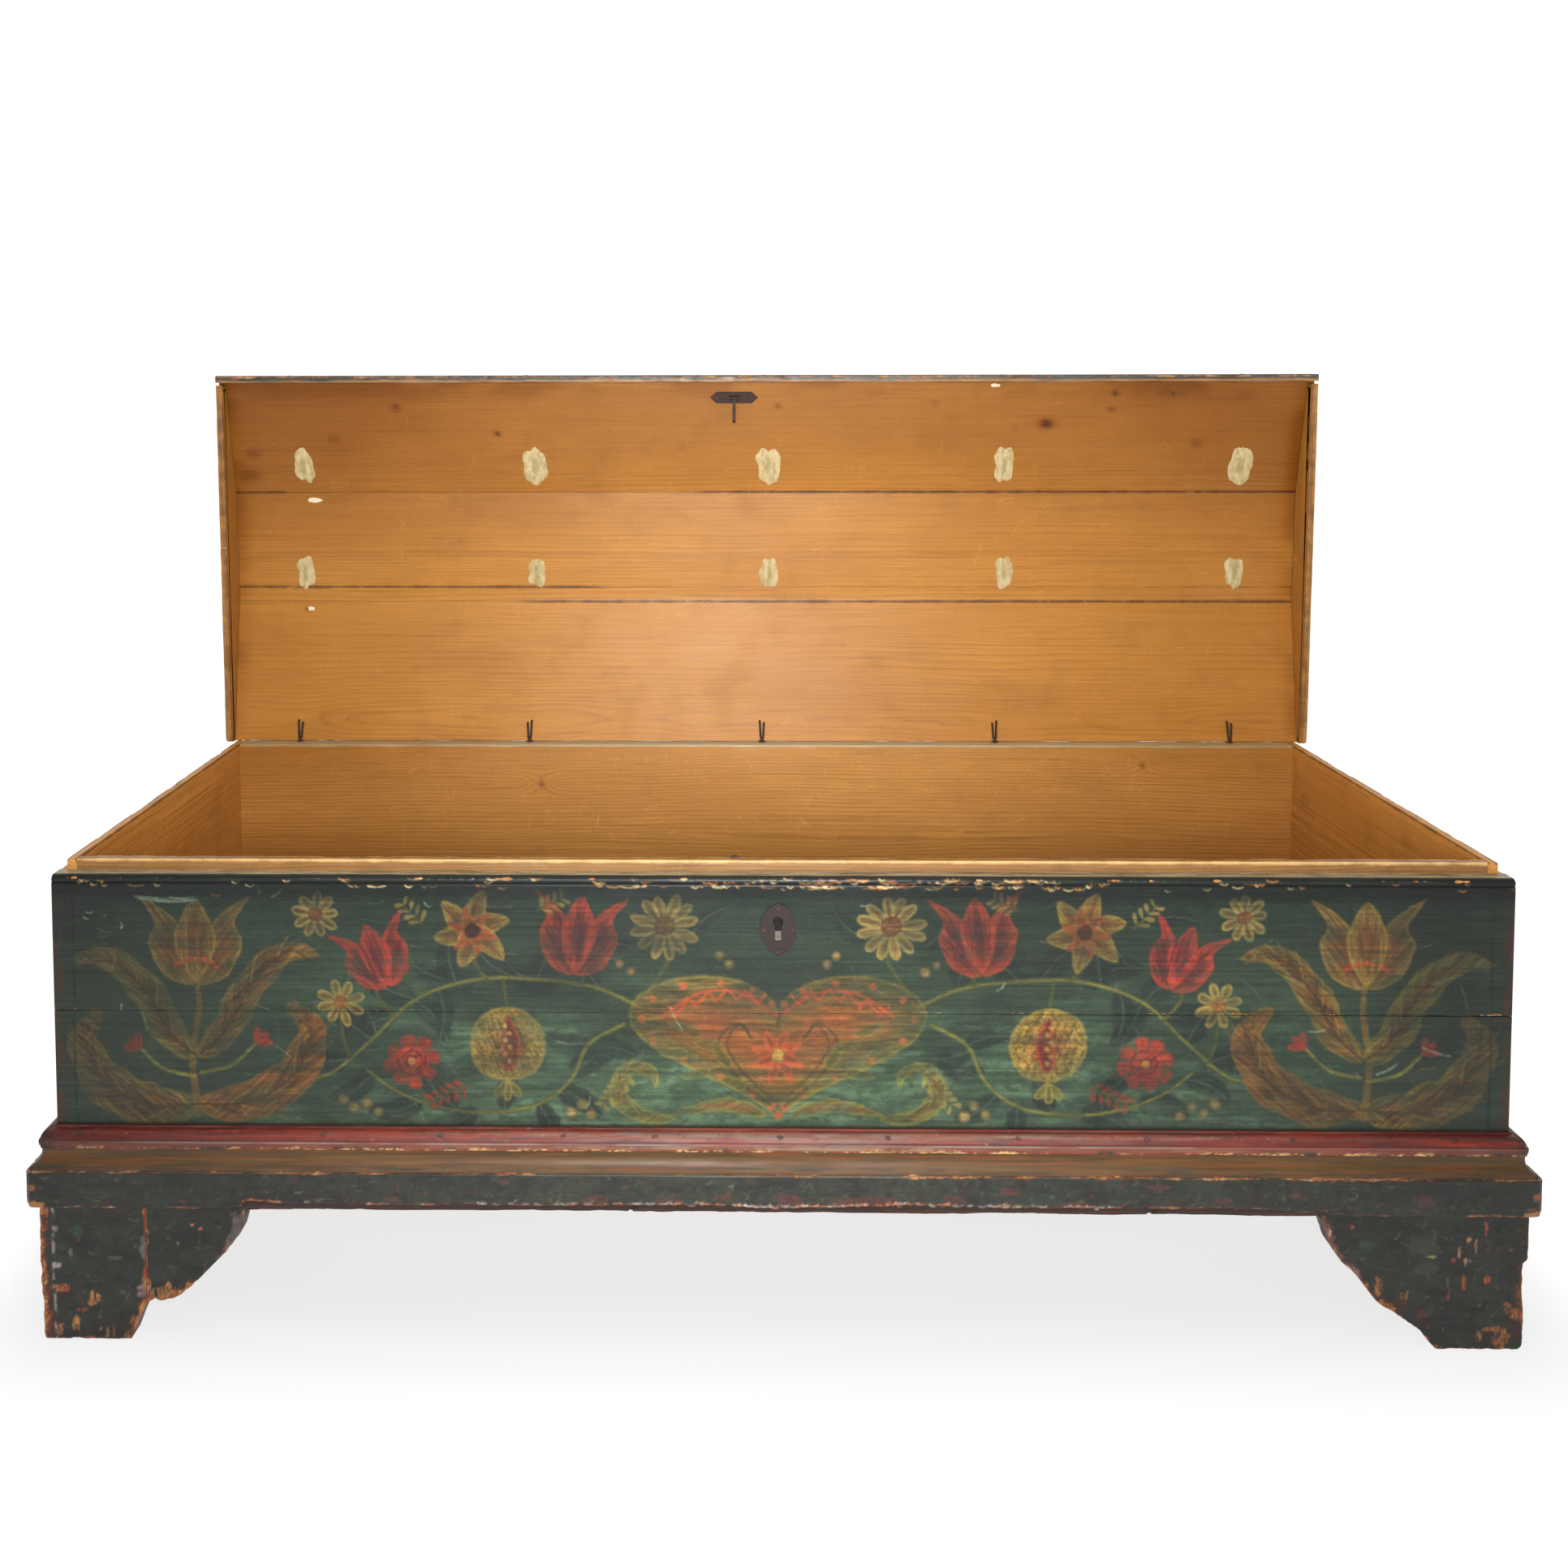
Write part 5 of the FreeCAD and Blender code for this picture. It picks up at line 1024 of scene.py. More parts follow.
        # ---- flowers over the upper arc
        flower_petals(cv, X(122), 461, 38, 12, 17, tone(CREAM, 0.84), tone(STRAW), tone(OCHRE, 1.1), sd + 150, 0.0, 0.2)
        paint_shape(cv, circle(X(122), 463, 11.5, seed=2), tone(RUST, 0.85), tone(MAROON), None, 0.88, 0, 1.3, 2, sd + 163, 0.25, 0.5, 0.5)
        tulip(cv, X(217), 454, 104, 90, tone(RED, 0.96), tone((196, 70, 46)), tone(MAROON, 1.25), sd + 170, rot=(0.10 if side > 0 else -0.10))
        flower_petals(cv, X(334), 457, 46, 6, 27, tone(GOLD), tone(STRAW), tone(RUST), sd + 190, 1.0, 0.26)
        flower_petals(cv, X(334), 457, 29, 6, 11, tone(RUST), tone(RED), None, sd + 200, 1.0, 0.26 + math.pi / 6, 0.85)
        paint_shape(cv, circle(X(334), 457, 8.5, seed=5), tone((48, 30, 28)), None, None, 0.9, 0, 1.3, 2, sd + 210, 0.2, 0.4)
        tulip(cv, X(440), 430, 86, 76, tone(ROSE, 1.08), tone(RED), tone(MAROON, 1.2), sd + 220, rot=(-0.35 if side > 0 else 0.35))
        flower_petals(cv, X(506), 474, 27, 9, 15, tone(STRAW, 0.9), tone(CREAM, 0.9), tone(OCHRE), sd + 240, 0.0, 0.1)
        paint_shape(cv, circle(X(506), 474, 8.0, seed=2), tone(RUST, 0.85), tone(MAROON), None, 0.85, 0, 1.3, 2, sd + 252, 0.25, 0.5, 0.4)
        # ---- fruit with a crown, hanging between the two arcs
        for q, da in enumerate((-0.6, 0.0, 0.6)):
            paint_shape(cv, drop(X(296), 290, 25, 14, A(-math.pi / 2 + da), q), tone(OLIVE, 1.1), tone(STRAW), None, 0.85,
                        A(1.5), 1.2, 2, sd + 255 + q, 0.3, 0.5)
        paint_shape(cv, circle(X(296), 330, 43, 41, wob=0.04, seed=sd), tone(GOLD, 0.92), tone(STRAW, 0.95), tone(RUST), 0.9,
                    A(1.2), 1.6, 3.4, sd + 260, 0.3, 0.5, 0.6)
        paint_shape(cv, leaf([(X(296), 300), (X(291), 330), (X(296), 362)], 19, 3, 0.0, 10, 0.8), tone(MAROON), tone(RED), None,
                    0.85, 1.57, 1.4, 2.4, sd + 264, 0.3, 0.5)
        berries(cv, M([(296 + (2.2 if q % 2 else -2.2), 310 + q * 8) for q in range(6)]), 2.7, tone(STRAW), None, sd + 268)
        # ---- small flowers inside and under the lower arc
        rose(cv, X(402), 310, 32, tone(RED, 0.9), tone(ROSE), tone(MAROON), sd + 280)
        flower_petals(cv, X(480), 376, 27, 8, 15, tone(CREAM, 0.8), tone(STRAW), tone(OCHRE), sd + 300, 0.0, 0.3)
        paint_shape(cv, circle(X(480), 376, 8, seed=2), tone(RUST), None, None, 0.85, 0, 1.3, 2, sd + 311, 0.25, 0.5, 0.4)
        # ---- leafy sprigs in straw and red
        for (bx, bz, ang, L, k, colr) in ((160, 300, -1.0, 58, 6, STRAW), (386, 462, 0.9, 40, 4, STRAW), (262, 480, 2.6, 34, 4, STRAW),
                                          (338, 284, -0.5, 50, 5, RED)):
            ex, ez = bx + L * math.cos(ang), bz + L * math.sin(ang) * 0.8
            paint_stroke(cv, M([(bx, bz), ((bx + ex) / 2 + 3, (bz + ez) / 2), (ex, ez)]), 2.2, 1.4, tone(OLIVE, 0.85), 0.8, sd + 320)
            for q in range(k):
                t = (q + 0.6) / k
                px, pz = bx + (ex - bx) * t, bz + (ez - bz) * t
                for sg in (-1, 1):
                    aa = ang + sg * 0.95
                    paint_shape(cv, drop(X(px), pz, 15 - 4 * t, 6.6, A(aa), q), tone(colr, 0.92), None, None, 0.85, A(aa), 1.0, 1.6,
                                sd + 325 + q + 20 * (sg > 0), 0.3, 0.4, 0.2)
        berries(cv, M([(214, 262), (226, 252), (204, 250)]), 6.0, tone(CREAM, 0.9), tone(RUST), sd + 350)
        berries(cv, M([(452, 262), (466, 256), (440, 252), (478, 266)]), 5.6, tone(CREAM, 0.85), tone(RUST), sd + 355)
        berries(cv, M([(160, 412), (172, 420), (62, 430), (52, 420)]), 4.8, tone(CREAM, 0.85), tone(RUST), sd + 360)
    # ---- broad heart in the middle with a looped edging
    paint_shape(cv, heart(0, 325, 330, 168), OCHRE, (146, 128, 58), (138, 78, 40), 0.84, 0.03, 1.8, 3.2, 700, 0.42, 0.95, 0.2)
    inner = heart(0, 327, 252, 124)
    paint_shape(cv, inner, (132, 80, 40), (84, 64, 36), (156, 76, 42), 0.6, 0.03, 3.0, 3.0, 705, 0.4, 0.9, 0.2)
    for k in range(26):
        t = (k + 0.5) / 26 * 2 * np.pi
        hx = 16 * math.sin(t) ** 3 / 32.0 * 300
        hz = 325 + (13 * math.cos(t) - 5 * math.cos(2 * t) - 2 * math.cos(3 * t) - math.cos(4 * t) + 2.5) / 29.0 * 150
        paint_shape(cv, circle(hx, hz, 4.2, seed=k), (176, 84, 48), (196, 86, 52), None, 0.75, 0.4, 1.1, 1.6, 800 + k, 0.35, 0.5)
    for sgn in (-1, 1):
        paint_stroke(cv, [(sgn * 6, 366), (sgn * 42, 388), (sgn * 86, 388), (sgn * 126, 362)], 3.0, 2.4, (188, 72, 44), 0.8, 710)
        for q in range(10):
            t = (q + 0.5) / 10
            px = sgn * (14 + 108 * t)
            pz = 380 + 9 * math.sin(math.pi * min(1.0, t * 1.1)) - 14 * t * t
            up_ = 11 if q % 2 else -11
            paint_stroke(cv, [(px - sgn * 5.4, pz - up_ / 2), (px, pz + up_ / 6), (px + sgn * 5.4, pz + up_ / 2)], 2.4, 1.8, (192, 74, 46), 0.8, 715 + q,
                         1.0, 0.3, 5)
        for dz_, wd in ((0, 3.4), (10, 2.0)):
            pts = [(sgn * (8 + dz_ * 0.2), 262 + dz_), (sgn * (42 - dz_ * 0.3), 290 + dz_), (sgn * (66 - dz_), 330), (sgn * (46 - dz_ * 0.4), 354),
                   (sgn * (28 + dz_ * 0.2), 338)]
            paint_stroke(cv, pts, wd, 1.8, (58, 54, 34), 0.62, 730)
        for q, (px, pz, a) in enumerate(((34, 282, 0.3), (52, 304, 0.9), (60, 326, 0.2), (84, 340, 0.4), (74, 300, -0.2), (98, 318, 0.1))):
            path = leaf([(sgn * px, pz), (sgn * (px + 16 * math.cos(a)), pz + 16 * math.sin(a)),
                         (sgn * (px + 34 * math.cos(a)), pz + 34 * math.sin(a))], 14, q, 0, 8, 0.7)
            paint_shape(cv, path, (80, 76, 40), (146, 132, 64), None, 0.62, 0.5, 1.3, 2, 735 + q, 0.3, 0.6)
        # scroll that carries the heart at each side
        sp = [(sgn * 112, 246), (sgn * 152, 250), (sgn * 176, 274), (sgn * 164, 302), (sgn * 138, 298), (sgn * 134, 280)]
        paint_shape(cv, leaf(sp, 20, 5, 0.05, 10, 0.7), OLIVE, (146, 132, 62), OCHRE, 0.82, 0.6, 1.5, 2.6, 745, 0.4, 0.8)
        hatch(cv, sp, 20, 12, [(146, 128, 60), SHADE], 750, 0.5)
        paint_shape(cv, leaf([(sgn * 12, 250), (sgn * 60, 262), (sgn * 118, 250)], 17, 6, 0.05, 10, 0.7), OLIVE, (140, 124, 60), RUST, 0.8,
                    0.4, 1.5, 2.4, 755, 0.4, 0.8)
    flower_petals(cv, 0, 318, 32, 8, 15, (168, 86, 48), (190, 76, 48), (140, 56, 38), 760, 1.0, 0.4, 0.82)
    paint_shape(cv, circle(0, 318, 8.5, seed=4), STRAW, RUST, None, 0.8, 0, 1.2, 2, 775, 0.2, 0.4, 0.5)
    paint_stroke(cv, [(0, 352), (2, 368), (0, 380)], 4, 3, (58, 52, 34), 0.6, 780)


def ageing_and_painted_shade(cv):
    X, Z = cv.X, cv.Z
    # the whole coat has faded and darkened unevenly, the grain shows through it; painted shade darkens it towards both
    # ends
    haze = fbm(X / 120.0, Z / 50.0, 21.0, 3, 41)
    k = (0.16 * sstep(0.45, 0.7, haze) * sstep(500, 300, Z))[..., None]
    cv.col[:] = cv.col * (1 - k) + np.array([84, 102, 86]) / 255.0 * k
    # painted shade towards both ends
    k = (0.36 * sstep(600, 800, np.abs(X)))[..., None]
    cv.col[:] = cv.col * (1 - k) + np.array([32, 36, 34]) / 255.0 * k
    k = (0.30 * sstep(0.5, 0.3, haze))[..., None]
    cv.col[:] = cv.col * (1 - k) + np.array([34, 42, 38]) / 255.0 * k
    # whole patches of the figures have thinned along the grain
    thin = fbm(X / 55.0, Z / 4.4, 27.0, 4, 44, 0.6)
    k = (0.28 * sstep(0.52, 0.72, thin))[..., None]
    cv.col[:] = cv.col * (1 - k) + np.array([46, 56, 48]) / 255.0 * k
    lines = fbm(X / 130.0, Z / 1.7, 31.0, 2, 43)
    cv.col[:] *= (1 - 0.12 * sstep(0.58, 0.72, lines))[..., None]
    cv.col[:] *= (1 + 0.08 * sstep(0.42, 0.3, lines))[..., None]
    speck = vn(X / 1.6, Z / 1.6, 5.0, 47)
    k = (sstep(0.965, 0.995, speck) * 0.35 * sstep(0.4, 0.7, fbm(X / 80, Z / 60, 2, 2, 48)))[..., None]
    cv.col[:] = cv.col * (1 - k) + np.array([150, 160, 140]) / 255.0 * k
    r = np.random.default_rng(11)
    for i in range(170):
        x, z = r.uniform(-790, 790), r.uniform(242, 500)
        scratch(cv, x, z, r.uniform(5, 34), r.choice([0.0, 0.2, -0.3, 1.2, 1.9, 2.4]) + r.normal(0, 0.15), r.uniform(0.8, 1.3),
                (120, 138, 122) if r.random() < 0.65 else (140, 104, 66), r.uniform(0.12, 0.42), 900 + i)
    # pale scuffs near the upper left corner
    for i, (x, z, L) in enumerate(((-707, 494, 60), (-704, 491.5, 66), (-690, 489.5, 46), (-668, 493, 26))):
        scratch(cv, x, z, L, -0.03 + 0.01 * i, 2.4 - 0.3 * i, (140, 162, 150), 0.7, 1100 + i)
    scratch(cv, -622, 496, 9, 0.0, 2.4, (180, 96, 58), 0.8, 1110)
    for i, (x, z, L, a) in enumerate(((-570, 498, 12, 1.9), (-556, 494, 14, 0.7), (-745, 472, 5, 0.2), (-388, 488, 9, -0.6),
                                      (-118, 372, 28, -1.1), (-212, 258, 14, 1.2), (240, 392, 12, 0.8), (322, 340, 10, 1.4),
                                      (-765, 470, 7, 0.0), (-762, 476, 8, 0.1), (580, 348, 18, 0.1), (655, 300, 26, 0.5),
                                      (705, 330, 30, -0.3), (-724, 458, 6, 1.5), (-725, 372, 7, -1.4), (90, 486, 12, 0.2))):
        scratch(cv, x, z, L, a, 1.4, (156, 170, 158), 0.65, 1120 + i)
    # joint between the two boards, and the corner joints showing through the paint
    seam = np.exp(-((Z - 365.5 - 0.6 * np.sin(X / 90.0)) / 0.9) ** 2) * (0.15 + 0.6 * sstep(60, 420, X)) * (
        0.4 + 0.6 * sstep(0.35, 0.55, fbm(X / 40.0, 0.0, 3.0, 3, 55)))
    cv.col[:] *= (1 - 0.6 * seam)[..., None]
    for sgn in (-1, 1):
        jx = sgn * (777.5 + 0.8 * np.sin(Z / 40.0))
        k = np.exp(-((X - jx) / 1.0) ** 2) * (0.35 + 0.5 * sstep(0.35, 0.6, fbm(Z / 18.0, sgn + 2.0, 1.0, 3, 57)))
        cv.col[:] *= (1 - 0.6 * k)[..., None]
        kk = (sstep(784, 799, np.abs(X)) * sstep(0.46, 0.66, fbm(Z / 14.0, X / 6.0, sgn * 3.0 + 7, 3, 58)) * 0.7)[..., None]
        cv.col[:] = cv.col * (1 - kk) + np.array([74, 38, 30]) / 255.0 * kk
    # dark line of dirt over the moulding and a drier band above it
    k = (np.exp(-((Z - 237.5) / 1.6) ** 2) * 0.75)[..., None]
    cv.col[:] = cv.col * (1 - k) + np.array([26, 24, 22]) / 255.0 * k
    # the bead and the rounded top edge: blue-grey painted highlight line, dashes of cream and orange
    k = (sstep(506.0, 508.5, Z) * 0.75)[..., None]
    cv.col[:] = cv.col * (1 - k) + np.array([44, 52, 46]) / 255.0 * k
    k = (np.exp(-((Z - 513.6) / 1.3) ** 2) * (0.3 + 0.5 * sstep(0.35, 0.6, fbm(X / 50.0, 0.0, 5.0, 3, 60))))[..., None]
    cv.col[:] = cv.col * (1 - k) + np.array([104, 118, 106]) / 255.0 * k
    k = (np.exp(-((Z - 509.6) / 0.9) ** 2) * 0.7)[..., None]
    cv.col[:] = cv.col * (1 - k) + np.array([30, 26, 22]) / 255.0 * k
    cv.col[:] = cv.col * np.array([0.95, 0.96, 0.87])
    # darker towards the top, slightly lighter low down, painted shade towards both ends
    cv.col[:] *= (1 + 0.02 * sstep(330, 260, Z) - 0.14 * sstep(400, 500, Z) - 0.40 * sstep(486, 500, Z) - 0.08 * sstep(620, 790, np.abs(X)))[..., None]
    clusters = ((-780, -732), (-322, -308), (-160, -150), (-135, -105), (-72, -45), (-76, 246), (246, 330))
    for i in range(420):
        x = r.uniform(-797, 797)
        dens = 0.16 + 0.75 * math.exp(-((x - 110) / 170.0) ** 2)
        for ca, cb in clusters:
            if ca <= x <= cb:
                dens += 0.4
        if r.random() > dens:
            continue
        z = r.choice([511.2, 507.0, 514.2, 504.6], p=[0.40, 0.34, 0.18, 0.08]) + r.normal(0, 0.5)
        L = min(22.0, 3.0 + r.exponential(5.0))
        c = ((206, 176, 120), (184, 116, 60), (150, 84, 44))[int(r.choice([0, 1, 2], p=[0.45, 0.35, 0.2]))]
        scratch(cv, x, z, L, r.normal(0, 0.015), r.uniform(1.2, 2.2), c, r.uniform(0.45, 0.95), 1300 + i)


def scratch(cv, x, z, L, ang, wd, col, alpha, seed):
    a, b = math.cos(ang), math.sin(ang)
    paint_stroke(cv, [(x, z), (x + L * 0.5 * a + 1.5 * b, z + L * 0.5 * b - 1.5 * a), (x + L * a, z + L * b)], wd, wd * 0.4, col,
                 alpha, seed, 0.8, 0.5, 4)


def blob(cv, x, z, rx, rz, col, alpha, seed, rough=0.5, grain=(5.0, 3.0), streak=False):
    """Irregular patch."""
    w = cv.window(x - rx * 1.8 - 2, x + rx * 1.8 + 2, z - rz * 1.8 - 2, z + rz * 1.8 + 2)
    if w is None:
        return
    X, Z = cv.X[w], cv.Z[w]
    d = np.sqrt(((X - x) / rx) ** 2 + ((Z - z) / rz) ** 2)
    n = fbm(X / max(3.0, rx * 0.7), Z / max(3.0, rz * 0.7), seed, 3, seed) - 0.5
    f = fbm(X / grain[0], Z / grain[1], seed + 2.0, 3, seed + 5, 0.65) - 0.5
    m = sstep(0.12, -0.12, d - 1 + n * rough * 2.2 + f * 0.9)
    c = np.asarray(col, float) / 255.0 * (0.72 + 0.56 * fbm(X / grain[0] * 1.7, Z / grain[1] * 1.7, seed + 6.0, 3, seed + 8))[..., None]
    if streak and col[0] > 1.35 * col[2] and col[0] > 110 and rx * rz > 9:
        st_ = fbm(X / 2.0, Z / 7.0, seed + 9.0, 3, seed + 11, 0.6)
        m = m * sstep(0.34, 0.5, st_)
        cv.lost[w] = np.maximum(cv.lost[w], np.clip(m * alpha, 0, 1))
    cv.blend(w, np.clip(m * alpha, 0, 1), np.clip(c, 0, 1))


def lose(cv, dist, reach, bias, seed, bare=(190, 130, 74), under=(136, 58, 38), gx=16.0, gz=9.0, fx=4.5, fz=2.6, fringe=0.32, amt=1.0,
         wood=1.0):
    """Paint worn away near an arris whose distance field is dist."""
    X, Z = cv.X, cv.Z
    g_ = fbm(X / gx, Z / gz, seed * 1.7, 4, seed, 0.6)
    f_ = fbm(X / fx, Z / fz, seed * 0.9 + 3, 3, seed + 7, 0.65)
    t = (1 - dist / reach) + (g_ - 0.5) * 3.0 + (f_ - 0.5) * 1.3 - bias
    near = sstep(reach * 3.2, reach * 1.6, dist)
    t = np.where(near > 0, t, -9.0)
    prim = sstep(-fringe, -fringe * 0.2, t) * near * amt
    bare_m = sstep(0.0, 0.16, t) * near * amt * wood
    v = fbm(X / 3.0, Z / 2.4, seed + 9.0, 3, seed + 12, 0.65)
    w_ = fbm(X / 12.0, Z / 2.0, seed + 15.0, 3, seed + 13, 0.6)
    uc = np.asarray(under, float) / 255.0 * (0.55 + 0.8 * v)[..., None]
    bc = np.asarray(bare, float) / 255.0 * (0.55 + 0.8 * w_)[..., None]
    pit = sstep(0.56, 0.7, v)[..., None] * 0.8
    bc = bc * (1 - pit) + np.array([48, 28, 18]) / 255.0 * pit
    pale = (sstep(0.66, 0.78, fbm(X / 5.0, Z / 4.0, seed + 21.0, 3, seed + 17)) * 0.8)[..., None]
    bc = bc * (1 - pale) + np.array([216, 186, 150]) / 255.0 * pale
    cv.col[:] = cv.col * (1 - prim[..., None] * 0.85) + uc * prim[..., None] * 0.85
    cv.col[:] = cv.col * (1 - bare_m[..., None]) + bc * bare_m[..., None]
    cv.lost = np.maximum(getattr(cv, "lost", np.zeros_like(X)), bare_m)


def charcoal(cv, seed, k=1.0):
    """Dark green-grey coat with the grain and old brush work in it, with painted light near the middle."""
    X, Z = cv.X, cv.Z
    a = fbm(X / 46.0, Z / 24.0, seed, 4, seed)
    b = fbm(X / 14.0, Z / 9.0, seed + 3.0, 4, seed + 1, 0.62)
    c = fbm(X / 3.0, Z / 2.2, seed + 5.0, 3, seed + 2, 0.65)
    e = fbm(X / 60.0, Z / 2.4, seed + 7.0, 3, seed + 3)
    col = np.zeros(X.shape + (3,)) + np.array([46, 48, 42]) / 255.0

    def lay(cc, kk, col):
        kk = np.clip(kk, 0, 1)[..., None]
        return col * (1 - kk) + np.array(cc) / 255.0 * kk
    col = lay((54, 56, 47), sstep(0.42, 0.62, a), col)
    col = lay((46, 58, 47), sstep(0.55, 0.72, b) * 0.55, col)
    col = lay((56, 46, 40), sstep(0.56, 0.7, fbm(X / 22.0, Z / 16.0, seed + 11.0, 3, seed + 5)) * 0.55, col)
    col = lay((34, 35, 31), sstep(0.5, 0.3, b) * 0.5, col)
    col = col * (0.84 + 0.32 * c)[..., None] * (0.93 + 0.14 * e)[..., None]
    # painted light: brightest near the middle, painted shade towards both ends
    k = k * (0.80 + 0.18 * sstep(640, 200, np.abs(X - 30.0)))[..., None]
    cv.col[:] = np.clip(col * k, 0, 1)
    cv.lost = np.zeros_like(X)


def flecks(cv, n, seed, xr, zr, cols, lmin=2.0, lmax=9.0, wmin=1.0, wmax=1.8, alpha=(0.3, 0.8), angs=(0.6, 2.3, 1.3, 0.1), spread=0.35):
    r = np.random.default_rng(seed)
    for i in range(n):
        c = cols[int(r.integers(len(cols)))]
        scratch(cv, r.uniform(*xr), r.uniform(*zr), r.uniform(lmin, lmax), r.choice(angs) + r.normal(0, spread), r.uniform(wmin, wmax) * 0.85, c,
                r.uniform(*alpha) * r.uniform(0.3, 1.0), seed + i)


PALE = ((128, 138, 104), (112, 126, 96), (140, 134, 92), (96, 104, 88))
RUSTY = ((122, 48, 40), (96, 42, 36), (140, 62, 44))
PINK = ((176, 156, 150), (150, 120, 116), (190, 180, 170))


GRID = 1.15
cv = Canvas(-800.0, 800.0, 236.0, 520.0, GRID)
ground(cv)
ornament(cv)
ageing_and_painted_shade(cv)
CANVAS = srgb(np.clip(cv.col, 0, 1))


def canvas_at(x, z):
    """Bilinear read of the ornament at case coordinates."""
    fx = np.clip((x - cv.x0) / cv.d, 0, len(cv.x) - 1.001)
    fz = np.clip((z - cv.z0) / cv.d, 0, len(cv.z) - 1.001)
    ix, iz = fx.astype(int), fz.astype(int)
    tx, tz = (fx - ix)[..., None], (fz - iz)[..., None]
    a = CANVAS[iz, ix] * (1 - tx) + CANVAS[iz, ix + 1] * tx
    b = CANVAS[iz + 1, ix] * (1 - tx) + CANVAS[iz + 1, ix + 1] * tx
    c = a * (1 - tz) + b * tz
    return np.concatenate([c, np.ones(c.shape[:-1] + (1,))], -1)


def front_colour(T, U, W):
    return canvas_at(T, W)


# ------------------------------------------------------------------ materials
def front_material():
    m = Mat("front_paint")
    col = m.attr("paint", "Color")
    grain = m.noise(stretch("x", 120, 0.8), 3.0, 0.6)
    fine = m.noise((1 / 2.4, 1 / 2.4, 1 / 1.6), 3.0, 0.7)
    wide = m.noise(stretch("x", 160, 20), 3.0, 0.6)
    col = m.mix(m.rng(grain, 0.42, 0.72, 0.0, 0.2), col, (0.004, 0.006, 0.005, 1))
    col = m.mix(m.rng(grain, 0.3, 0.42, 0.08, 0.0), col, C(118, 128, 100))
    col = m.mix(m.rng(fine, 0.58, 0.74, 0.0, 0.22), col, (0.004, 0.006, 0.005, 1))
    col = m.mix(m.rng(fine, 0.26, 0.38, 0.12, 0.0), col, C(150, 146, 108))
    chipd = m.attr("chipd")
    grit = m.noise((1 / 9.0, 1 / 9.0, 1 / 4.0), 4.0, 0.7)
    lost = m.rng(m.math("MULTIPLY_ADD", grit, 1.6, m.math("MULTIPLY", chipd, 1.7)), 1.55, 1.95)
    wood = m.mix(m.rng(grit, 0.4, 0.6), C(206, 172, 112), C(170, 98, 46))
    col = m.mix(lost, col, wood)
    top = m.attr("ledge")
    ledge = m.mix(m.rng(m.noise(stretch("x", 40, 5), 4.0, 0.66), 0.35, 0.7), C(176, 158, 122), C(104, 90, 66))
    ledge = m.mix(m.rng(fine, 0.5, 0.7, 0.0, 0.6), ledge, C(74, 66, 52))
    col = m.mix(m.rng(top, 0.35, 0.65), col, ledge)
    # the inner face is bare pine
    bare = m.mix(m.rng(m.noise(stretch("x", 420, 7), 3.0, 0.55, shift=(4.0, 1.0, 6.0)), 0.36, 0.66), C(184, 128, 66), C(132, 84, 40))
    bare = m.mix(m.rng(grain, 0.45, 0.75, 0.0, 0.4), bare, C(112, 70, 34))
    col = m.mix(m.rng(m.attr("inner"), 0.35, 0.65), col, bare)
    rough = m.rng(wide, 0.3, 0.75, 0.34, 0.52)
    rough = m.mixf(lost, rough, 0.75)
    h = m.math("ADD", m.math("MULTIPLY", grain, 0.6), m.math("MULTIPLY", lost, -1.0))
    nor = m.bump(h, 0.3, 0.0004)
    nor = m.bump(wide, 0.15, 0.001, nor)
    return m.finish(col, rough, nor, 0.3)


M_FRONT = front_material()
M_LID = pine("lid_pine", "x", light=(196, 134, 56), dark=(146, 86, 32), dirt=0.16, rough=0.42, seed=1.0, ring_gain=0.62, dirt_and_shade=True, seam=True,
             spec=0.22, grainy=0.62, even=0.35)
M_BACK = pine("back_pine", "x", light=(224, 164, 86), dark=(160, 98, 44), dirt=0.14, rough=0.44, seed=2.0, spec=0.36, dirt_and_shade=True, top_pale_and_lit=True,
              grainy=0.75, ring_gain=0.8)
M_SIDE = pine("side_pine", "y", light=(222, 160, 78), dark=(156, 96, 42), dirt=0.22, rough=0.55, seed=3.0)
M_CHEEK = pine("cheek_pine", "z", light=(198, 140, 62), dark=(132, 82, 34), dirt=0.3, rough=0.55, seed=4.0)
M_FLOOR_W = pine("bottom_pine", "x", has_rings=False, light=(168, 118, 66), dark=(110, 66, 32), dirt=0.6, rough=0.62, seed=5.0, marks=False)
M_ROUGH = pine("rough_pine", "x", has_rings=False, light=(150, 104, 60), dark=(98, 60, 32), dirt=0.7, rough=0.7, seed=6.0, marks=False)
M_BATTEN = pine("batten_pine", "x", light=(92, 52, 36), dark=(58, 32, 22), dirt=0.6, rough=0.6, seed=6.2, marks=False, dirt_and_shade=True,
                soil=(40, 26, 20), spec=0.25)
M_BLOCK = pine("block_pine", "z", has_rings=False, light=(146, 102, 60), dark=(92, 58, 32), dirt=0.7, rough=0.7, seed=6.5, marks=False)
# edge_col here: a pale painted highlight along the worn arrises
M_RIM = pine("rim_pine", "x", light=(160, 116, 64), dark=(108, 72, 36), dirt=0.5, rough=0.5, seed=7.0, soil=(84, 56, 36),
             edge_col=(232, 186, 120))


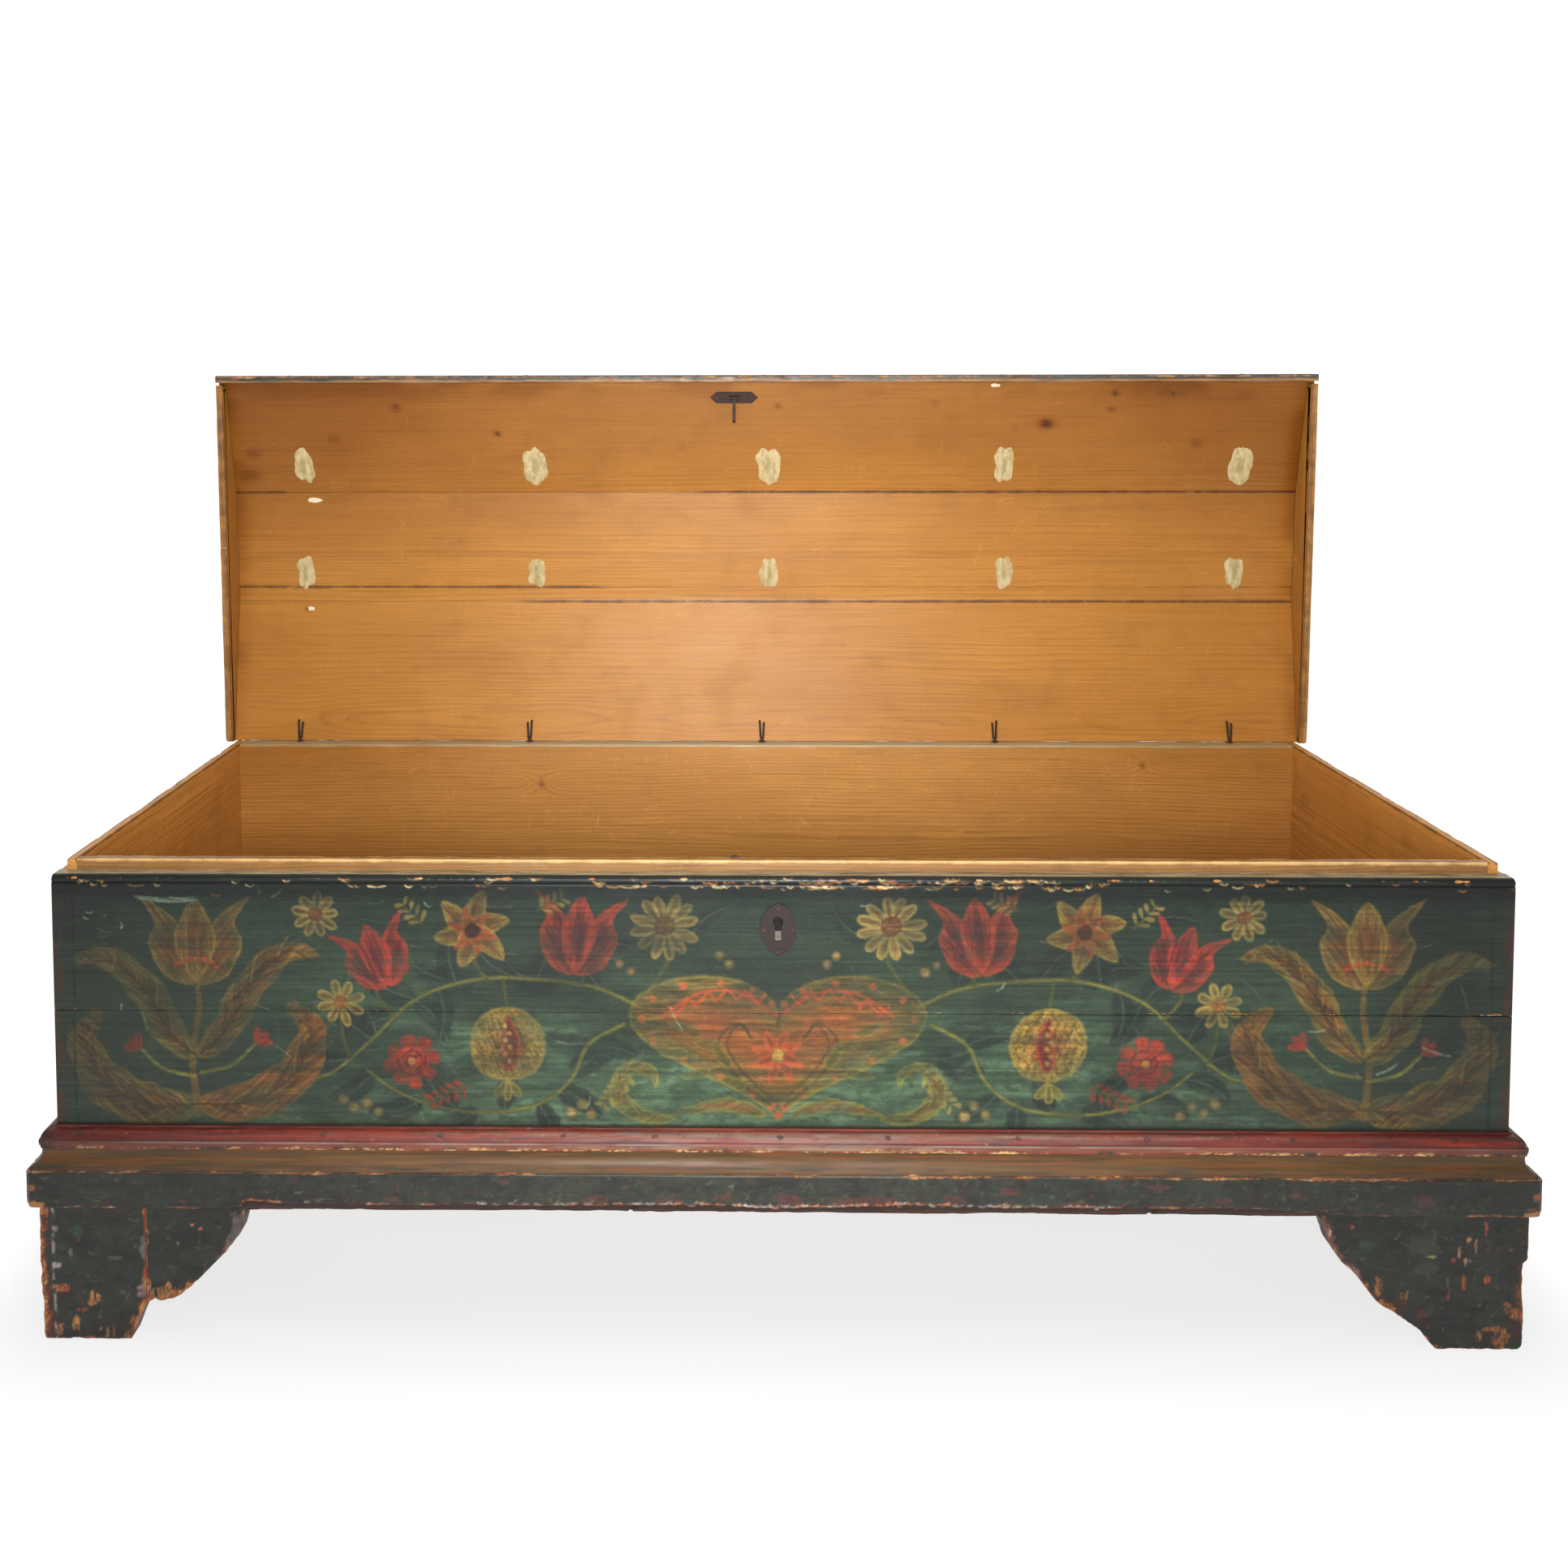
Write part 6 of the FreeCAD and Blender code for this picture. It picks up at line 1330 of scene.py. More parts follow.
def rubbed(axis, seed, k=1.0):
    """Rubbed streaks, dull patches and small losses over a plain painted face."""
    def tint(m, col, sh):
        a = m.noise(stretch(axis, 85, 7), 4.0, 0.62, shift=(3.0 + seed, 8.0, 1.0))
        b = m.noise(stretch(axis, 130, 90), 4.0, 0.6, shift=(6.0, 2.0 + seed, 9.0))
        c = m.noise(stretch(axis, 34, 2.2), 3.0, 0.6, shift=(1.0, 7.0, 2.0 + seed))
        col = m.mix(m.rng(b, 0.42, 0.66, 0.0, 0.5 * k), col, C(36, 44, 40))
        col = m.mix(m.math("MULTIPLY", m.rng(a, 0.56, 0.72, 0.0, 0.55 * k), m.rng(b, 0.3, 0.55, 1.0, 0.35)), col, C(112, 116, 92))
        gone = m.math("MULTIPLY", m.rng(c, 0.63, 0.68), m.rng(b, 0.38, 0.50, 1.0, 0.0))
        return m.mix(m.math("MULTIPLY", gone, 0.8), col, C(128, 78, 48))
    return tint


M_GREEN_S = worn_paint("side_green_paint", (42, 54, 46), (62, 78, 64), (120, 62, 42), (184, 130, 74), "y", 7.0, wear=1.0, chips=0.9,
                       tint=rubbed("y", 4.0, 0.8))
M_GREEN_L = worn_paint("lid_green_paint", (44, 58, 50), (66, 84, 72), (124, 66, 42), (190, 138, 80), "x", 8.0, wear=1.2, chips=1.1,
                       tint=rubbed("x", 0.0))


def iron(name, base=(48, 35, 29), rust=(78, 46, 30), rough=0.62, metal=0.15):
    m = Mat(name)
    a = m.noise((1 / 5.0,) * 3, 4.0, 0.7)
    b = m.noise((1 / 1.4,) * 3, 3.0, 0.7, shift=(3, 1, 2))
    col = m.mix(m.rng(a, 0.4, 0.66), C(*base), C(*rust))
    col = m.mix(m.rng(b, 0.5, 0.72, 0.0, 0.7), col, C(*[c * 0.4 for c in base]))
    nor = m.bump(m.math("ADD", a, m.math("MULTIPLY", b, 0.6)), 0.6, 0.0004)
    return m.finish(col, m.rng(a, 0.3, 0.7, rough - 0.12, rough + 0.15), nor, 0.35, m.rng(a, 0.45, 0.65, metal, metal * 0.3))


M_IRON = iron("wrought_iron")
M_ESC = iron("escutcheon_iron", (38, 30, 27), (48, 34, 29), 0.58, 0.04)
M_IRON_D = iron("dark_iron", (52, 42, 38), (92, 56, 40), 0.55)
M_NAIL = iron("painted_nails", (46, 48, 44), (96, 60, 42), 0.7)


def putty_mat():
    m = Mat("putty")
    a = m.noise((1 / 6.0, 1 / 6.0, 1 / 14.0), 4.0, 0.65)
    b = m.noise((1 / 2.0, 1 / 2.0, 1 / 5.0), 3.0, 0.6, shift=(1, 5, 2))
    core = m.attr("core")
    col = m.mix(m.rng(a, 0.35, 0.68), C(204, 186, 140), C(172, 148, 100))
    col = m.mix(m.math("MULTIPLY", m.rng(core, 0.3, 0.8), 0.6), col, C(152, 138, 88))
    col = m.mix(m.rng(b, 0.55, 0.75, 0.0, 0.5), col, C(150, 124, 84))
    col = m.mix(m.rng(core, -0.9, -0.3, 0.85, 0.0), col, C(236, 218, 186))
    nor = m.bump(m.math("ADD", a, b), 0.5, 0.0006)
    return m.finish(col, 0.85, nor, 0.2)


M_PUTTY = putty_mat()


def give(ob, mat, body, *nodes, slot=None):
    ob.data.materials.clear()
    ob.data.materials.append(mat)
    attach(ob, body)
    if nodes:
        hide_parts(*nodes)
    return ob


def node_mat(name, mat):
    ob = NODE[name]
    ob.data.materials.clear()
    ob.data.materials.append(mat)


# ------------------------------------------------------------------ case
def place_front(T, U, W):
    return case_pt(T, U, W)


# outer skin of the front boards: fine grid where the ornament lies
xs_fine = np.linspace(-800, 800, int(1600 / GRID) + 1)


def front_profile_upper():
    g = GRID
    pts = [(0.0, 365.7, 1, g), (0.0, 507.4, 0, 0.8), (0.35, 508.3, 0, 0.8), (1.25, 509.3, 0, 0.8), (0.95, 510.3, 0, 0.8),
           (0.35, 511.0, 0, 0.8), (0.15, 512.6, 0, 0.8), (0.7, 514.6, 1, 0.8), (2.2, 516.2, 0, 0.8), (4.6, 517.0, 0, 4.0),
           (21.0, 517.0, 0, 60.0), (21.0, 365.7, 0, 21.0)]
    return pts


def inner_face(T, U, W):
    return (U > 20.5) * (W < 516.5) * 1.0


up = sweep("front_board_top_piece", front_profile_upper(), xs_fine, place_front, 30.0, chip=1.6, chip_bias=0.52, chip_scale=20.0,
           seed=21, wob=0.10, colour=front_colour, edge_reach=2.6, sharp=50.0,
           extra={"ledge": lambda T, U, W: sstep(4.0, 9.0, U) * (W > 516.5), "inner": inner_face})


def keyhole_recess(ob, zc, rad, half, foot):
    """Sink the keyhole into the board: its floor is painted near black as painted shade, with paler wood low down."""
    bm = bmesh.new()
    bm.from_mesh(ob.data)
    inside = []
    for fc in bm.faces:
        c = fc.calc_center_median()
        x, y, z = c.x * 1000, c.y * 1000 - FY, c.z * 1000
        if abs(x) > 12 or abs(y) > 1.6 or not 440 < z < 480:
            continue
        if math.hypot(x, z - zc) < rad or (abs(x) < half and foot < z < zc):
            inside.append(fc)
    ret = bmesh.ops.extrude_face_region(bm, geom=inside)
    moved = [v for v in ret["geom"] if isinstance(v, bmesh.types.BMVert)]
    bmesh.ops.delete(bm, geom=inside, context="FACES")
    paint = bm.verts.layers.float_color["paint"]
    for v in moved:
        v.co.y += 0.007
        # painted shade: near black above, paler low down
        v[paint] = (0.20, 0.165, 0.13, 1.0) if v.co.z * 1000 < zc - 13.4 else (0.0015, 0.0015, 0.0015, 1.0)
    bm.to_mesh(ob.data)
    bm.free()


keyhole_recess(up, KEY_Z, KEY_R + 1.6, 3.6 + 1.3, KEY_FOOT - 1.2)
give(up, M_FRONT, "case", "front_board_upper", slot="painted_boards")
lo_pts = [(0.0, 155.5, 1, 40.0), (0.0, 236.5, 0, GRID), (0.0, 365.3, 1, 21.0), (21.0, 365.3, 0, 210.0), (21.0, 155.5, 0, 21.0)]
low = sweep("front_board_low_piece", lo_pts, xs_fine, place_front, 30.0, chip=0.25, chip_bias=0.5, seed=22, wob=0.10,
            colour=front_colour, edge_reach=1.0, sharp=50.0, extra={"ledge": lambda T, U, W: 0 * T, "inner": inner_face})
give(low, M_FRONT, "case", "front_board_lower", slot="painted_boards")

# end boards: bare inside, painted outside, with the raised rim
END_T, RIM, LEDGE = 19.0, 529.0, 517.0
ys_end = np.concatenate([np.arange(21.0, 560.0, 5.0), [560.0]])
for side, tag in ((-1, "left"), (1, "right")):
    xo, xi, xr = 800.0 * side, (800 - END_T) * side, (800 - 8.0) * side
    prof = rounded([(xi, 155.5, 0, 8.0), (xi, RIM, 1, 2.0), (xr, RIM, 1, 2.0), (xr, LEDGE + 0.0, 0, 2.0), (xo, LEDGE, 1, 8.0),
                    (xo, 155.5, 0, 10.0)], 1.6, 3)
    wd = {"pz": 300.0 if side < 0 else 240.0, "py": 26.0, "slope": 0.02, "spacing": 4.2, "seed": 31 + side, "wave": 10.0, "dip": 14.0}
    ob = sweep("end_board_" + tag + "_piece", prof, ys_end, lambda T, U, W: case_pt(U, T, W), 8.0, wood=wd, chip=1.8,
               chip_bias=0.5, seed=33 + side, wob=0.2, wood_map=lambda t, u, v: (t, np.abs(u) - 781.0, v),
               extra={"paintside": lambda T, U, W: np.clip((np.abs(U) - 798.0) / 1.5, 0, 1)}, edge_reach=4.0)
    ob.data.materials.append(M_SIDE)
    ob.data.materials.append(M_GREEN_S)
    idx = np.zeros(len(ob.data.polygons), np.int32)
    cen = np.zeros(len(ob.data.polygons) * 3, np.float32)
    ob.data.polygons.foreach_get("center", cen)
    cen = cen.reshape(-1, 3)
    nor = np.zeros(len(ob.data.polygons) * 3, np.float32)
    ob.data.polygons.foreach_get("normal", nor)
    nor = nor.reshape(-1, 3)
    idx[(nor[:, 0] * side > 0.5) & (cen[:, 2] < 0.5172)] = 1
    ob.data.polygons.foreach_set("material_index", idx)
    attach(ob, "case")
    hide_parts(tag + "_end_board")

# front lip of the rim
xs_rim = np.linspace(-781, 781, 521)
rim_prof = rounded([(21.0, 425.0, 0, 12.0), (21.0, 529.0, 1, 2.0), (32.0, 529.0, 1, 12.0), (32.0, 425.0, 0, 12.0)], 1.8, 3)
ob = sweep("front_rim_piece", rim_prof, xs_rim, place_front, 10.0, wood={"pz": 470.0, "py": 60.0, "spacing": 3.8, "seed": 41, "dip": 8.0},
           chip=2.0, chip_bias=0.5, chip_scale=30.0, seed=42, wob=0.25, edge_reach=3.0)
give(ob, M_RIM, "case", "front_rim_strip", slot="bare_pine")

# back boards
xs_back = np.linspace(-781, 781, 313)
# dirt_and_shade of the back boards: painted shade towards the ends and near the top of the inner face, dust over the
# outer face, darker towards its bottom and along the joint
back_extra = {"dirt_and_shade": lambda T, U, W: np.clip(0.30 * sstep(180, 760, np.abs(T - 20.0)) + 0.12 * fbm(T / 120.0, W / 60.0, 55.0, 3, 55) + 0.34 * sstep(
    420.0, 526.0, W) * (U < 556) + sstep(
    556.0, 559.0, U) * (0.66 + 0.6 * (fbm(T / 150.0, W / 46.0, 58.0, 4, 58) - 0.5) + 0.22 * sstep(210, 160, W) + 0.5 * sstep(
    3.0, 0.5, np.abs(W - 388.0))), 0, 1),
              "topk": lambda T, U, W: sstep(526.2, 528.6, W)}
ob = sweep("back_board_top_piece", [(538.0, 388.05, 0, 5.0), (538.0, 529.0, 1, 6.0), (560.0, 529.0, 0, 6.0), (560.0, 388.2, 0, 6.0)][::-1],
           xs_back, place_front, 5.0, wood={"pz": 384.0, "py": 545.0, "slope": -0.012, "spacing": 4.4, "seed": 51, "wave": 12.0,
                                            "dip": 15.0, "knots": ((-330, 470, 5.0), (560, 500, 4.0))},
           chip=2.2, chip_bias=0.45, chip_scale=34.0, seed=52, wob=0.2, edge_reach=3.0, extra=back_extra)
give(ob, M_BACK, "case", slot="bare_pine")
ob = sweep("back_board_low_piece", [(538.0, 155.5, 0, 8.0), (538.0, 387.95, 0, 6.0), (560.0, 387.8, 0, 8.0), (560.0, 155.5, 0, 8.0)][::-1],
           xs_back, place_front, 6.0, wood={"pz": 330.0, "py": 528.0, "slope": 0.02, "spacing": 4.6, "seed": 54, "wave": 10.0,
                                            "dip": 12.0},
           chip=0.4, seed=55, wob=0.2, edge_reach=3.0, extra=back_extra)
give(ob, M_BACK, "case", "back_board_lower", slot="bare_pine")

for n in ("bottom_board_front", "bottom_board_middle", "bottom_board_back"):
    node_mat(n, M_FLOOR_W)
for n in ("foot_back_left_rear", "foot_back_right_rear"):
    node_mat(n, M_ROUGH)
# battens under the front; their ends are set back, and darkened at the joints as painted shadow in the gaps
for tag, xa, xb in (("left", -585.5, -162.0), ("middle", -162.0, 405.0), ("right", 405.0, 588.5)):
    ends = [v for v in (xa, xb) if v in (-162.0, 405.0)]
    st_ = np.unique(np.concatenate([np.linspace(xa, xb, int((xb - xa) / 4.0))] + [v + np.linspace(-4, 4, 9) for v in ends]))
    st_ = st_[(st_ >= xa) & (st_ <= xb)]

    def batten_place(T, U, W, e=tuple(ends)):
        near = np.zeros_like(T)
        for v in e:
            near = np.maximum(near, sstep(2.6, 1.2, np.abs(T - v)))
        sag = 3.0 * np.clip(fbm(T / 60.0, 0.5, 9.0, 3, 59), 0, 1) * (W < 150)
        return case_pt(T, U + 4.0 * near * (U < -8), W + sag)
    ob = sweep("base_batten_" + tag + "_piece", [(-14.0, 147.5, 1, 2.0), (-14.0, 155.5, 0, 6.0), (28.0, 155.5, 0, 12.0), (28.0, 147.5, 0, 12.0)],
               st_, batten_place, 6.0, wood={"pz": 120.0, "py": 10.0, "spacing": 3.6, "seed": 57, "dip": 4.0}, chip=1.4, chip_bias=0.5,
               chip_scale=24.0, seed=58, wob=0.3, edge_reach=3.0,
               extra={"dirt_and_shade": lambda T, U, W, e=tuple(ends): np.clip(sum(sstep(3.2, 1.4, np.abs(T - v)) for v in e) + 0.0 * T, 0, 1)})
    give(ob, M_BATTEN, "case", "base_batten_" + tag, slot="bare_pine")
for n in ("glue_block_front_left", "glue_block_front_right", "glue_block_back_left", "glue_block_back_right"):
    node_mat(n, M_BLOCK)
node_mat("escutcheon", M_ESC)
for n in ("case_hinge_pins", "lid_hinge_pins", "hasp_plate", "hasp_staple", "lock_bolt"):
    node_mat(n, M_IRON)
for n in ("lock_plate", "lock_case", "lock_spring", "key_pin", "lock_nails", "hasp_nails", "escutcheon_nails"):
    node_mat(n, M_IRON_D)
for n in ("moulding_nails", "foot_nails", "back_board_nails", "lid_nails"):
    node_mat(n, M_NAIL)


# ------------------------------------------------------------------ base mouldings
def arc3(a, m, b, n=8):
    """Points from a to b through m, as a circular arc, without the last one."""
    ax, ay, bx, by, cx, cy = *a, *m, *b
    d = 2 * (ax * (by - cy) + bx * (cy - ay) + cx * (ay - by))
    ux = ((ax * ax + ay * ay) * (by - cy) + (bx * bx + by * by) * (cy - ay) + (cx * cx + cy * cy) * (ay - by)) / d
    uy = ((ax * ax + ay * ay) * (cx - bx) + (bx * bx + by * by) * (ax - cx) + (cx * cx + cy * cy) * (bx - ax)) / d
    r = math.hypot(ax - ux, ay - uy)
    t0, tm, t1 = (math.atan2(q - uy, p - ux) for p, q in (a, m, b))
    ccw = (bx - ax) * (cy - ay) - (by - ay) * (cx - ax) > 0
    if ccw:
        while t1 < t0:
            t1 += 2 * math.pi
    else:
        while t1 > t0:
            t1 -= 2 * math.pi
    return [(ux + r * math.cos(t0 + (t1 - t0) * i / n), uy + r * math.sin(t0 + (t1 - t0) * i / n)) for i in range(n)]


SH = 1.4                                   # mesh step over the shown faces


def red_prof():
    pts = [(0.0, 217.0, 0, 6.0), (16.2, 217.0, 1, SH), (16.5, 224.3, 1, SH)]
    pts += [(p[0], p[1], 0, SH) for p in arc3((15.3, 225.2), (11.8, 232.0), (2.6, 235.0), 8)]
    pts += [(2.6, 235.0, 0, 1.0), (2.6, 236.2, 0, 1.0), (1.6, 237.0, 1, 1.0), (0.0, 237.0, 0, 6.0)]
    return pts


def plinth_prof():
    pts = [(0.0, 155.5, 0, 8.0), (26.0, 155.5, 1, SH), (26.0, 196.0, 1, SH), (23.0, 196.4, 0, SH)]
    pts += [(p[0], p[1], 0, SH) for p in arc3((22.6, 196.8), (15.7, 203.6), (13.5, 213.0), 8)]
    pts += [(13.5, 213.0, 0, SH), (13.5, 217.0, 0, 4.0), (0.0, 217.0, 0, 10.0)]
    return pts


def plinth_edge(x):
    """Height of the ragged lower arris of the painted plinth between the feet."""
    x = np.asarray(x, float)
    wave = (fbm(x / 80.0, 0.5, 2.0, 3, 104) - 0.5) * 7.0 + (fbm(x / 11.0, 0.5, 4.0, 3, 105) - 0.5) * 1.8
    e = 162.6 + wave + 1.6 * bump1(x, 150, 70) - 1.0 * bump1(x, -60, 90)
    inside = sstep(-594, -586, x) * sstep(600, 592, x)
    return 155.5 + (np.clip(e, 158.5, 167.0) - 155.5) * inside


# painted surface of the plinth; the second axis is height plus the set-back of the profile
PL = Canvas(-830.0, 830.0, 150.0, 232.0, 1.2)
charcoal(PL, 61)
X, Z = PL.X, PL.Z
# painted shade towards both ends of the plinth
painted_end_shade = 1 - 0.16 * sstep(450, 800, np.abs(X))


def band(cv, za, zb, soft, col, k=1.0, var=0.3, seed=1, gx=60.0, gz=3.0):
    X, Z = cv.X, cv.Z
    m = sstep(za - soft, za + soft, Z) * (1 - sstep(zb - soft, zb + soft, Z)) * k
    c = np.asarray(col, float) / 255.0 * (1 + var * 2 * (fbm(X / gx, Z / gz, seed, 4, seed, 0.6) - 0.5))[..., None]
    cv.col[:] = cv.col * (1 - m[..., None]) + np.clip(c, 0, 1) * m[..., None]


flecks(PL, 330, 4100, (-815, 815), (162, 192), PALE, 2, 10, 0.9, 1.5, (0.15, 0.6))
flecks(PL, 60, 4600, (-815, 815), (160, 192), RUSTY, 2, 7, 1.2, 2.4, (0.25, 0.7))
for i, (x, z, rx, rz) in enumerate(((-120, 166, 14, 4), (12, 170, 18, 6), (95, 168, 30, 7), (190, 170, 14, 5), (-200, 169, 20, 4),
                                    (-60, 172, 9, 4), (250, 180, 10, 5), (320, 165, 18, 4), (480, 172, 10, 4), (-420, 168, 10, 3),
                                    (560, 178, 8, 4), (700, 172, 10, 6), (-300, 188, 8, 3), (410, 187, 12, 3))):
    blob(PL, x, z, rx, rz, (92, 52, 46), 0.62, 4700 + i)
band(PL, 199, 232, 1.5, (96, 74, 52), 1.0, 0.3, 62, 50, 4)
band(PL, 209, 232, 3.5, (94, 66, 28), 0.95, 0.32, 63, 70, 4)
band(PL, 222, 232, 3.0, (78, 56, 26), 0.75, 0.3, 64, 60, 3)
# painted highlight across the middle of the cove
k = (bump1(X, 60, 330) * sstep(199, 204, Z) * (1 - sstep(206, 214, Z)) * 0.55)[..., None]
PL.col[:] = PL.col * (1 - k) + np.array([136, 110, 82]) / 255.0 * k
k = (sstep(0.5, 0.7, fbm(X / 80.0, Z / 2.5, 65.0, 4, 65)) * sstep(200, 206, Z) * 0.6)[..., None]
PL.col[:] = PL.col * (1 - k) + np.array([132, 70, 34]) / 255.0 * k
k = (sstep(0.55, 0.7, fbm(X / 40.0, Z / 4.0, 66.0, 4, 66)) * sstep(200, 204, Z) * (1 - sstep(208, 216, Z)) * 0.6)[..., None]
PL.col[:] = PL.col * (1 - k) + np.array([66, 62, 54]) / 255.0 * k
lose(PL, np.abs(Z - 197.6), 3.2, 0.72, 67, (190, 130, 74), (120, 52, 32), 30, 7, 8, 2.0)
# pale line along the arris: worn paint, with a painted highlight stronger near the middle
k = (np.exp(-((Z - 197.0) / 0.9) ** 2) * (0.25 + 0.5 * sstep(0.4, 0.6, fbm(X / 60, 0.0, 3.0, 3, 68)) + 0.5 * bump1(X, 40, 260)))[..., None] * 0.6
PL.col[:] = PL.col * (1 - k) + np.array([160, 150, 132]) / 255.0 * k
EDGE = plinth_edge(X)
lose(PL, np.abs(Z - EDGE), 3.6, 0.98, 69, (186, 118, 66), (112, 46, 36), 26, 7, 6, 2.2)
strip = sstep(0.5, -0.5, Z - EDGE) * sstep(156.4, 157.2, EDGE)
tone_ = np.array([46, 26, 19]) / 255.0 * (0.8 + 0.4 * fbm(X / 20.0, Z / 2.0, 70.0, 3, 70))[..., None]
# painted shadow in the gaps between the battens
for ga_, gb_ in ((-160.5, -154.5), (407.0, 412.0)):
    tone_ = tone_ * (1 - 0.85 * sstep(ga_ - 0.8, ga_ + 0.3, X) * sstep(gb_ + 0.8, gb_ - 0.3, X))[..., None]
PL.col[:] = PL.col * (1 - strip[..., None]) + tone_ * strip[..., None]
for i in range(150):
    r_ = np.random.default_rng(4800 + i)
    xx = r_.uniform(-330, 360)
    scratch(PL, xx, float(plinth_edge(np.array([xx]))[0]) + r_.uniform(0.3, 3.0), r_.uniform(2, 9), r_.normal(0, 0.3), r_.uniform(1.0, 1.9),
            ((214, 204, 196), (190, 170, 156), (200, 110, 60))[int(r_.integers(3))], r_.uniform(0.4, 0.9), 4800 + i)
flecks(PL, 4, 4800, (-300, 330), (164, 168), ((214, 204, 196), (190, 170, 156), (200, 110, 60)), 2, 9, 1.0, 2.0, (0.4, 0.9), (0.0, 0.3, -0.3), 0.3)
flecks(PL, 60, 4980, (-815, 815), (162, 166), ((190, 176, 160), (170, 70, 50)), 2, 7, 1.0, 1.8, (0.3, 0.8), (0.0, 0.2), 0.2)
for sg in (-1, 1):                        # the ends are rubbed down to the wood
    e = np.maximum(0, 826 - sg * X)
    lose(PL, e, 6.5, 1.05, 71 + sg, (186, 116, 62), (122, 50, 34), 7, 13, 3.4, 4.0)
    blob(PL, sg * 816, 158.5, 13, 4.0, (196, 130, 72), 0.9, 4990 + sg)
    blob(PL, sg * 818, 178, 5, 3.4, (176, 92, 48), 0.8, 4994 + sg)
PL.col[:] *= painted_end_shade[..., None]
PL.lin = srgb(np.clip(PL.col, 0, 1))

# painted surface of the upper moulding
RD = Canvas(-822.0, 822.0, 212.0, 258.0, 1.2)
X, Z = RD.X, RD.Z
# painted shade towards both ends of the red moulding
painted_end_shade = 1 - 0.22 * sstep(400, 800, np.abs(X))
RD.col[:] = np.array([104, 38, 31]) / 255.0
RD.lost = np.zeros_like(X)
a = fbm(X / 120.0, Z / 5.0, 81.0, 4, 81)
b = fbm(X / 26.0, Z / 3.0, 82.0, 4, 82, 0.62)


def tintc(cv, col, m):
    m = np.clip(m, 0, 1)[..., None]
    cv.col[:] = cv.col * (1 - m) + np.asarray(col) / 255.0 * m


tintc(RD, (140, 46, 34), sstep(0.44, 0.66, a) * 0.85)
tintc(RD, (84, 32, 30), sstep(0.54, 0.7, b) * 0.75)
tintc(RD, (58, 34, 30), sstep(0.56, 0.7, fbm(X / 60.0, Z / 8.0, 83.0, 4, 83)) * 0.6)
# pale pinkish roll, these two lines: worn paint and a painted highlight over the middle
tintc(RD, (150, 118, 104), bump1(Z, 239.0, 4.6) * (0.14 + 0.95 * bump1(X, 40, 420)) * (0.45 + 0.8 * sstep(0.4, 0.62, b)))
tintc(RD, (132, 112, 98), bump1(Z, 236.0, 11.0) * bump1(X, 40, 360) * (0.3 + 0.6 * sstep(0.36, 0.6, fbm(X / 50.0, Z / 7.0, 89.0, 4, 89))))
tintc(RD, (190, 74, 48), sstep(0.5, 0.66, fbm(X / 90.0, Z / 2.0, 84.0, 3, 84)) * 0.35)
tintc(RD, (56, 34, 28), sstep(249.5, 252.0, Z) * 0.75)
tintc(RD, (150, 118, 96), bump1(Z, 249.0, 0.9) * 0.6 * sstep(0.35, 0.6, a))
tintc(RD, (150, 142, 132), bump1(Z, 225.4, 1.1) * (0.45 + 0.5 * sstep(0.38, 0.6, fbm(X / 70, 0.0, 5.0, 3, 85))))
tintc(RD, (44, 22, 20), bump1(Z, 227.6, 0.9) * 0.7)
tintc(RD, (106, 50, 38), (1 - sstep(223.6, 224.6, Z)) * sstep(218.0, 219.5, Z) * 0.85)
# pale band on the fillet: worn paint and a painted highlight over the middle
tintc(RD, (150, 128, 104), bump1(Z, 221.6, 2.6) * (0.15 + 0.85 * bump1(X, 30, 420)) * (0.4 + 0.6 * sstep(0.35, 0.6, b)))
tintc(RD, (50, 48, 38), sstep(0.58, 0.7, fbm(X / 30.0, 0.0, 86.0, 3, 86)) * (1 - sstep(220.0, 222.5, Z)) * 0.8)
lose(RD, np.abs(Z - 218.4), 2.6, 0.78, 87, (206, 160, 104), (150, 68, 40), 20, 8, 6, 2.2)
flecks(RD, 120, 5100, (-810, 810), (228, 248), ((60, 24, 22), (196, 150, 138), (40, 30, 28)), 1.5, 5, 0.9, 1.6, (0.3, 0.8))
for i in range(12):                       # nail heads showing as dark rings
    xx = (-770, -640, -500, -371, -236, -135, 2, 120, 262, 402, 560, 735)[i]
    blob(RD, xx, 237, 3.2, 3.4, (46, 34, 32), 0.75, 5300 + i, 0.25)
    blob(RD, xx + 0.4, 237.4, 1.6, 1.7, (120, 92, 88), 0.7, 5320 + i, 0.25)
for sg in (-1, 1):
    e = np.maximum(0, 816 - sg * X)
    lose(RD, e, 7.0, 0.9, 88 + sg, (178, 150, 128), (70, 40, 34), 7, 9, 3.0, 3.0, fringe=0.7)
    tintc(RD, (40, 30, 27), sstep(24, 4, e) * 0.6 * sstep(0.4, 0.6, b))
# painted shade towards both ends, lighter over the right part
RD.col[:] *= (painted_end_shade * (1 + 0.13 * sstep(300, 640, X)))[..., None]
RD.lin = srgb(np.clip(RD.col, 0, 1))


def sample(cv, x, z, key="lin"):
    src = getattr(cv, key)
    fx = np.clip((x - cv.x0) / cv.d, 0, len(cv.x) - 1.001)
    fz = np.clip((z - cv.z0) / cv.d, 0, len(cv.z) - 1.001)
    ix, iz = fx.astype(int), fz.astype(int)
    tx, tz = fx - ix, fz - iz
    if src.ndim == 3:
        tx, tz = tx[..., None], tz[..., None]
    c = (src[iz, ix] * (1 - tx) + src[iz, ix + 1] * tx) * (1 - tz) + (src[iz + 1, ix] * (1 - tx) + src[iz + 1, ix + 1] * tx) * tz
    if src.ndim == 3:
        c = np.concatenate([c, np.ones(c.shape[:-1] + (1,))], -1)
    return c


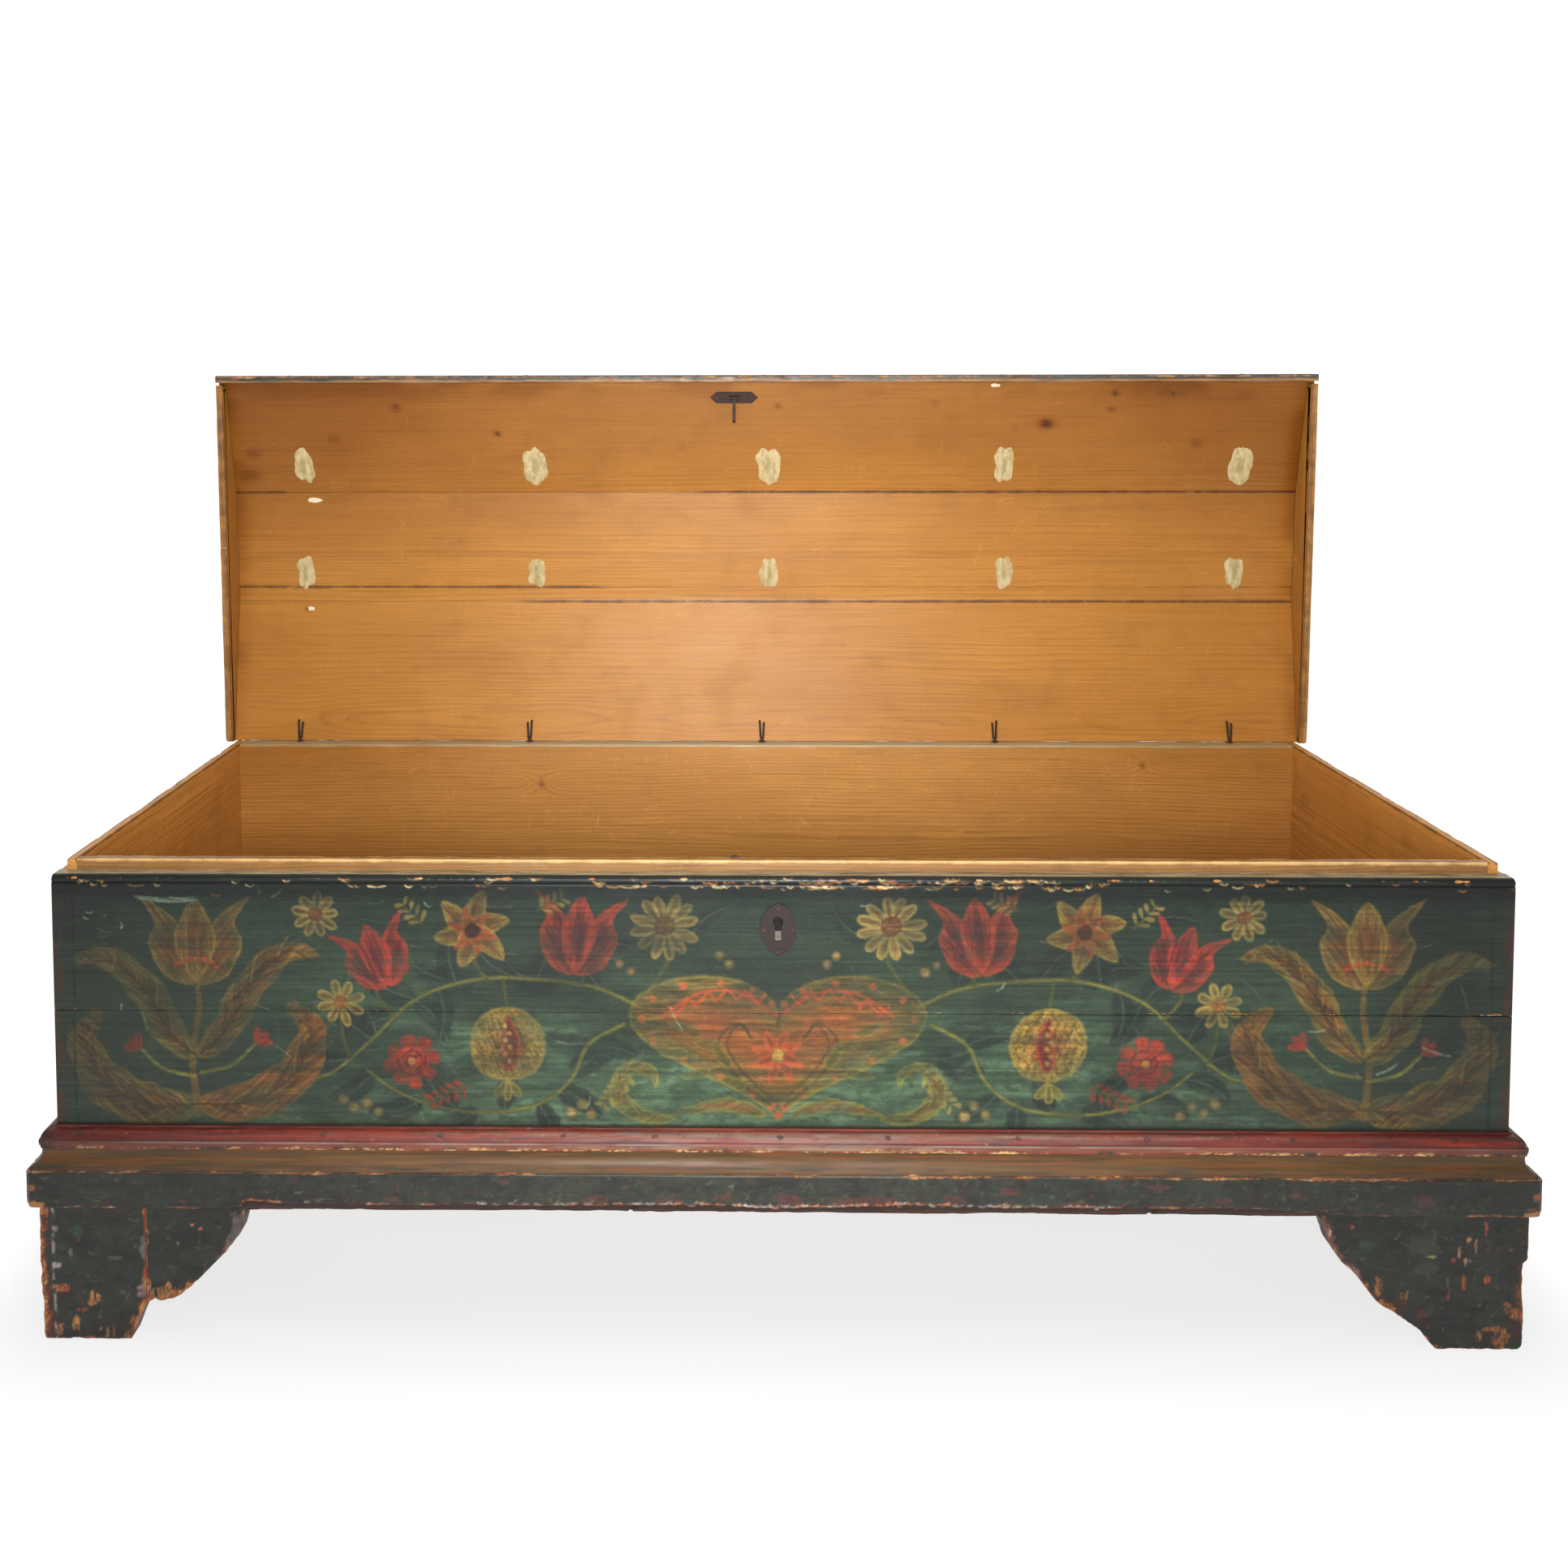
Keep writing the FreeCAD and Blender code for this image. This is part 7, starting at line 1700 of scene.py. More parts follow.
def painted(name, axis="x", rough=0.44, spec=0.4, bump=0.35, gain=1.0, bare="x", lines=1.0):
    """Coat whose colours are carried by the mesh, with finer grain added here."""
    m = Mat(name)
    col = m.attr("paint", "Color")
    lost = m.attr("lost")
    grain = m.noise(stretch(axis, 90, 0.9), 3.0, 0.6)
    fine = m.noise((1 / 1.6,) * 3, 3.0, 0.7)
    wide = m.noise(stretch(axis, 90, 18), 3.0, 0.6)
    coat = m.mix(m.rng(grain, 0.45, 0.72, 0.0, 0.26 * lines), col, (0.006, 0.005, 0.004, 1))
    coat = m.mix(m.rng(grain, 0.3, 0.42, 0.07 * lines, 0.0), coat, C(150, 140, 120))
    coat = m.mix(m.rng(fine, 0.56, 0.76, 0.0, 0.35), coat, (0.006, 0.005, 0.004, 1))
    coat = m.mix(m.rng(fine, 0.24, 0.38, 0.10, 0.0), coat, C(150, 145, 125))
    if gain != 1.0:
        n = m.t.nodes.new("ShaderNodeHueSaturation")
        n.inputs["Value"].default_value = gain
        m.link(n.inputs["Color"], coat)
        coat = n.outputs[0]
    pores = m.noise(stretch(bare, 9, 1.1), 4.0, 0.7, shift=(4, 2, 6))
    wood = m.mix(m.rng(pores, 0.34, 0.56, 0.88, 0.0), col, C(58, 32, 20))
    wood = m.mix(m.rng(pores, 0.56, 0.74, 0.0, 0.55), wood, C(214, 170, 112))
    col = m.mix(m.rng(lost, 0.25, 0.75), coat, wood)
    r_ = m.mixf(lost, m.rng(wide, 0.3, 0.75, rough - 0.08, rough + 0.12), 0.75)
    h = m.math("ADD", m.math("MULTIPLY", grain, 0.6), m.math("ADD", m.math("MULTIPLY", lost, -1.2), m.math("MULTIPLY", fine, 0.5)))
    nor = m.bump(h, bump, 0.0005)
    return m.finish(col, r_, nor, spec)


M_PX, M_PY = painted("moulding_coat", "x", spec=0.34, lines=0.75), painted("moulding_side_coat", "y", spec=0.34, lines=0.75)
M_FX = painted("foot_coat", "x", 0.5, spec=0.3, bump=0.45, bare="z", lines=0.35)
M_FY = painted("foot_side_coat", "y", 0.5, spec=0.3, bump=0.45, bare="z", lines=0.35)
M_NOSE = painted("nosing_coat", "x", 0.45)


def end_round(e, r=7.0, dep=3.4):
    return dep * np.clip(1 - e / r, 0, 1) ** 2


def mould(name, prof, where, mat, node, chip, bias, seed, slot, cv_, step_t, kind):
    length = 1600.0 if where == "front" else 560.0
    n = int(length / step_t)
    if where == "front":
        st = np.linspace(-800, 800, n)
        place = lambda T, U, W: case_pt(T / 800.0 * (800.0 + U), -U, W)
    else:
        st = np.linspace(0, 560, n)
        s_ = -1.0 if where == "left" else 1.0
        place = lambda T, U, W: case_pt(s_ * (800.0 + U), -U + (560.0 + U) * T / 560.0, W)

    def ends(T):
        return (800 - np.abs(T)) if where == "front" else T

    def worn_place(T, U, W):
        e = ends(T)
        top = {"plinth": 26.0, "red": 16.5}[kind]
        U2 = U - end_round(e) * np.clip(U / top, 0, 1)
        if kind == "plinth":
            corner = np.clip(1 - e / 9.0, 0, 1) ** 2
            lift = 4.5 * corner
            if where == "front":
                ed = plinth_edge(T)
                U2 = U2 - 3.2 * sstep(ed + 0.5, ed - 1.0, W) * sstep(157.0, 158.5, ed) * sstep(20.0, 25.0, U)
            W2 = W + lift * np.exp(-np.clip(W - 155.5, 0, 99) / 5.5) * np.clip(U / 26.0, 0, 1) ** 3
            down = 4.0 * corner * np.exp(-np.clip(196.4 - W, 0, 99) / 6.0) * np.clip(U / 26.0, 0, 1) ** 3 * (W > 180)
            W2 = W2 - down
        else:
            corner = np.clip(1 - e / 8.0, 0, 1) ** 2
            W2 = W + 1.8 * corner * (W < 221) - 2.0 * corner * (W > 223) * np.clip(U / 16.5, 0, 1)
        return place(T, U2, W2)

    def tx(T):
        if where == "front":
            return T
        return (-815.0 + T * 1.45) if where == "left" else (815.0 - T * 1.45)
    big = {"plinth": 26.0, "red": 16.5}[kind]
    colour = lambda T, U, W: sample(cv_, tx(T) * (1.0 + U / 800.0) if where == "front" else tx(T), W + (big - U))
    extra = {"lost": lambda T, U, W: sample(cv_, tx(T), W + (big - U), "lost")}
    ob = sweep(name, prof, st, worn_place, 6.0, chip=chip, chip_bias=bias, chip_scale=24.0, seed=seed, wob=0.3, edge_reach=2.6,
               extra=extra, colour=colour, sharp=40.0)
    return give(ob, mat, "case", node, slot=slot)


for where, mt, sd, stp in (("front", M_PX, 61, 1.4), ("left", M_PY, 71, 2.4), ("right", M_PY, 81, 2.4)):
    mould("upper_moulding_" + where + "_piece", rounded(red_prof(), 0.9, 3), where, mt, "upper_moulding_" + where, 1.6, 0.5, sd,
          "red_moulding", RD, stp, "red")
    mould("plinth_" + where + "_piece", rounded(plinth_prof(), 1.4, 3), where, mt, "plinth_moulding_" + where, 2.2, 0.5, sd + 3,
          "painted_base", PL, stp, "plinth")


# ------------------------------------------------------------------ feet
def curve_fn(pts):
    px = np.array([p[0] for p in pts], float)
    pz = np.array([p[1] for p in pts], float)
    return lambda x: np.interp(x, px, pz)


def column_plate(name, a0, a1, low_fn, high, thick, place, mat, slot, node, cv_, seed, da=1.4, dv=1.5, r=2.2, outline=None,
                 chip=2.6, slide=None, back_grow=0.0, mirror=1.0, cmap=None, dark=(0.012, 0.009, 0.007, 1.0)):
    """Bracket with a shaped lower edge: columns along a from low_fn(a) up to high."""
    na = int((a1 - a0) / da) + 1
    nb = int((high - float(np.min(low_fn(np.linspace(a0, a1, na))))) / dv) + 1
    aa = np.linspace(a0, a1, na)
    lo = low_fn(aa)
    t = np.linspace(0, 1, nb)
    A = np.repeat(aa[:, None], nb, 1)
    B = lo[:, None] + (high - lo)[:, None] * t[None, :]
    # distance to the shaped edge and the two upright edges, not the top
    P = np.array(outline, float)
    best = np.full(A.shape, 1e9)
    for i in range(len(P) - 1):
        ax, az = P[i]
        bx, bz = P[i + 1]
        ex, ez = bx - ax, bz - az
        L = max(ex * ex + ez * ez, 1e-9)
        tt = np.clip(((A - ax) * ex + (B - az) * ez) / L, 0, 1)
        best = np.minimum(best, np.hypot(A - ax - ex * tt, B - az - ez * tt))
    E = best
    grit = fbm(A / 20.0, B / 20.0, seed, 4, seed, 0.62)
    chp = np.clip((grit - 0.47) / 0.5, 0, 1) * chip
    fine = fbm(A / 4.0, B / 4.0, seed + 2.0, 3, seed + 3) - 0.5
    # depth of the worn arris
    rr = r + chp * 1.6
    dep = np.where(E < rr, rr - np.sqrt(np.clip(rr * rr - (rr - E) ** 2, 0, None)), 0.0) * 0.75
    dep = dep + np.clip(fine, 0, 1) * 0.5 * np.exp(-E / 6.0) + 0.25 * (fbm(A / 60.0, B / 60.0, seed + 5.0, 2, seed + 6))
    # silhouettes eaten back: move points near the edge along its inward normal
    ga, gb = np.gradient(E, axis=0), np.gradient(E, axis=1)
    da_ = np.gradient(A, axis=0)
    db0, db1 = np.gradient(B, axis=0), np.gradient(B, axis=1)
    ny = gb / np.maximum(np.abs(db1), 1e-6)
    nx = (ga - ny * db0) / np.maximum(np.abs(da_), 1e-6)
    nl = np.maximum(np.hypot(nx, ny), 1e-6)
    nx, ny = nx / nl, ny / nl
    pull = (chp * 0.75 + np.clip(fine + 0.1, 0, 1) * 1.2 + 0.25) * np.exp(-E / 3.5)
    top_keep = sstep(high, high - 5.0, B)
    A2, B2 = A + nx * pull, B + ny * pull * top_keep
    if slide is not None:
        A2 = A2 + slide(A, B)
    A2, B2 = np.clip(A2, a0, a1), np.clip(B2, 0.0, high)
    pos = place(A2, B2, dep)
    idx = np.arange(na * nb).reshape(na, nb)
    q1 = np.stack([idx[:-1, :-1], idx[1:, :-1], idx[1:, 1:], idx[:-1, 1:]], -1).reshape(-1, 4)
    loop = np.concatenate([idx[:, 0], idx[-1, 1:], idx[-2::-1, -1], idx[0, -2:0:-1]])
    la, lb = A2.reshape(-1)[loop], B2.reshape(-1)[loop]
    ld = dep.reshape(-1)[loop]
    K = len(loop)
    V = [pos.reshape(-1, 3)]
    base = na * nb
    quads = [q1]
    prev = loop
    levels = (2.0, 5.0, 10.0, thick)
    ring_ids = []
    for li, dv_ in enumerate(levels):
        V.append(place(la, lb, np.maximum(ld + 0.4 * (li + 1), np.full(K, dv_))))
        cur = base + np.arange(K)
        base += K
        nxt = np.roll(np.arange(K), -1)
        quads.append(np.stack([prev, prev[nxt], cur[nxt], cur], -1))
        prev = cur
        ring_ids.append(cur)
    verts = np.concatenate(V)
    ca, cb = (cmap or (lambda a, b: (a, b)))(A, B)
    col = sample(cv_, ca, cb).reshape(-1, 4)
    lst = sample(cv_, ca, cb, "lost").reshape(-1)
    # the cut edges darken to near black with depth: painted shade
    ring_c = []
    for li, dv_ in enumerate(levels):
        k = (0.45, 0.7, 0.88, 1.0)[li]
        ring_c.append(col[loop] * (1 - k) + np.array(dark) * k)
    col = np.concatenate([col] + ring_c)
    lst = np.concatenate([lst] + [lst[loop] * (1, 0.6, 0.3, 0)[li] for li in range(4)])
    ob = make_mesh(name, verts, np.concatenate(quads), [prev[::-1]], {"lost": lst, "edge": np.concatenate([E.reshape(-1), np.zeros(4 * K)])},
                   {"paint": col}, sharp=50.0)
    fix_winding(ob)
    return give(ob, mat, "case", node, slot=slot)


def foot_canvas(x0, x1, seed):
    cv_ = Canvas(x0, x1, -2.0, 158.0, 1.1)
    charcoal(cv_, seed, 0.96)
    flecks(cv_, 110, seed * 50, (x0 + 4, x1 - 4), (8, 150), PALE, 3, 15, 0.9, 1.4, (0.12, 0.5))
    flecks(cv_, 22, seed * 50 + 300, (x0 + 4, x1 - 4), (8, 150), RUSTY, 2, 5, 1.2, 2.6, (0.3, 0.8))
    flecks(cv_, 14, seed * 50 + 400, (x0 + 4, x1 - 4), (8, 150), PINK, 1.5, 4, 1.2, 2.2, (0.3, 0.7))
    return cv_


def dist_to(cv_, pts):
    best = np.full(cv_.X.shape, 1e9)
    for i in range(len(pts) - 1):
        ax, az = pts[i]
        bx, bz = pts[i + 1]
        ex, ez = bx - ax, bz - az
        L = max(ex * ex + ez * ez, 1e-9)
        tt = np.clip(((cv_.X - ax) * ex + (cv_.Z - az) * ez) / L, 0, 1)
        best = np.minimum(best, np.hypot(cv_.X - ax - ex * tt, cv_.Z - az - ez * tt))
    return best


def done(cv_):
    cv_.lin = srgb(np.clip(cv_.col, 0, 1))


BARE, UNDER = (186, 122, 66), (132, 54, 36)
# left foot: corner block and wing
wing_pts = [(-697.2, 41.5), (-689, 46.5), (-683, 43), (-671, 45.4), (-659, 51.5), (-648, 59.5), (-638, 70.5), (-625, 84), (-612, 97),
            (-601, 108), (-592.5, 121), (-587.8, 138), (-586.6, 146)]
block_pts = [(-816.5, 0), (-715.5, 0), (-707.6, 20.5), (-697.8, 41)]
FL = foot_canvas(-822.0, -582.0, 91)
lose(FL, np.maximum(0, FL.X + 816.5), 9.5, 0.35, 92, (170, 106, 56), (112, 48, 36), 9, 26, 4.0, 6.0, fringe=0.5)
k = (bump1(FL.X, -800.5, 1.6) * sstep(0.46, 0.6, fbm(FL.X / 3, FL.Z / 6, 2.0, 3, 94)))[..., None] * 0.8
FL.col[:] = FL.col * (1 - k) + np.array([176, 156, 146]) / 255.0 * k
lose(FL, dist_to(FL, [(-697.5, 160), (-697.5, 36)]), 2.6, 0.95, 95, BARE, UNDER, 6, 22, 3.0, 7.0)
k = (bump1(FL.X, -697.5 - 0.5 * np.sin(FL.Z / 9.0), 0.75) * 0.8)[..., None]
FL.col[:] = FL.col * (1 - k) + np.array([150, 62, 44]) / 255.0 * k
lose(FL, dist_to(FL, wing_pts), 6.0, 0.95, 96, (150, 120, 92), (96, 62, 56), 12, 12, 4.0, 4.0, fringe=0.8)
lose(FL, dist_to(FL, wing_pts[:6]), 9.5, 0.75, 97, BARE, UNDER, 12, 12, 3.4, 3.4)
lose(FL, dist_to(FL, block_pts[1:]), 8.0, 0.72, 98, BARE, UNDER, 9, 14, 3.2, 4.4)
lose(FL, dist_to(FL, block_pts[:2]), 7.0, 1.0, 99, BARE, UNDER, 9, 15, 3.0, 6.0)
for i, (x, z, rx, rz, c, al) in enumerate((
        (-757, 46, 5.5, 8, (190, 124, 66), 0.95), (-793, 59, 9, 4, (176, 96, 52), 0.85), (-783, 57, 4, 3.4, (166, 56, 42), 0.9),
        (-771, 34, 6, 2.6, (150, 66, 40), 0.8), (-778, 18, 4.2, 7, (190, 126, 70), 0.9), (-712, 21, 3, 6, (186, 120, 66), 0.8),
        (-700, 60, 7, 3.2, (150, 118, 124), 0.75), (-703, 53, 5, 3.0, (146, 112, 118), 0.7), (-797, 85, 4.5, 3.6, (168, 150, 150), 0.8),
        (-798, 127, 3.2, 4.0, (160, 146, 146), 0.6), (-797, 14, 4.5, 7, (176, 118, 66), 0.8), (-684, 52, 11, 8.5, (150, 100, 56), 0.95),
        (-668, 54, 9, 5.5, (160, 104, 58), 0.85), (-672, 62, 2.8, 6, (184, 120, 66), 0.85), (-645, 132, 1.8, 1.6, (196, 110, 60), 0.9),
        (-636, 128, 2.4, 1.8, (176, 96, 56), 0.8), (-774, 124, 6, 7, (46, 76, 66), 0.5), (-700, 104, 3.5, 12, (110, 112, 104), 0.6),
        (-695, 120, 1.4, 9, (186, 130, 84), 0.8), (-596, 130, 6, 12, (110, 92, 92), 0.6), (-603, 112, 5, 8, (116, 98, 90), 0.6),
        (-781, 101, 2.0, 4.5, (112, 124, 110), 0.55), (-732, 94, 8, 2.0, (104, 108, 84), 0.45), (-720, 6, 3, 5, (170, 110, 60), 0.7),
        (-742, 8, 1.4, 6, (176, 120, 70), 0.6), (-735, 9, 1.2, 7, (160, 100, 60), 0.6), (-699, 78, 2.2, 4, (170, 56, 44), 0.8),
        (-697, 64, 4, 10, (176, 112, 60), 0.8))):
    blob(FL, x, z, rx, rz, c, al, 9500 + i, 0.6, (3.4, 3.0), True)
done(FL)
# right foot
right_pts = [(590.6, 147), (593.2, 138), (601.8, 115.5), (614.3, 97.5), (634.6, 77.5), (644.6, 64), (653.2, 52.5), (661, 46.6),
             (669.6, 42.5), (700.7, 21.5), (709.5, 9.5), (719, 0)]
FR = foot_canvas(584.0, 822.0, 93)
lose(FR, dist_to(FR, right_pts[:9]), 7.0, 0.88, 102, (160, 128, 98), (110, 62, 52), 10, 10, 3.6, 3.6, fringe=0.8)
lose(FR, dist_to(FR, right_pts[4:9]), 9.0, 0.72, 103, (150, 92, 48), (60, 36, 24), 10, 10, 3.2, 3.2, fringe=0.7)
lose(FR, dist_to(FR, right_pts[8:]), 4.0, 0.95, 104, BARE, UNDER, 9, 9, 3.0, 3.0)
lose(FR, dist_to(FR, [(719, 0), (816.5, 0)]), 8.0, 0.92, 105, (160, 104, 58), (52, 34, 26), 9, 16, 2.6, 7.0, fringe=0.5)
lose(FR, np.maximum(0, 813.5 - FR.X) + 1.5, 6.0, 0.95, 106, (156, 92, 48), (70, 36, 26), 8, 22, 3.2, 6.0, fringe=0.5)
for i, (x, z, rx, rz, c, al) in enumerate((
        (775, 12, 11, 13, (40, 28, 20), 0.85), (790, 14, 10, 9, (160, 96, 50), 0.75), (783, 24, 13, 3, (170, 108, 60), 0.7),
        (765, 14, 3, 8, (176, 130, 84), 0.6), (800, 36, 8, 9, (50, 32, 22), 0.8), (806, 42, 8, 7, (166, 98, 52), 0.75),
        (796, 50, 4, 4, (170, 100, 54), 0.7), (808, 20, 6, 10, (56, 34, 24), 0.8), (812, 60, 4, 22, (120, 64, 36), 0.7),
        (702, 40, 6, 5, (84, 38, 34), 0.7), (678, 54, 8, 7, (60, 40, 26), 0.8), (684, 62, 4, 6, (170, 106, 60), 0.8),
        (598, 122, 5, 18, (120, 70, 60), 0.75), (606, 106, 5, 14, (128, 84, 72), 0.75), (600, 130, 2, 6, (190, 160, 140), 0.7),
        (628, 84, 6, 8, (150, 120, 104), 0.7), (655, 70, 5, 9, (176, 108, 60), 0.8), (759, 118, 1.2, 10, (190, 130, 84), 0.75),
        (751, 124, 2.2, 2.6, (186, 132, 90), 0.7), (741, 110, 1.2, 6, (190, 150, 120), 0.7), (748, 100, 2, 5, (196, 140, 110), 0.75),
        (769, 138, 1.4, 6, (150, 66, 44), 0.75), (747, 78, 1.6, 8, (180, 90, 50), 0.8), (771, 79, 1.8, 5, (176, 76, 48), 0.8),
        (775, 80, 1.2, 4, (176, 76, 48), 0.8), (731, 62, 1.4, 7, (186, 90, 56), 0.8), (729, 76, 1.0, 6, (150, 120, 100), 0.5),
        (712, 105, 5, 1.3, (160, 160, 110), 0.7), (734, 102, 2.4, 2.2, (160, 70, 46), 0.7), (700, 116, 18, 10, (66, 74, 56), 0.4),
        (625, 138, 2, 2, (160, 60, 44), 0.8), (640, 118, 10, 6, (54, 70, 58), 0.5), (705, 92, 12, 6, (70, 74, 60), 0.35))):
    blob(FR, x, z, rx, rz, c, al, 9600 + i, 0.6, (3.0, 3.4), True)
done(FR)
# sides and back share one plainer surface
SF_OUT = [(84, 0), (92, 20.5), (102, 41), (111, 46.5), (117, 43), (129, 45.4), (141, 51.5), (152, 59.5), (162, 70.5), (175, 84), (188, 97),
          (199, 108), (207.5, 121), (212.2, 138), (213.4, 146)]
FS = foot_canvas(-4.0, 222.0, 95)
lose(FS, dist_to(FS, SF_OUT), 7.0, 0.9, 107, BARE, UNDER, 10, 10, 3.4, 3.4)
lose(FS, dist_to(FS, [(0, 0), (84, 0)]), 7.0, 0.95, 108, BARE, UNDER, 9, 15, 3.0, 6.0)
lose(FS, np.maximum(0, FS.X), 7.0, 0.7, 109, BARE, UNDER, 9, 22, 3.4, 6.0)
done(FS)



def round_off(b, r):
    return r - np.sqrt(np.clip(r * r - np.clip(r - b, 0, r) ** 2, 0, None))


front_place = lambda a, b, d: case_pt(a, -16.5 + d, b)
column_plate("foot_left_block_piece", -816.5, -697.8, curve_fn(block_pts), 155.5, 22.0, front_place, M_FX, "painted_base",
             "foot_front_left_block", FL, 91, outline=[(-816.5, 160)] + block_pts, chip=2.0,
             slide=lambda A, B: np.exp(-(A + 816.5) / 20.0) * (round_off(B, 6.0) + 2.4 * sstep(70, 40, B) + 1.8 * fbm(B / 11.0, 0.3, 7.0, 3, 5)))
column_plate("foot_left_wing_piece", -697.2, -586.8, curve_fn(wing_pts), 155.5, 22.0, front_place, M_FX, "painted_base",
             "foot_front_left_wing", FL, 92, outline=[(-697.2, 41.6)] + wing_pts + [(-586.8, 160)], chip=2.0)
column_plate("foot_right_piece", 590.6, 816.5, curve_fn(right_pts + [(816.5, 0)]), 155.5, 22.0, front_place, M_FX, "painted_base",
             "foot_front_right", FR, 93, outline=[(590.6, 160)] + right_pts + [(816.5, 0), (816.5, 160)], chip=1.6,
             slide=lambda A, B: -np.exp(-(816.5 - A) / 24.0) * (5.4 * sstep(104, 97, B) * (0.62 + 0.38 * sstep(30, 80, B)) + round_off(B, 10.0)))
for side, tag in ((-1, "left"), (1, "right")):
    pl = lambda a, b, d, s=side: case_pt(s * (816.5 - d), a, b)
    column_plate("foot_front_%s_side_piece" % tag, 5.7, 213.4, curve_fn([(5.7, 0)] + SF_OUT), 155.5, 22.0, pl, M_FY, "painted_base",
                 "foot_front_%s_side" % tag, FS, 95 + side, da=2.2, dv=2.2, outline=[(5.7, 0)] + SF_OUT + [(213.4, 160)], chip=2.0)
    plb = lambda a, b, d, s=side: case_pt(s * (816.5 - d), 560.0 - a, b)
    column_plate("foot_back_%s_side_piece" % tag, 0.0, 213.4, curve_fn([(0, 0)] + SF_OUT), 155.5, 22.0, plb, M_FY, "painted_base",
                 "foot_back_%s_side" % tag, FS, 97 + side, da=2.2, dv=2.2, outline=[(0, 160), (0, 0)] + SF_OUT + [(213.4, 160)], chip=2.0)

# ------------------------------------------------------------------ lid
IN = [(0.0, 14.5), (210.0, 50.0), (372.0, 48.0), (537.0, 14.5)]
SB = (50.0 - 14.5) / 210.0
SM = (48.0 - 50.0) / 162.0
SF = (14.5 - 48.0) / 165.0


def inner_d(s):
    s = np.asarray(s, float)
    return np.where(s < 210, 14.5 + SB * s, np.where(s < 372, 50.0 + SM * (s - 210), 48.0 + SF * (s - 372)))


def normal2(a, b):
    dx, dy = b[0] - a[0], b[1] - a[1]
    n = math.hypot(dx, dy)
    return (-dy / n, dx / n)


def off_vertex(p, a, b, t):
    n1, n2 = normal2(a, p), normal2(p, b)
    k = t / (1 + n1[0] * n2[0] + n1[1] * n2[1])
    return (p[0] + k * (n1[0] + n2[0]), p[1] + k * (n1[1] + n2[1]))


O1 = off_vertex(IN[1], IN[0], IN[2], 15.0)
O2 = off_vertex(IN[2], IN[1], IN[3], 15.0)
OD0 = O1[1] - SB * O1[0]
OD3 = O2[1] + SF * (537.0 - O2[0])


def outer_d(s):
    return np.where(s < O1[0], OD0 + SB * s, np.where(s < O2[0], O1[1] + SM * (s - O1[0]), O2[1] + SF * (s - O2[0])))


xs_lid = np.linspace(-803, 803, 402)


def lid_dirt_and_shade(T, U, W):
    """Handling dirt, browning and painted shade: painted shade darkens the lid towards the opening edge and towards the
    ends, where dirt is also strongest.
    """
    n = fbm(T / 90.0, W / 40.0, 171.0, 3, 171)
    k = 0.44 * sstep(250, 500, W) + 0.40 * sstep(180, 760, np.abs(T - 34.0)) * (0.40 + 0.60 * sstep(120, 480, W)) - 0.08 * sstep(160, 40, W)
    k = k + 0.26 * sstep(500, 537, W) * sstep(0.40, 0.60, n) + 0.30 * sstep(26, 0, 793.0 - np.abs(T)) * sstep(0.3, 0.6, n)
    k = k + 0.10 * sstep(80, 0, W) * sstep(0.35, 0.6, n) + 0.18 * (n - 0.5)
    for kx, ks, kr, kk in STAINS:
        k = k + kk * np.exp(-((T - kx) / (kr * 1.7)) ** 2 - ((W - ks) / kr) ** 2)
    return np.clip(k, 0, 1)


def seam_weight(T, U, W):
    """How clearly each joint between the lid boards shows along its length."""
    k = np.where(np.abs(W - 372) < 12, 0.12 + 0.88 * sstep(-150, -60, T), 0.0)
    k = k + np.where(np.abs(W - 228) < 10, 0.05 + 0.85 * sstep(-215, -275, T), 0.0)
    k = k + np.where(np.abs(W - 206) < 11, 0.05 + 0.9 * sstep(-400, -330, T), 0.0)
    k = k + np.where(np.abs(W - 372) < 12, 0.8 * sstep(-712, -722, T), 0.0)
    return k + 0.5 * (W > 520) + 0.4 * (W < 20)


STAINS = ((-544, 500, 4.0, 0.9), (-395, 461, 3.0, 0.8), (417, 475, 7.0, 0.9), (515, 520, 3.5, 0.8), (587, 520, 3.5, 0.8), (613, 519, 3.0, 0.8),
          (511, 495, 3.0, 0.7), (372, 469, 2.5, 0.7), (-762, 431, 6.0, 0.5), (-770, 398, 9.0, 0.5), (21, 500, 2.6, 0.9), (-690, 195, 2.2, 0.9), (120, 143.5, 2.4, 0.9),
          (-120, 440, 4.0, 0.3), (252, 505, 4.0, 0.35), (-640, 452, 5.0, 0.35), (640, 445, 5.0, 0.4))


def lid_board(name, pts, node, wood, mat=M_LID, chip=0.9, seed=1, gap=0.25):
    """pts: (s, d, corner, step) round the board; inner face first."""
    prof = [(d, s, c, st) for s, d, c, st in pts]
    ob = sweep(name, prof, xs_lid, lambda T, U, W: lid_pt(T, U, W), 5.0, wood=wood, chip=chip, chip_bias=0.52, chip_scale=30.0, seed=seed,
               wob=0.18, edge_reach=2.2, wood_map=lambda t, u, v: (t, u - inner_d(v), v), extra={"dirt_and_shade": lid_dirt_and_shade, "seamk": seam_weight})
    me = ob.data
    me.materials.append(mat)
    me.materials.append(M_GREEN_L)
    cen = np.zeros(len(me.polygons) * 3, np.float32)
    me.polygons.foreach_get("center", cen)
    cen = cen.reshape(-1, 3) * 1000.0
    yy, zz = cen[:, 1] - (541.0 + FY), cen[:, 2] - 529.0
    s_ = zz * CL - yy * SL
    d_ = yy * CL + zz * SL
    idx = (d_ > outer_d(s_) - 3.5).astype(np.int32)
    me.polygons.foreach_set("material_index", idx)
    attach(ob, "lid")
    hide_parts(node)
    return ob


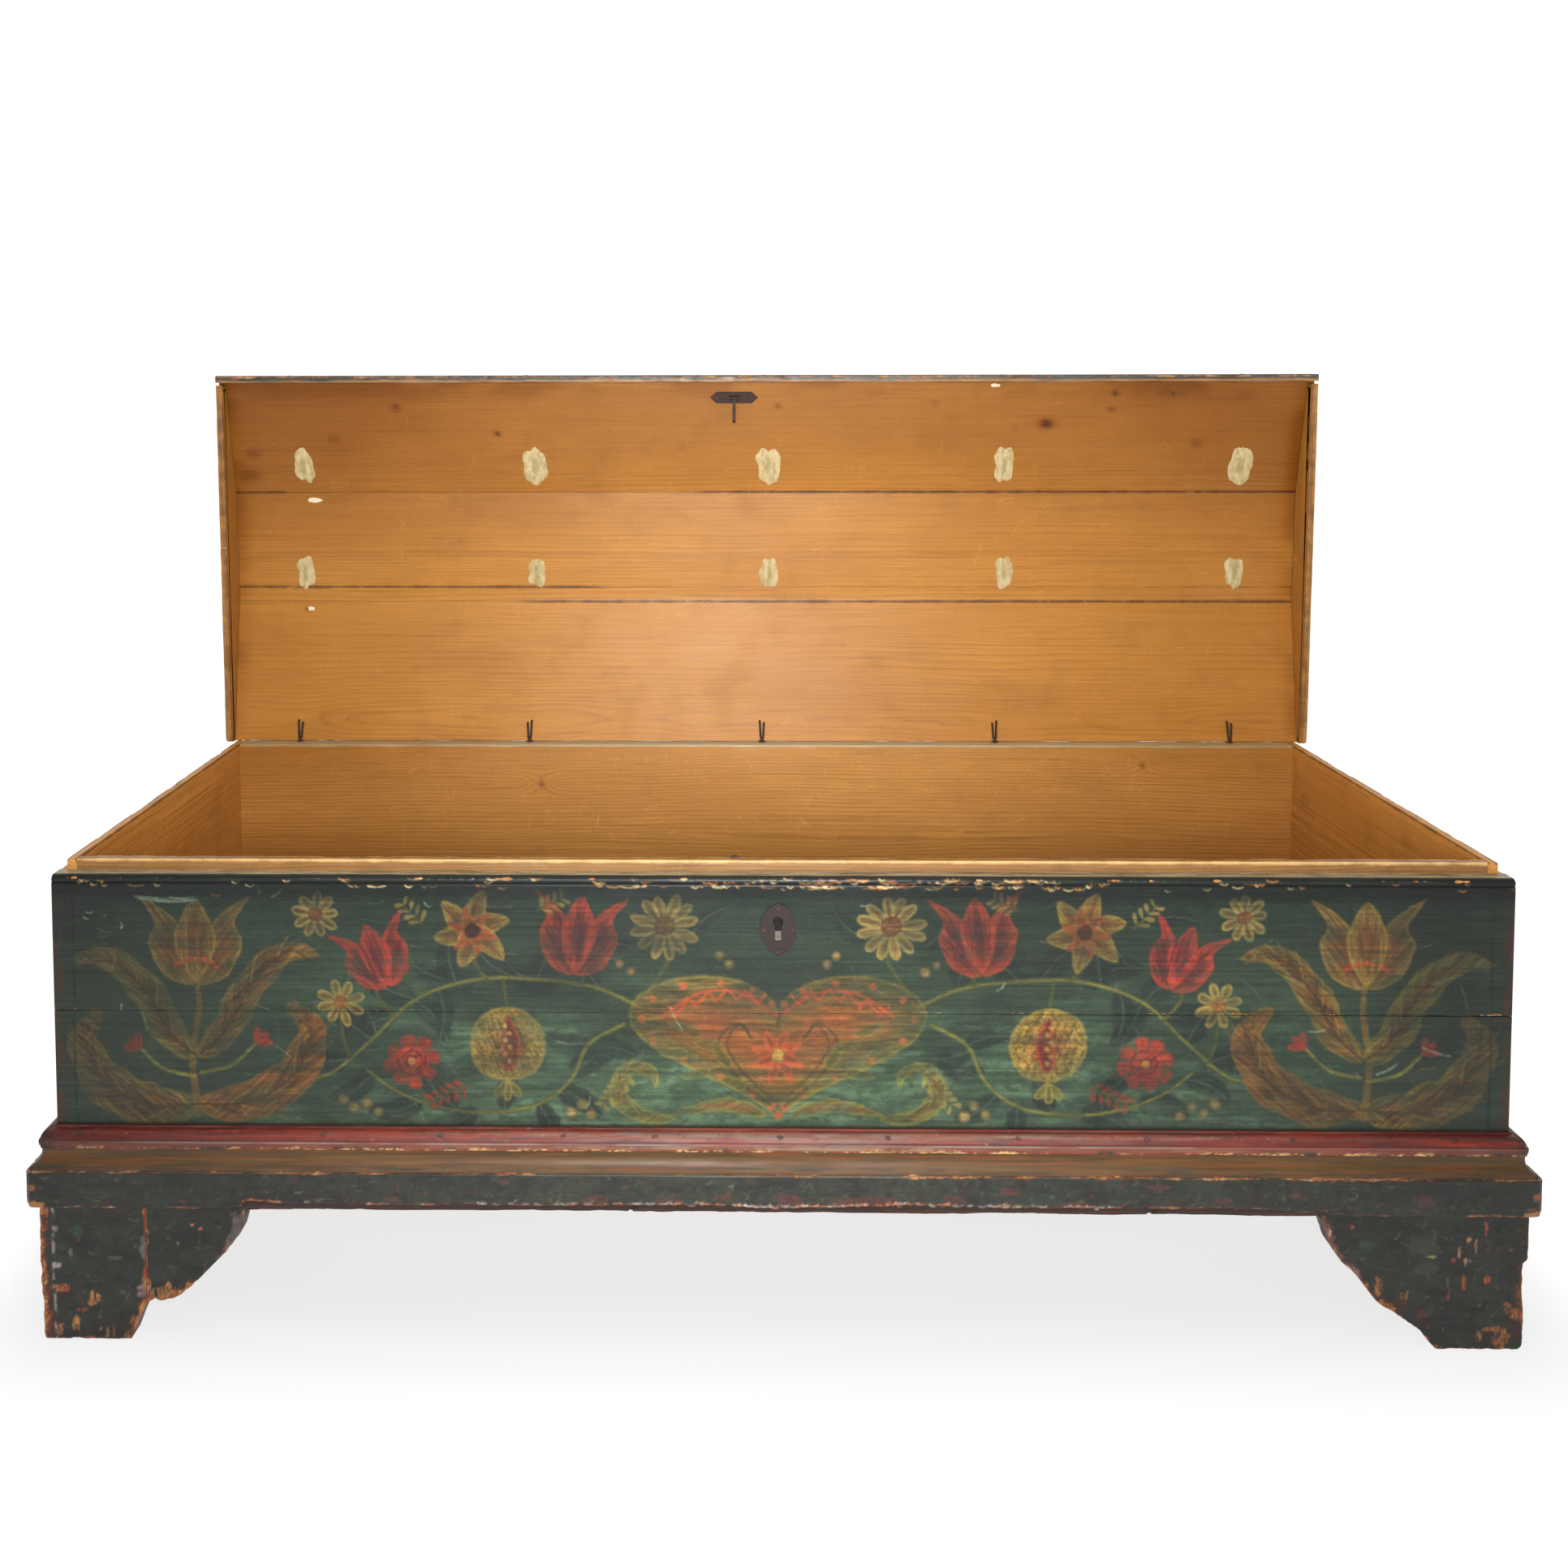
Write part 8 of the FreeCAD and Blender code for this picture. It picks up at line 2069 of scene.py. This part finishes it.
g = 0.12
lid_board("lid_board_front_piece", [(372 + g, 48.0 + SF * g, 1, 6.0), (537.0, 14.5, 0, 8.0), (537.0, OD3, 0, 8.0), (O2[0], O2[1], 0, 8.0)],
          "lid_board_front", {"pz": 250.0, "py": -40.0, "spacing": 3.4, "seed": 101, "wave": 8.0, "dip": 8.0,
                              "knots": ((417, 475, 6.5), (-544, 500, 3.0), (-395, 461, 2.4), (515, 520, 2.4), (600, 519, 2.2))}, seed=102)
lid_board("lid_board_middle_piece", [(228 + g, float(inner_d(228 + g)), 1, 6.0), (372 - g, float(inner_d(372 - g)), 1, 8.0),
                                     (O2[0], O2[1], 0, 8.0), (228 + g, float(outer_d(228 + g)), 0, 8.0)],
          "lid_board_middle", {"pz": 480.0, "py": -55.0, "spacing": 3.8, "seed": 104, "wave": 9.0, "dip": 10.0}, seed=105)
lid_board("lid_filler_piece", [(206 + g, float(inner_d(206 + g)), 1, 5.0), (210.0, 50.0, 0, 5.0), (228 - g, float(inner_d(228 - g)), 1, 5.0),
                               (228 - g, float(outer_d(228 - g)), 0, 6.0), (O1[0], O1[1], 0, 6.0),
                               (206 + g, float(outer_d(206 + g)), 0, 6.0)],
          "lid_filler_strip", {"pz": 150.0, "py": -60.0, "spacing": 4.4, "seed": 107, "wave": 6.0, "dip": 8.0}, seed=108)
LB = lid_board("lid_board_back_piece", [(0.6, 14.6, 1, 6.0), (206 - g, float(inner_d(206 - g)), 1, 8.0),
                                        (206 - g, float(outer_d(206 - g)), 0, 8.0), (0.6, OD0 + 0.1, 1, 8.0)],
               "lid_board_back", {"pz": 30.0, "py": 20.0, "slope": 0.006, "spacing": 5.0, "seed": 111, "wave": 12.0, "dip": 16.0}, seed=112)

# cheeks
cheek = [(8.0, 0.0, 1), (533.5, 0.0, 1), (533.5, float(inner_d(533.5)), 0), (372.0, 47.9, 0), (210.0, 49.9, 0), (0.0, 14.4, 0),
         (0.0, 8.0, 1), (2.3, 2.3, 0)]
for side, tag in ((-1, "left"), (1, "right")):
    ob = plate("lid_cheek_" + tag + "_piece", cheek, 10.0, lambda a, b, d, s=side: lid_pt(np.full_like(a, 0.0) + s * (793.0 + d), b, a),
               rings=((0, 1.2), (0.4, 0.4), (1.2, 0.0), (4.0, 0.0), (9.0, 0.0)), both=True, chip=1.6, chip_bias=0.5, chip_scale=40.0,
               seed=121 + side, step=4.0, wood={"pz": 60.0, "py": -20.0, "spacing": 4.2, "seed": 123 + side, "wave": 6.0, "dip": 6.0},
               wood_map=lambda a, b, d: (a, d, b), chip_mask=lambda a, b: np.where(b > 10, -1.0, 0.0))
    me = ob.data
    me.materials.append(M_CHEEK)
    me.materials.append(M_GREEN_L)
    nor = np.zeros(len(me.polygons) * 3, np.float32)
    me.polygons.foreach_get("normal", nor)
    nor = nor.reshape(-1, 3)
    me.polygons.foreach_set("material_index", ((nor[:, 0] * side) > 0.6).astype(np.int32))
    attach(ob, "lid")
    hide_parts("lid_cheek_" + tag)

# nosing
nose = [(537.2, 0.8, 0, 2.0), (538.0, 0.2, 0, 2.0), (545.4, 0.2, 1, 2.0), (547.3, 2.2, 0, 2.0), (547.3, 25.0, 0, 2.0),
        (545.8, 28.6, 1, 2.0), (542.0, 29.8, 0, 2.0), (537.2, 29.8, 0, 4.0)]
ob = sweep("lid_nosing_piece", [(d, s, c, st) for s, d, c, st in nose], np.linspace(-803, 803, 536), lambda T, U, W: lid_pt(T, U, W), 2.0,
           chip=1.6, chip_bias=0.5, chip_scale=26.0, seed=131, wob=0.35, edge_reach=3.0,
           extra={"low": lambda T, U, W: sstep(0.9, -0.9, W - (540.9 + 4.0 * (fbm(T / 46.0, 2.0, 5.0, 3, 133) - 0.5) + 3.6 * np.exp(
               -((T + 54.0) / 9.0) ** 2) - 1.6 * sstep(-500.0, -780.0, T))) * (U < 8.0)})


def bare_lip(m, col, sh):
    w = m.noise(stretch("x", 42, 1.4), 3.0, 0.6, shift=(2.0, 3.0, 4.0))
    b = m.noise((1 / 38.0, 1 / 10.0, 1 / 10.0), 3.0, 0.6, shift=(5.0, 1.0, 2.0))
    wood = m.mix(m.rng(w, 0.35, 0.68), C(176, 128, 72), C(112, 70, 38))
    col = m.mix(m.rng(b, 0.56, 0.68, 0.0, 0.6), col, C(140, 92, 74))
    return m.mix(m.math("MULTIPLY", m.attr("low"), 0.92), col, wood)


give(ob, worn_paint("nosing_paint", (50, 60, 54), (78, 88, 82), (140, 78, 44), (190, 142, 84), "x", 9.0, wear=0.9, chips=0.9, tint=bare_lip), "lid",
     "lid_nosing", slot="painted_boards")


# putty smears over the filled slots
def smear(name, x, s, w, h, hole, seed):
    n = 40
    t = np.arange(n) / n * 2 * np.pi
    sup = (np.abs(np.cos(t)) ** 3.0 + np.abs(np.sin(t)) ** 3.0) ** (-1 / 3.0)
    rr = sup * (0.80 + 0.40 * vn(np.cos(t) * 2.1 + 7, np.sin(t) * 2.1 + 7, seed, seed))
    tear = 0.10 * (vn(np.cos(t) * 7.1 + 7, np.sin(t) * 7.1 + 7, seed + 2, seed) - 0.5)
    rr = rr + tear
    V, core, levels = [], [], ((1.0, 0.05), (0.97, 0.35), (0.85, 0.5), (0.62, 0.42), (0.36, 0.5), (0.16, 0.35))
    ss_, xx_ = np.sin(t), np.cos(t)
    for f, hgt in levels:
        a = x + xx_ * rr * w / 2 * f
        b = s + ss_ * rr * h / 2 * f
        hh = hgt + 0.12 * (vn(a / 3.0, b / 3.0, seed, seed) - 0.5)
        V.append(lid_pt(a, inner_d(b) - np.clip(hh, 0.03, 0.55), b))
        core.append(np.clip(1.2 - np.maximum(np.abs(a - x) / hole[0], np.abs(b - s) / hole[1]), 0, 1) - (hole[0] < 1))
    back = lid_pt(x + xx_ * rr * w / 2, inner_d(s + ss_ * rr * h / 2) + 0.02, s + ss_ * rr * h / 2)
    V = [back] + V
    core = [core[0]] + core
    verts = np.concatenate(V)
    M = len(V)
    ob = make_mesh(name, verts, tube_quads(n, M), [np.arange(n)[::-1], (M - 1) * n + np.arange(n)], {"core": np.concatenate(core)}, {})
    fix_winding(ob)
    give(ob, M_PUTTY, "lid", slot="putty")
    return ob


for i, (x, s, w, h) in enumerate(((-675, 360, 23, 7), (-684, 195, 10, 6), (339, 531.5, 13, 5))):
    smear("putty_bit_%d" % i, float(x), float(s), w, h, (0.1, 0.1), 180 + i)
first = None
for r_, (s, xs_, w, h, hole) in enumerate(((412.0, (-688, -340, 8, 359, 709), 33, 50, (5.0, 18.0)),
                                           (250.0, (-692, -341, 10, 362, 707), 25, 46, (4.5, 17.0)))):
    for c_, x in enumerate(xs_):
        ob = smear("putty_%d_%d" % (r_, c_), x, s, w * (0.9 + 0.2 * vn(c_ * 3.3, r_, 0, 5)), h * (0.94 + 0.12 * vn(c_, r_ * 2.0, 1, 6)), hole,
                   140 + 10 * r_ + c_)
        if first is None:
            first = ob
            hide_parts("lid_putty_fills")

# ------------------------------------------------------------------ stage, light, camera
bpy.ops.mesh.primitive_plane_add(size=16, location=(0, 0.6, -0.0005))
floor = bpy.context.object
floor.name = "studio_floor"


def stage_mat(name, shade):
    """Pale paper; a painted soft shadow under the object, white everywhere else."""
    m = Mat(name)
    if shade:
        x, y, z = m.sep(m.vec("MULTIPLY", m.P, (0.001, 0.001, 0.001)))
        ax = m.rng(m.math("ABSOLUTE", x), 0.80, 1.02, 1.0, 0.0)
        ay = m.rng(y, -1.16, -0.80, 0.0, 1.0)
        by = m.rng(y, 0.1, 1.2, 1.0, 0.0)
        k = m.math("MULTIPLY", ax, m.math("MULTIPLY", ay, by))
        em = m.mix(k, (1.0, 1.0, 1.0, 1), (0.74, 0.74, 0.74, 1))
    else:
        em = (1.0, 1.0, 1.0, 1.0)
    paper = m.mix(m.rng(m.noise((1 / 500.0,) * 3, 3.0, 0.5), 0.3, 0.7), (0.10, 0.10, 0.10, 1), (0.09, 0.09, 0.09, 1))
    m.finish(paper, 0.95, None, 0.05)
    m.link(m.b.inputs["Emission Color"], em)
    m.b.inputs["Emission Strength"].default_value = 1.045
    return m.m


floor.data.materials.append(stage_mat("studio_floor_mat", True))
bpy.ops.mesh.primitive_plane_add(size=16, location=(0, 6.0, 6.0), rotation=(math.pi / 2, 0, 0))
wall = bpy.context.object
wall.name = "studio_wall"
wall.data.materials.append(stage_mat("studio_wall_mat", False))

world = bpy.data.worlds.new("studio")
bpy.context.scene.world = world
world.use_nodes = True
bg = world.node_tree.nodes["Background"]
bg.inputs[0].default_value = (1.0, 1.0, 1.0, 1.0)
bg.inputs[1].default_value = 0.36


def area(name, loc, target, size, power, size_y=None, colour=(1, 1, 1), spread=180.0):
    ld = bpy.data.lights.new(name, "AREA")
    ld.shape = "RECTANGLE"
    ld.size = size
    ld.size_y = size_y or size
    ld.energy = power
    ld.color = colour
    ld.spread = math.radians(spread)
    ob = bpy.data.objects.new(name, ld)
    ob.location = loc
    d = Vector(target) - Vector(loc)
    ob.rotation_euler = d.to_track_quat("-Z", "Y").to_euler()
    bpy.context.scene.collection.objects.link(ob)
    return ob


area("key", (-0.06, -2.1, 1.3), (0, 0.1, 0.55), 0.6, 18)
area("front_glow", (-0.06, -1.85, 0.84), (0, 0.2, 0.70), 0.32, 5.4, 0.5, spread=78.0)
area("top", (0, -0.5, 2.9), (0, 0.15, 0.3), 1.8, 18)

cam_d = bpy.data.cameras.new("camera")
cam = bpy.data.objects.new("camera", cam_d)
bpy.context.scene.collection.objects.link(cam)
bpy.context.scene.camera = cam
cam_d.sensor_fit = "HORIZONTAL"
cam_d.sensor_width = 36.0
cam_d.lens = 1691.121 / 1932.0 * 36.0
cam_d.shift_x = (966.0 - 867.728) / 1932.0
cam_d.shift_y = (584.137 - 966.0) / 1932.0
cam_d.clip_start, cam_d.clip_end = 0.05, 60.0
tilt, yaw, roll = math.radians(2.927), math.radians(-0.786), math.radians(-0.091)
f = Vector((math.sin(yaw), math.cos(yaw), 0))
R = Vector((math.cos(yaw), -math.sin(yaw), 0))
u = Vector((0, 0, 1))
f2 = math.cos(tilt) * f - math.sin(tilt) * u
u2 = math.cos(tilt) * u + math.sin(tilt) * f
R3 = math.cos(roll) * R + math.sin(roll) * u2
U3 = math.cos(roll) * u2 - math.sin(roll) * R
rot = Matrix((R3, U3, -f2)).transposed()
cam.matrix_world = Matrix.Translation(((-59.781) * 0.001, (-1476.406 + FY) * 0.001, 1034.234 * 0.001)) @ rot.to_4x4()

sc = bpy.context.scene
sc.view_settings.view_transform = "Standard"
sc.view_settings.look = "None"
sc.view_settings.exposure = 0.0
sc.view_settings.gamma = 1.0

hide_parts("back_board_upper")
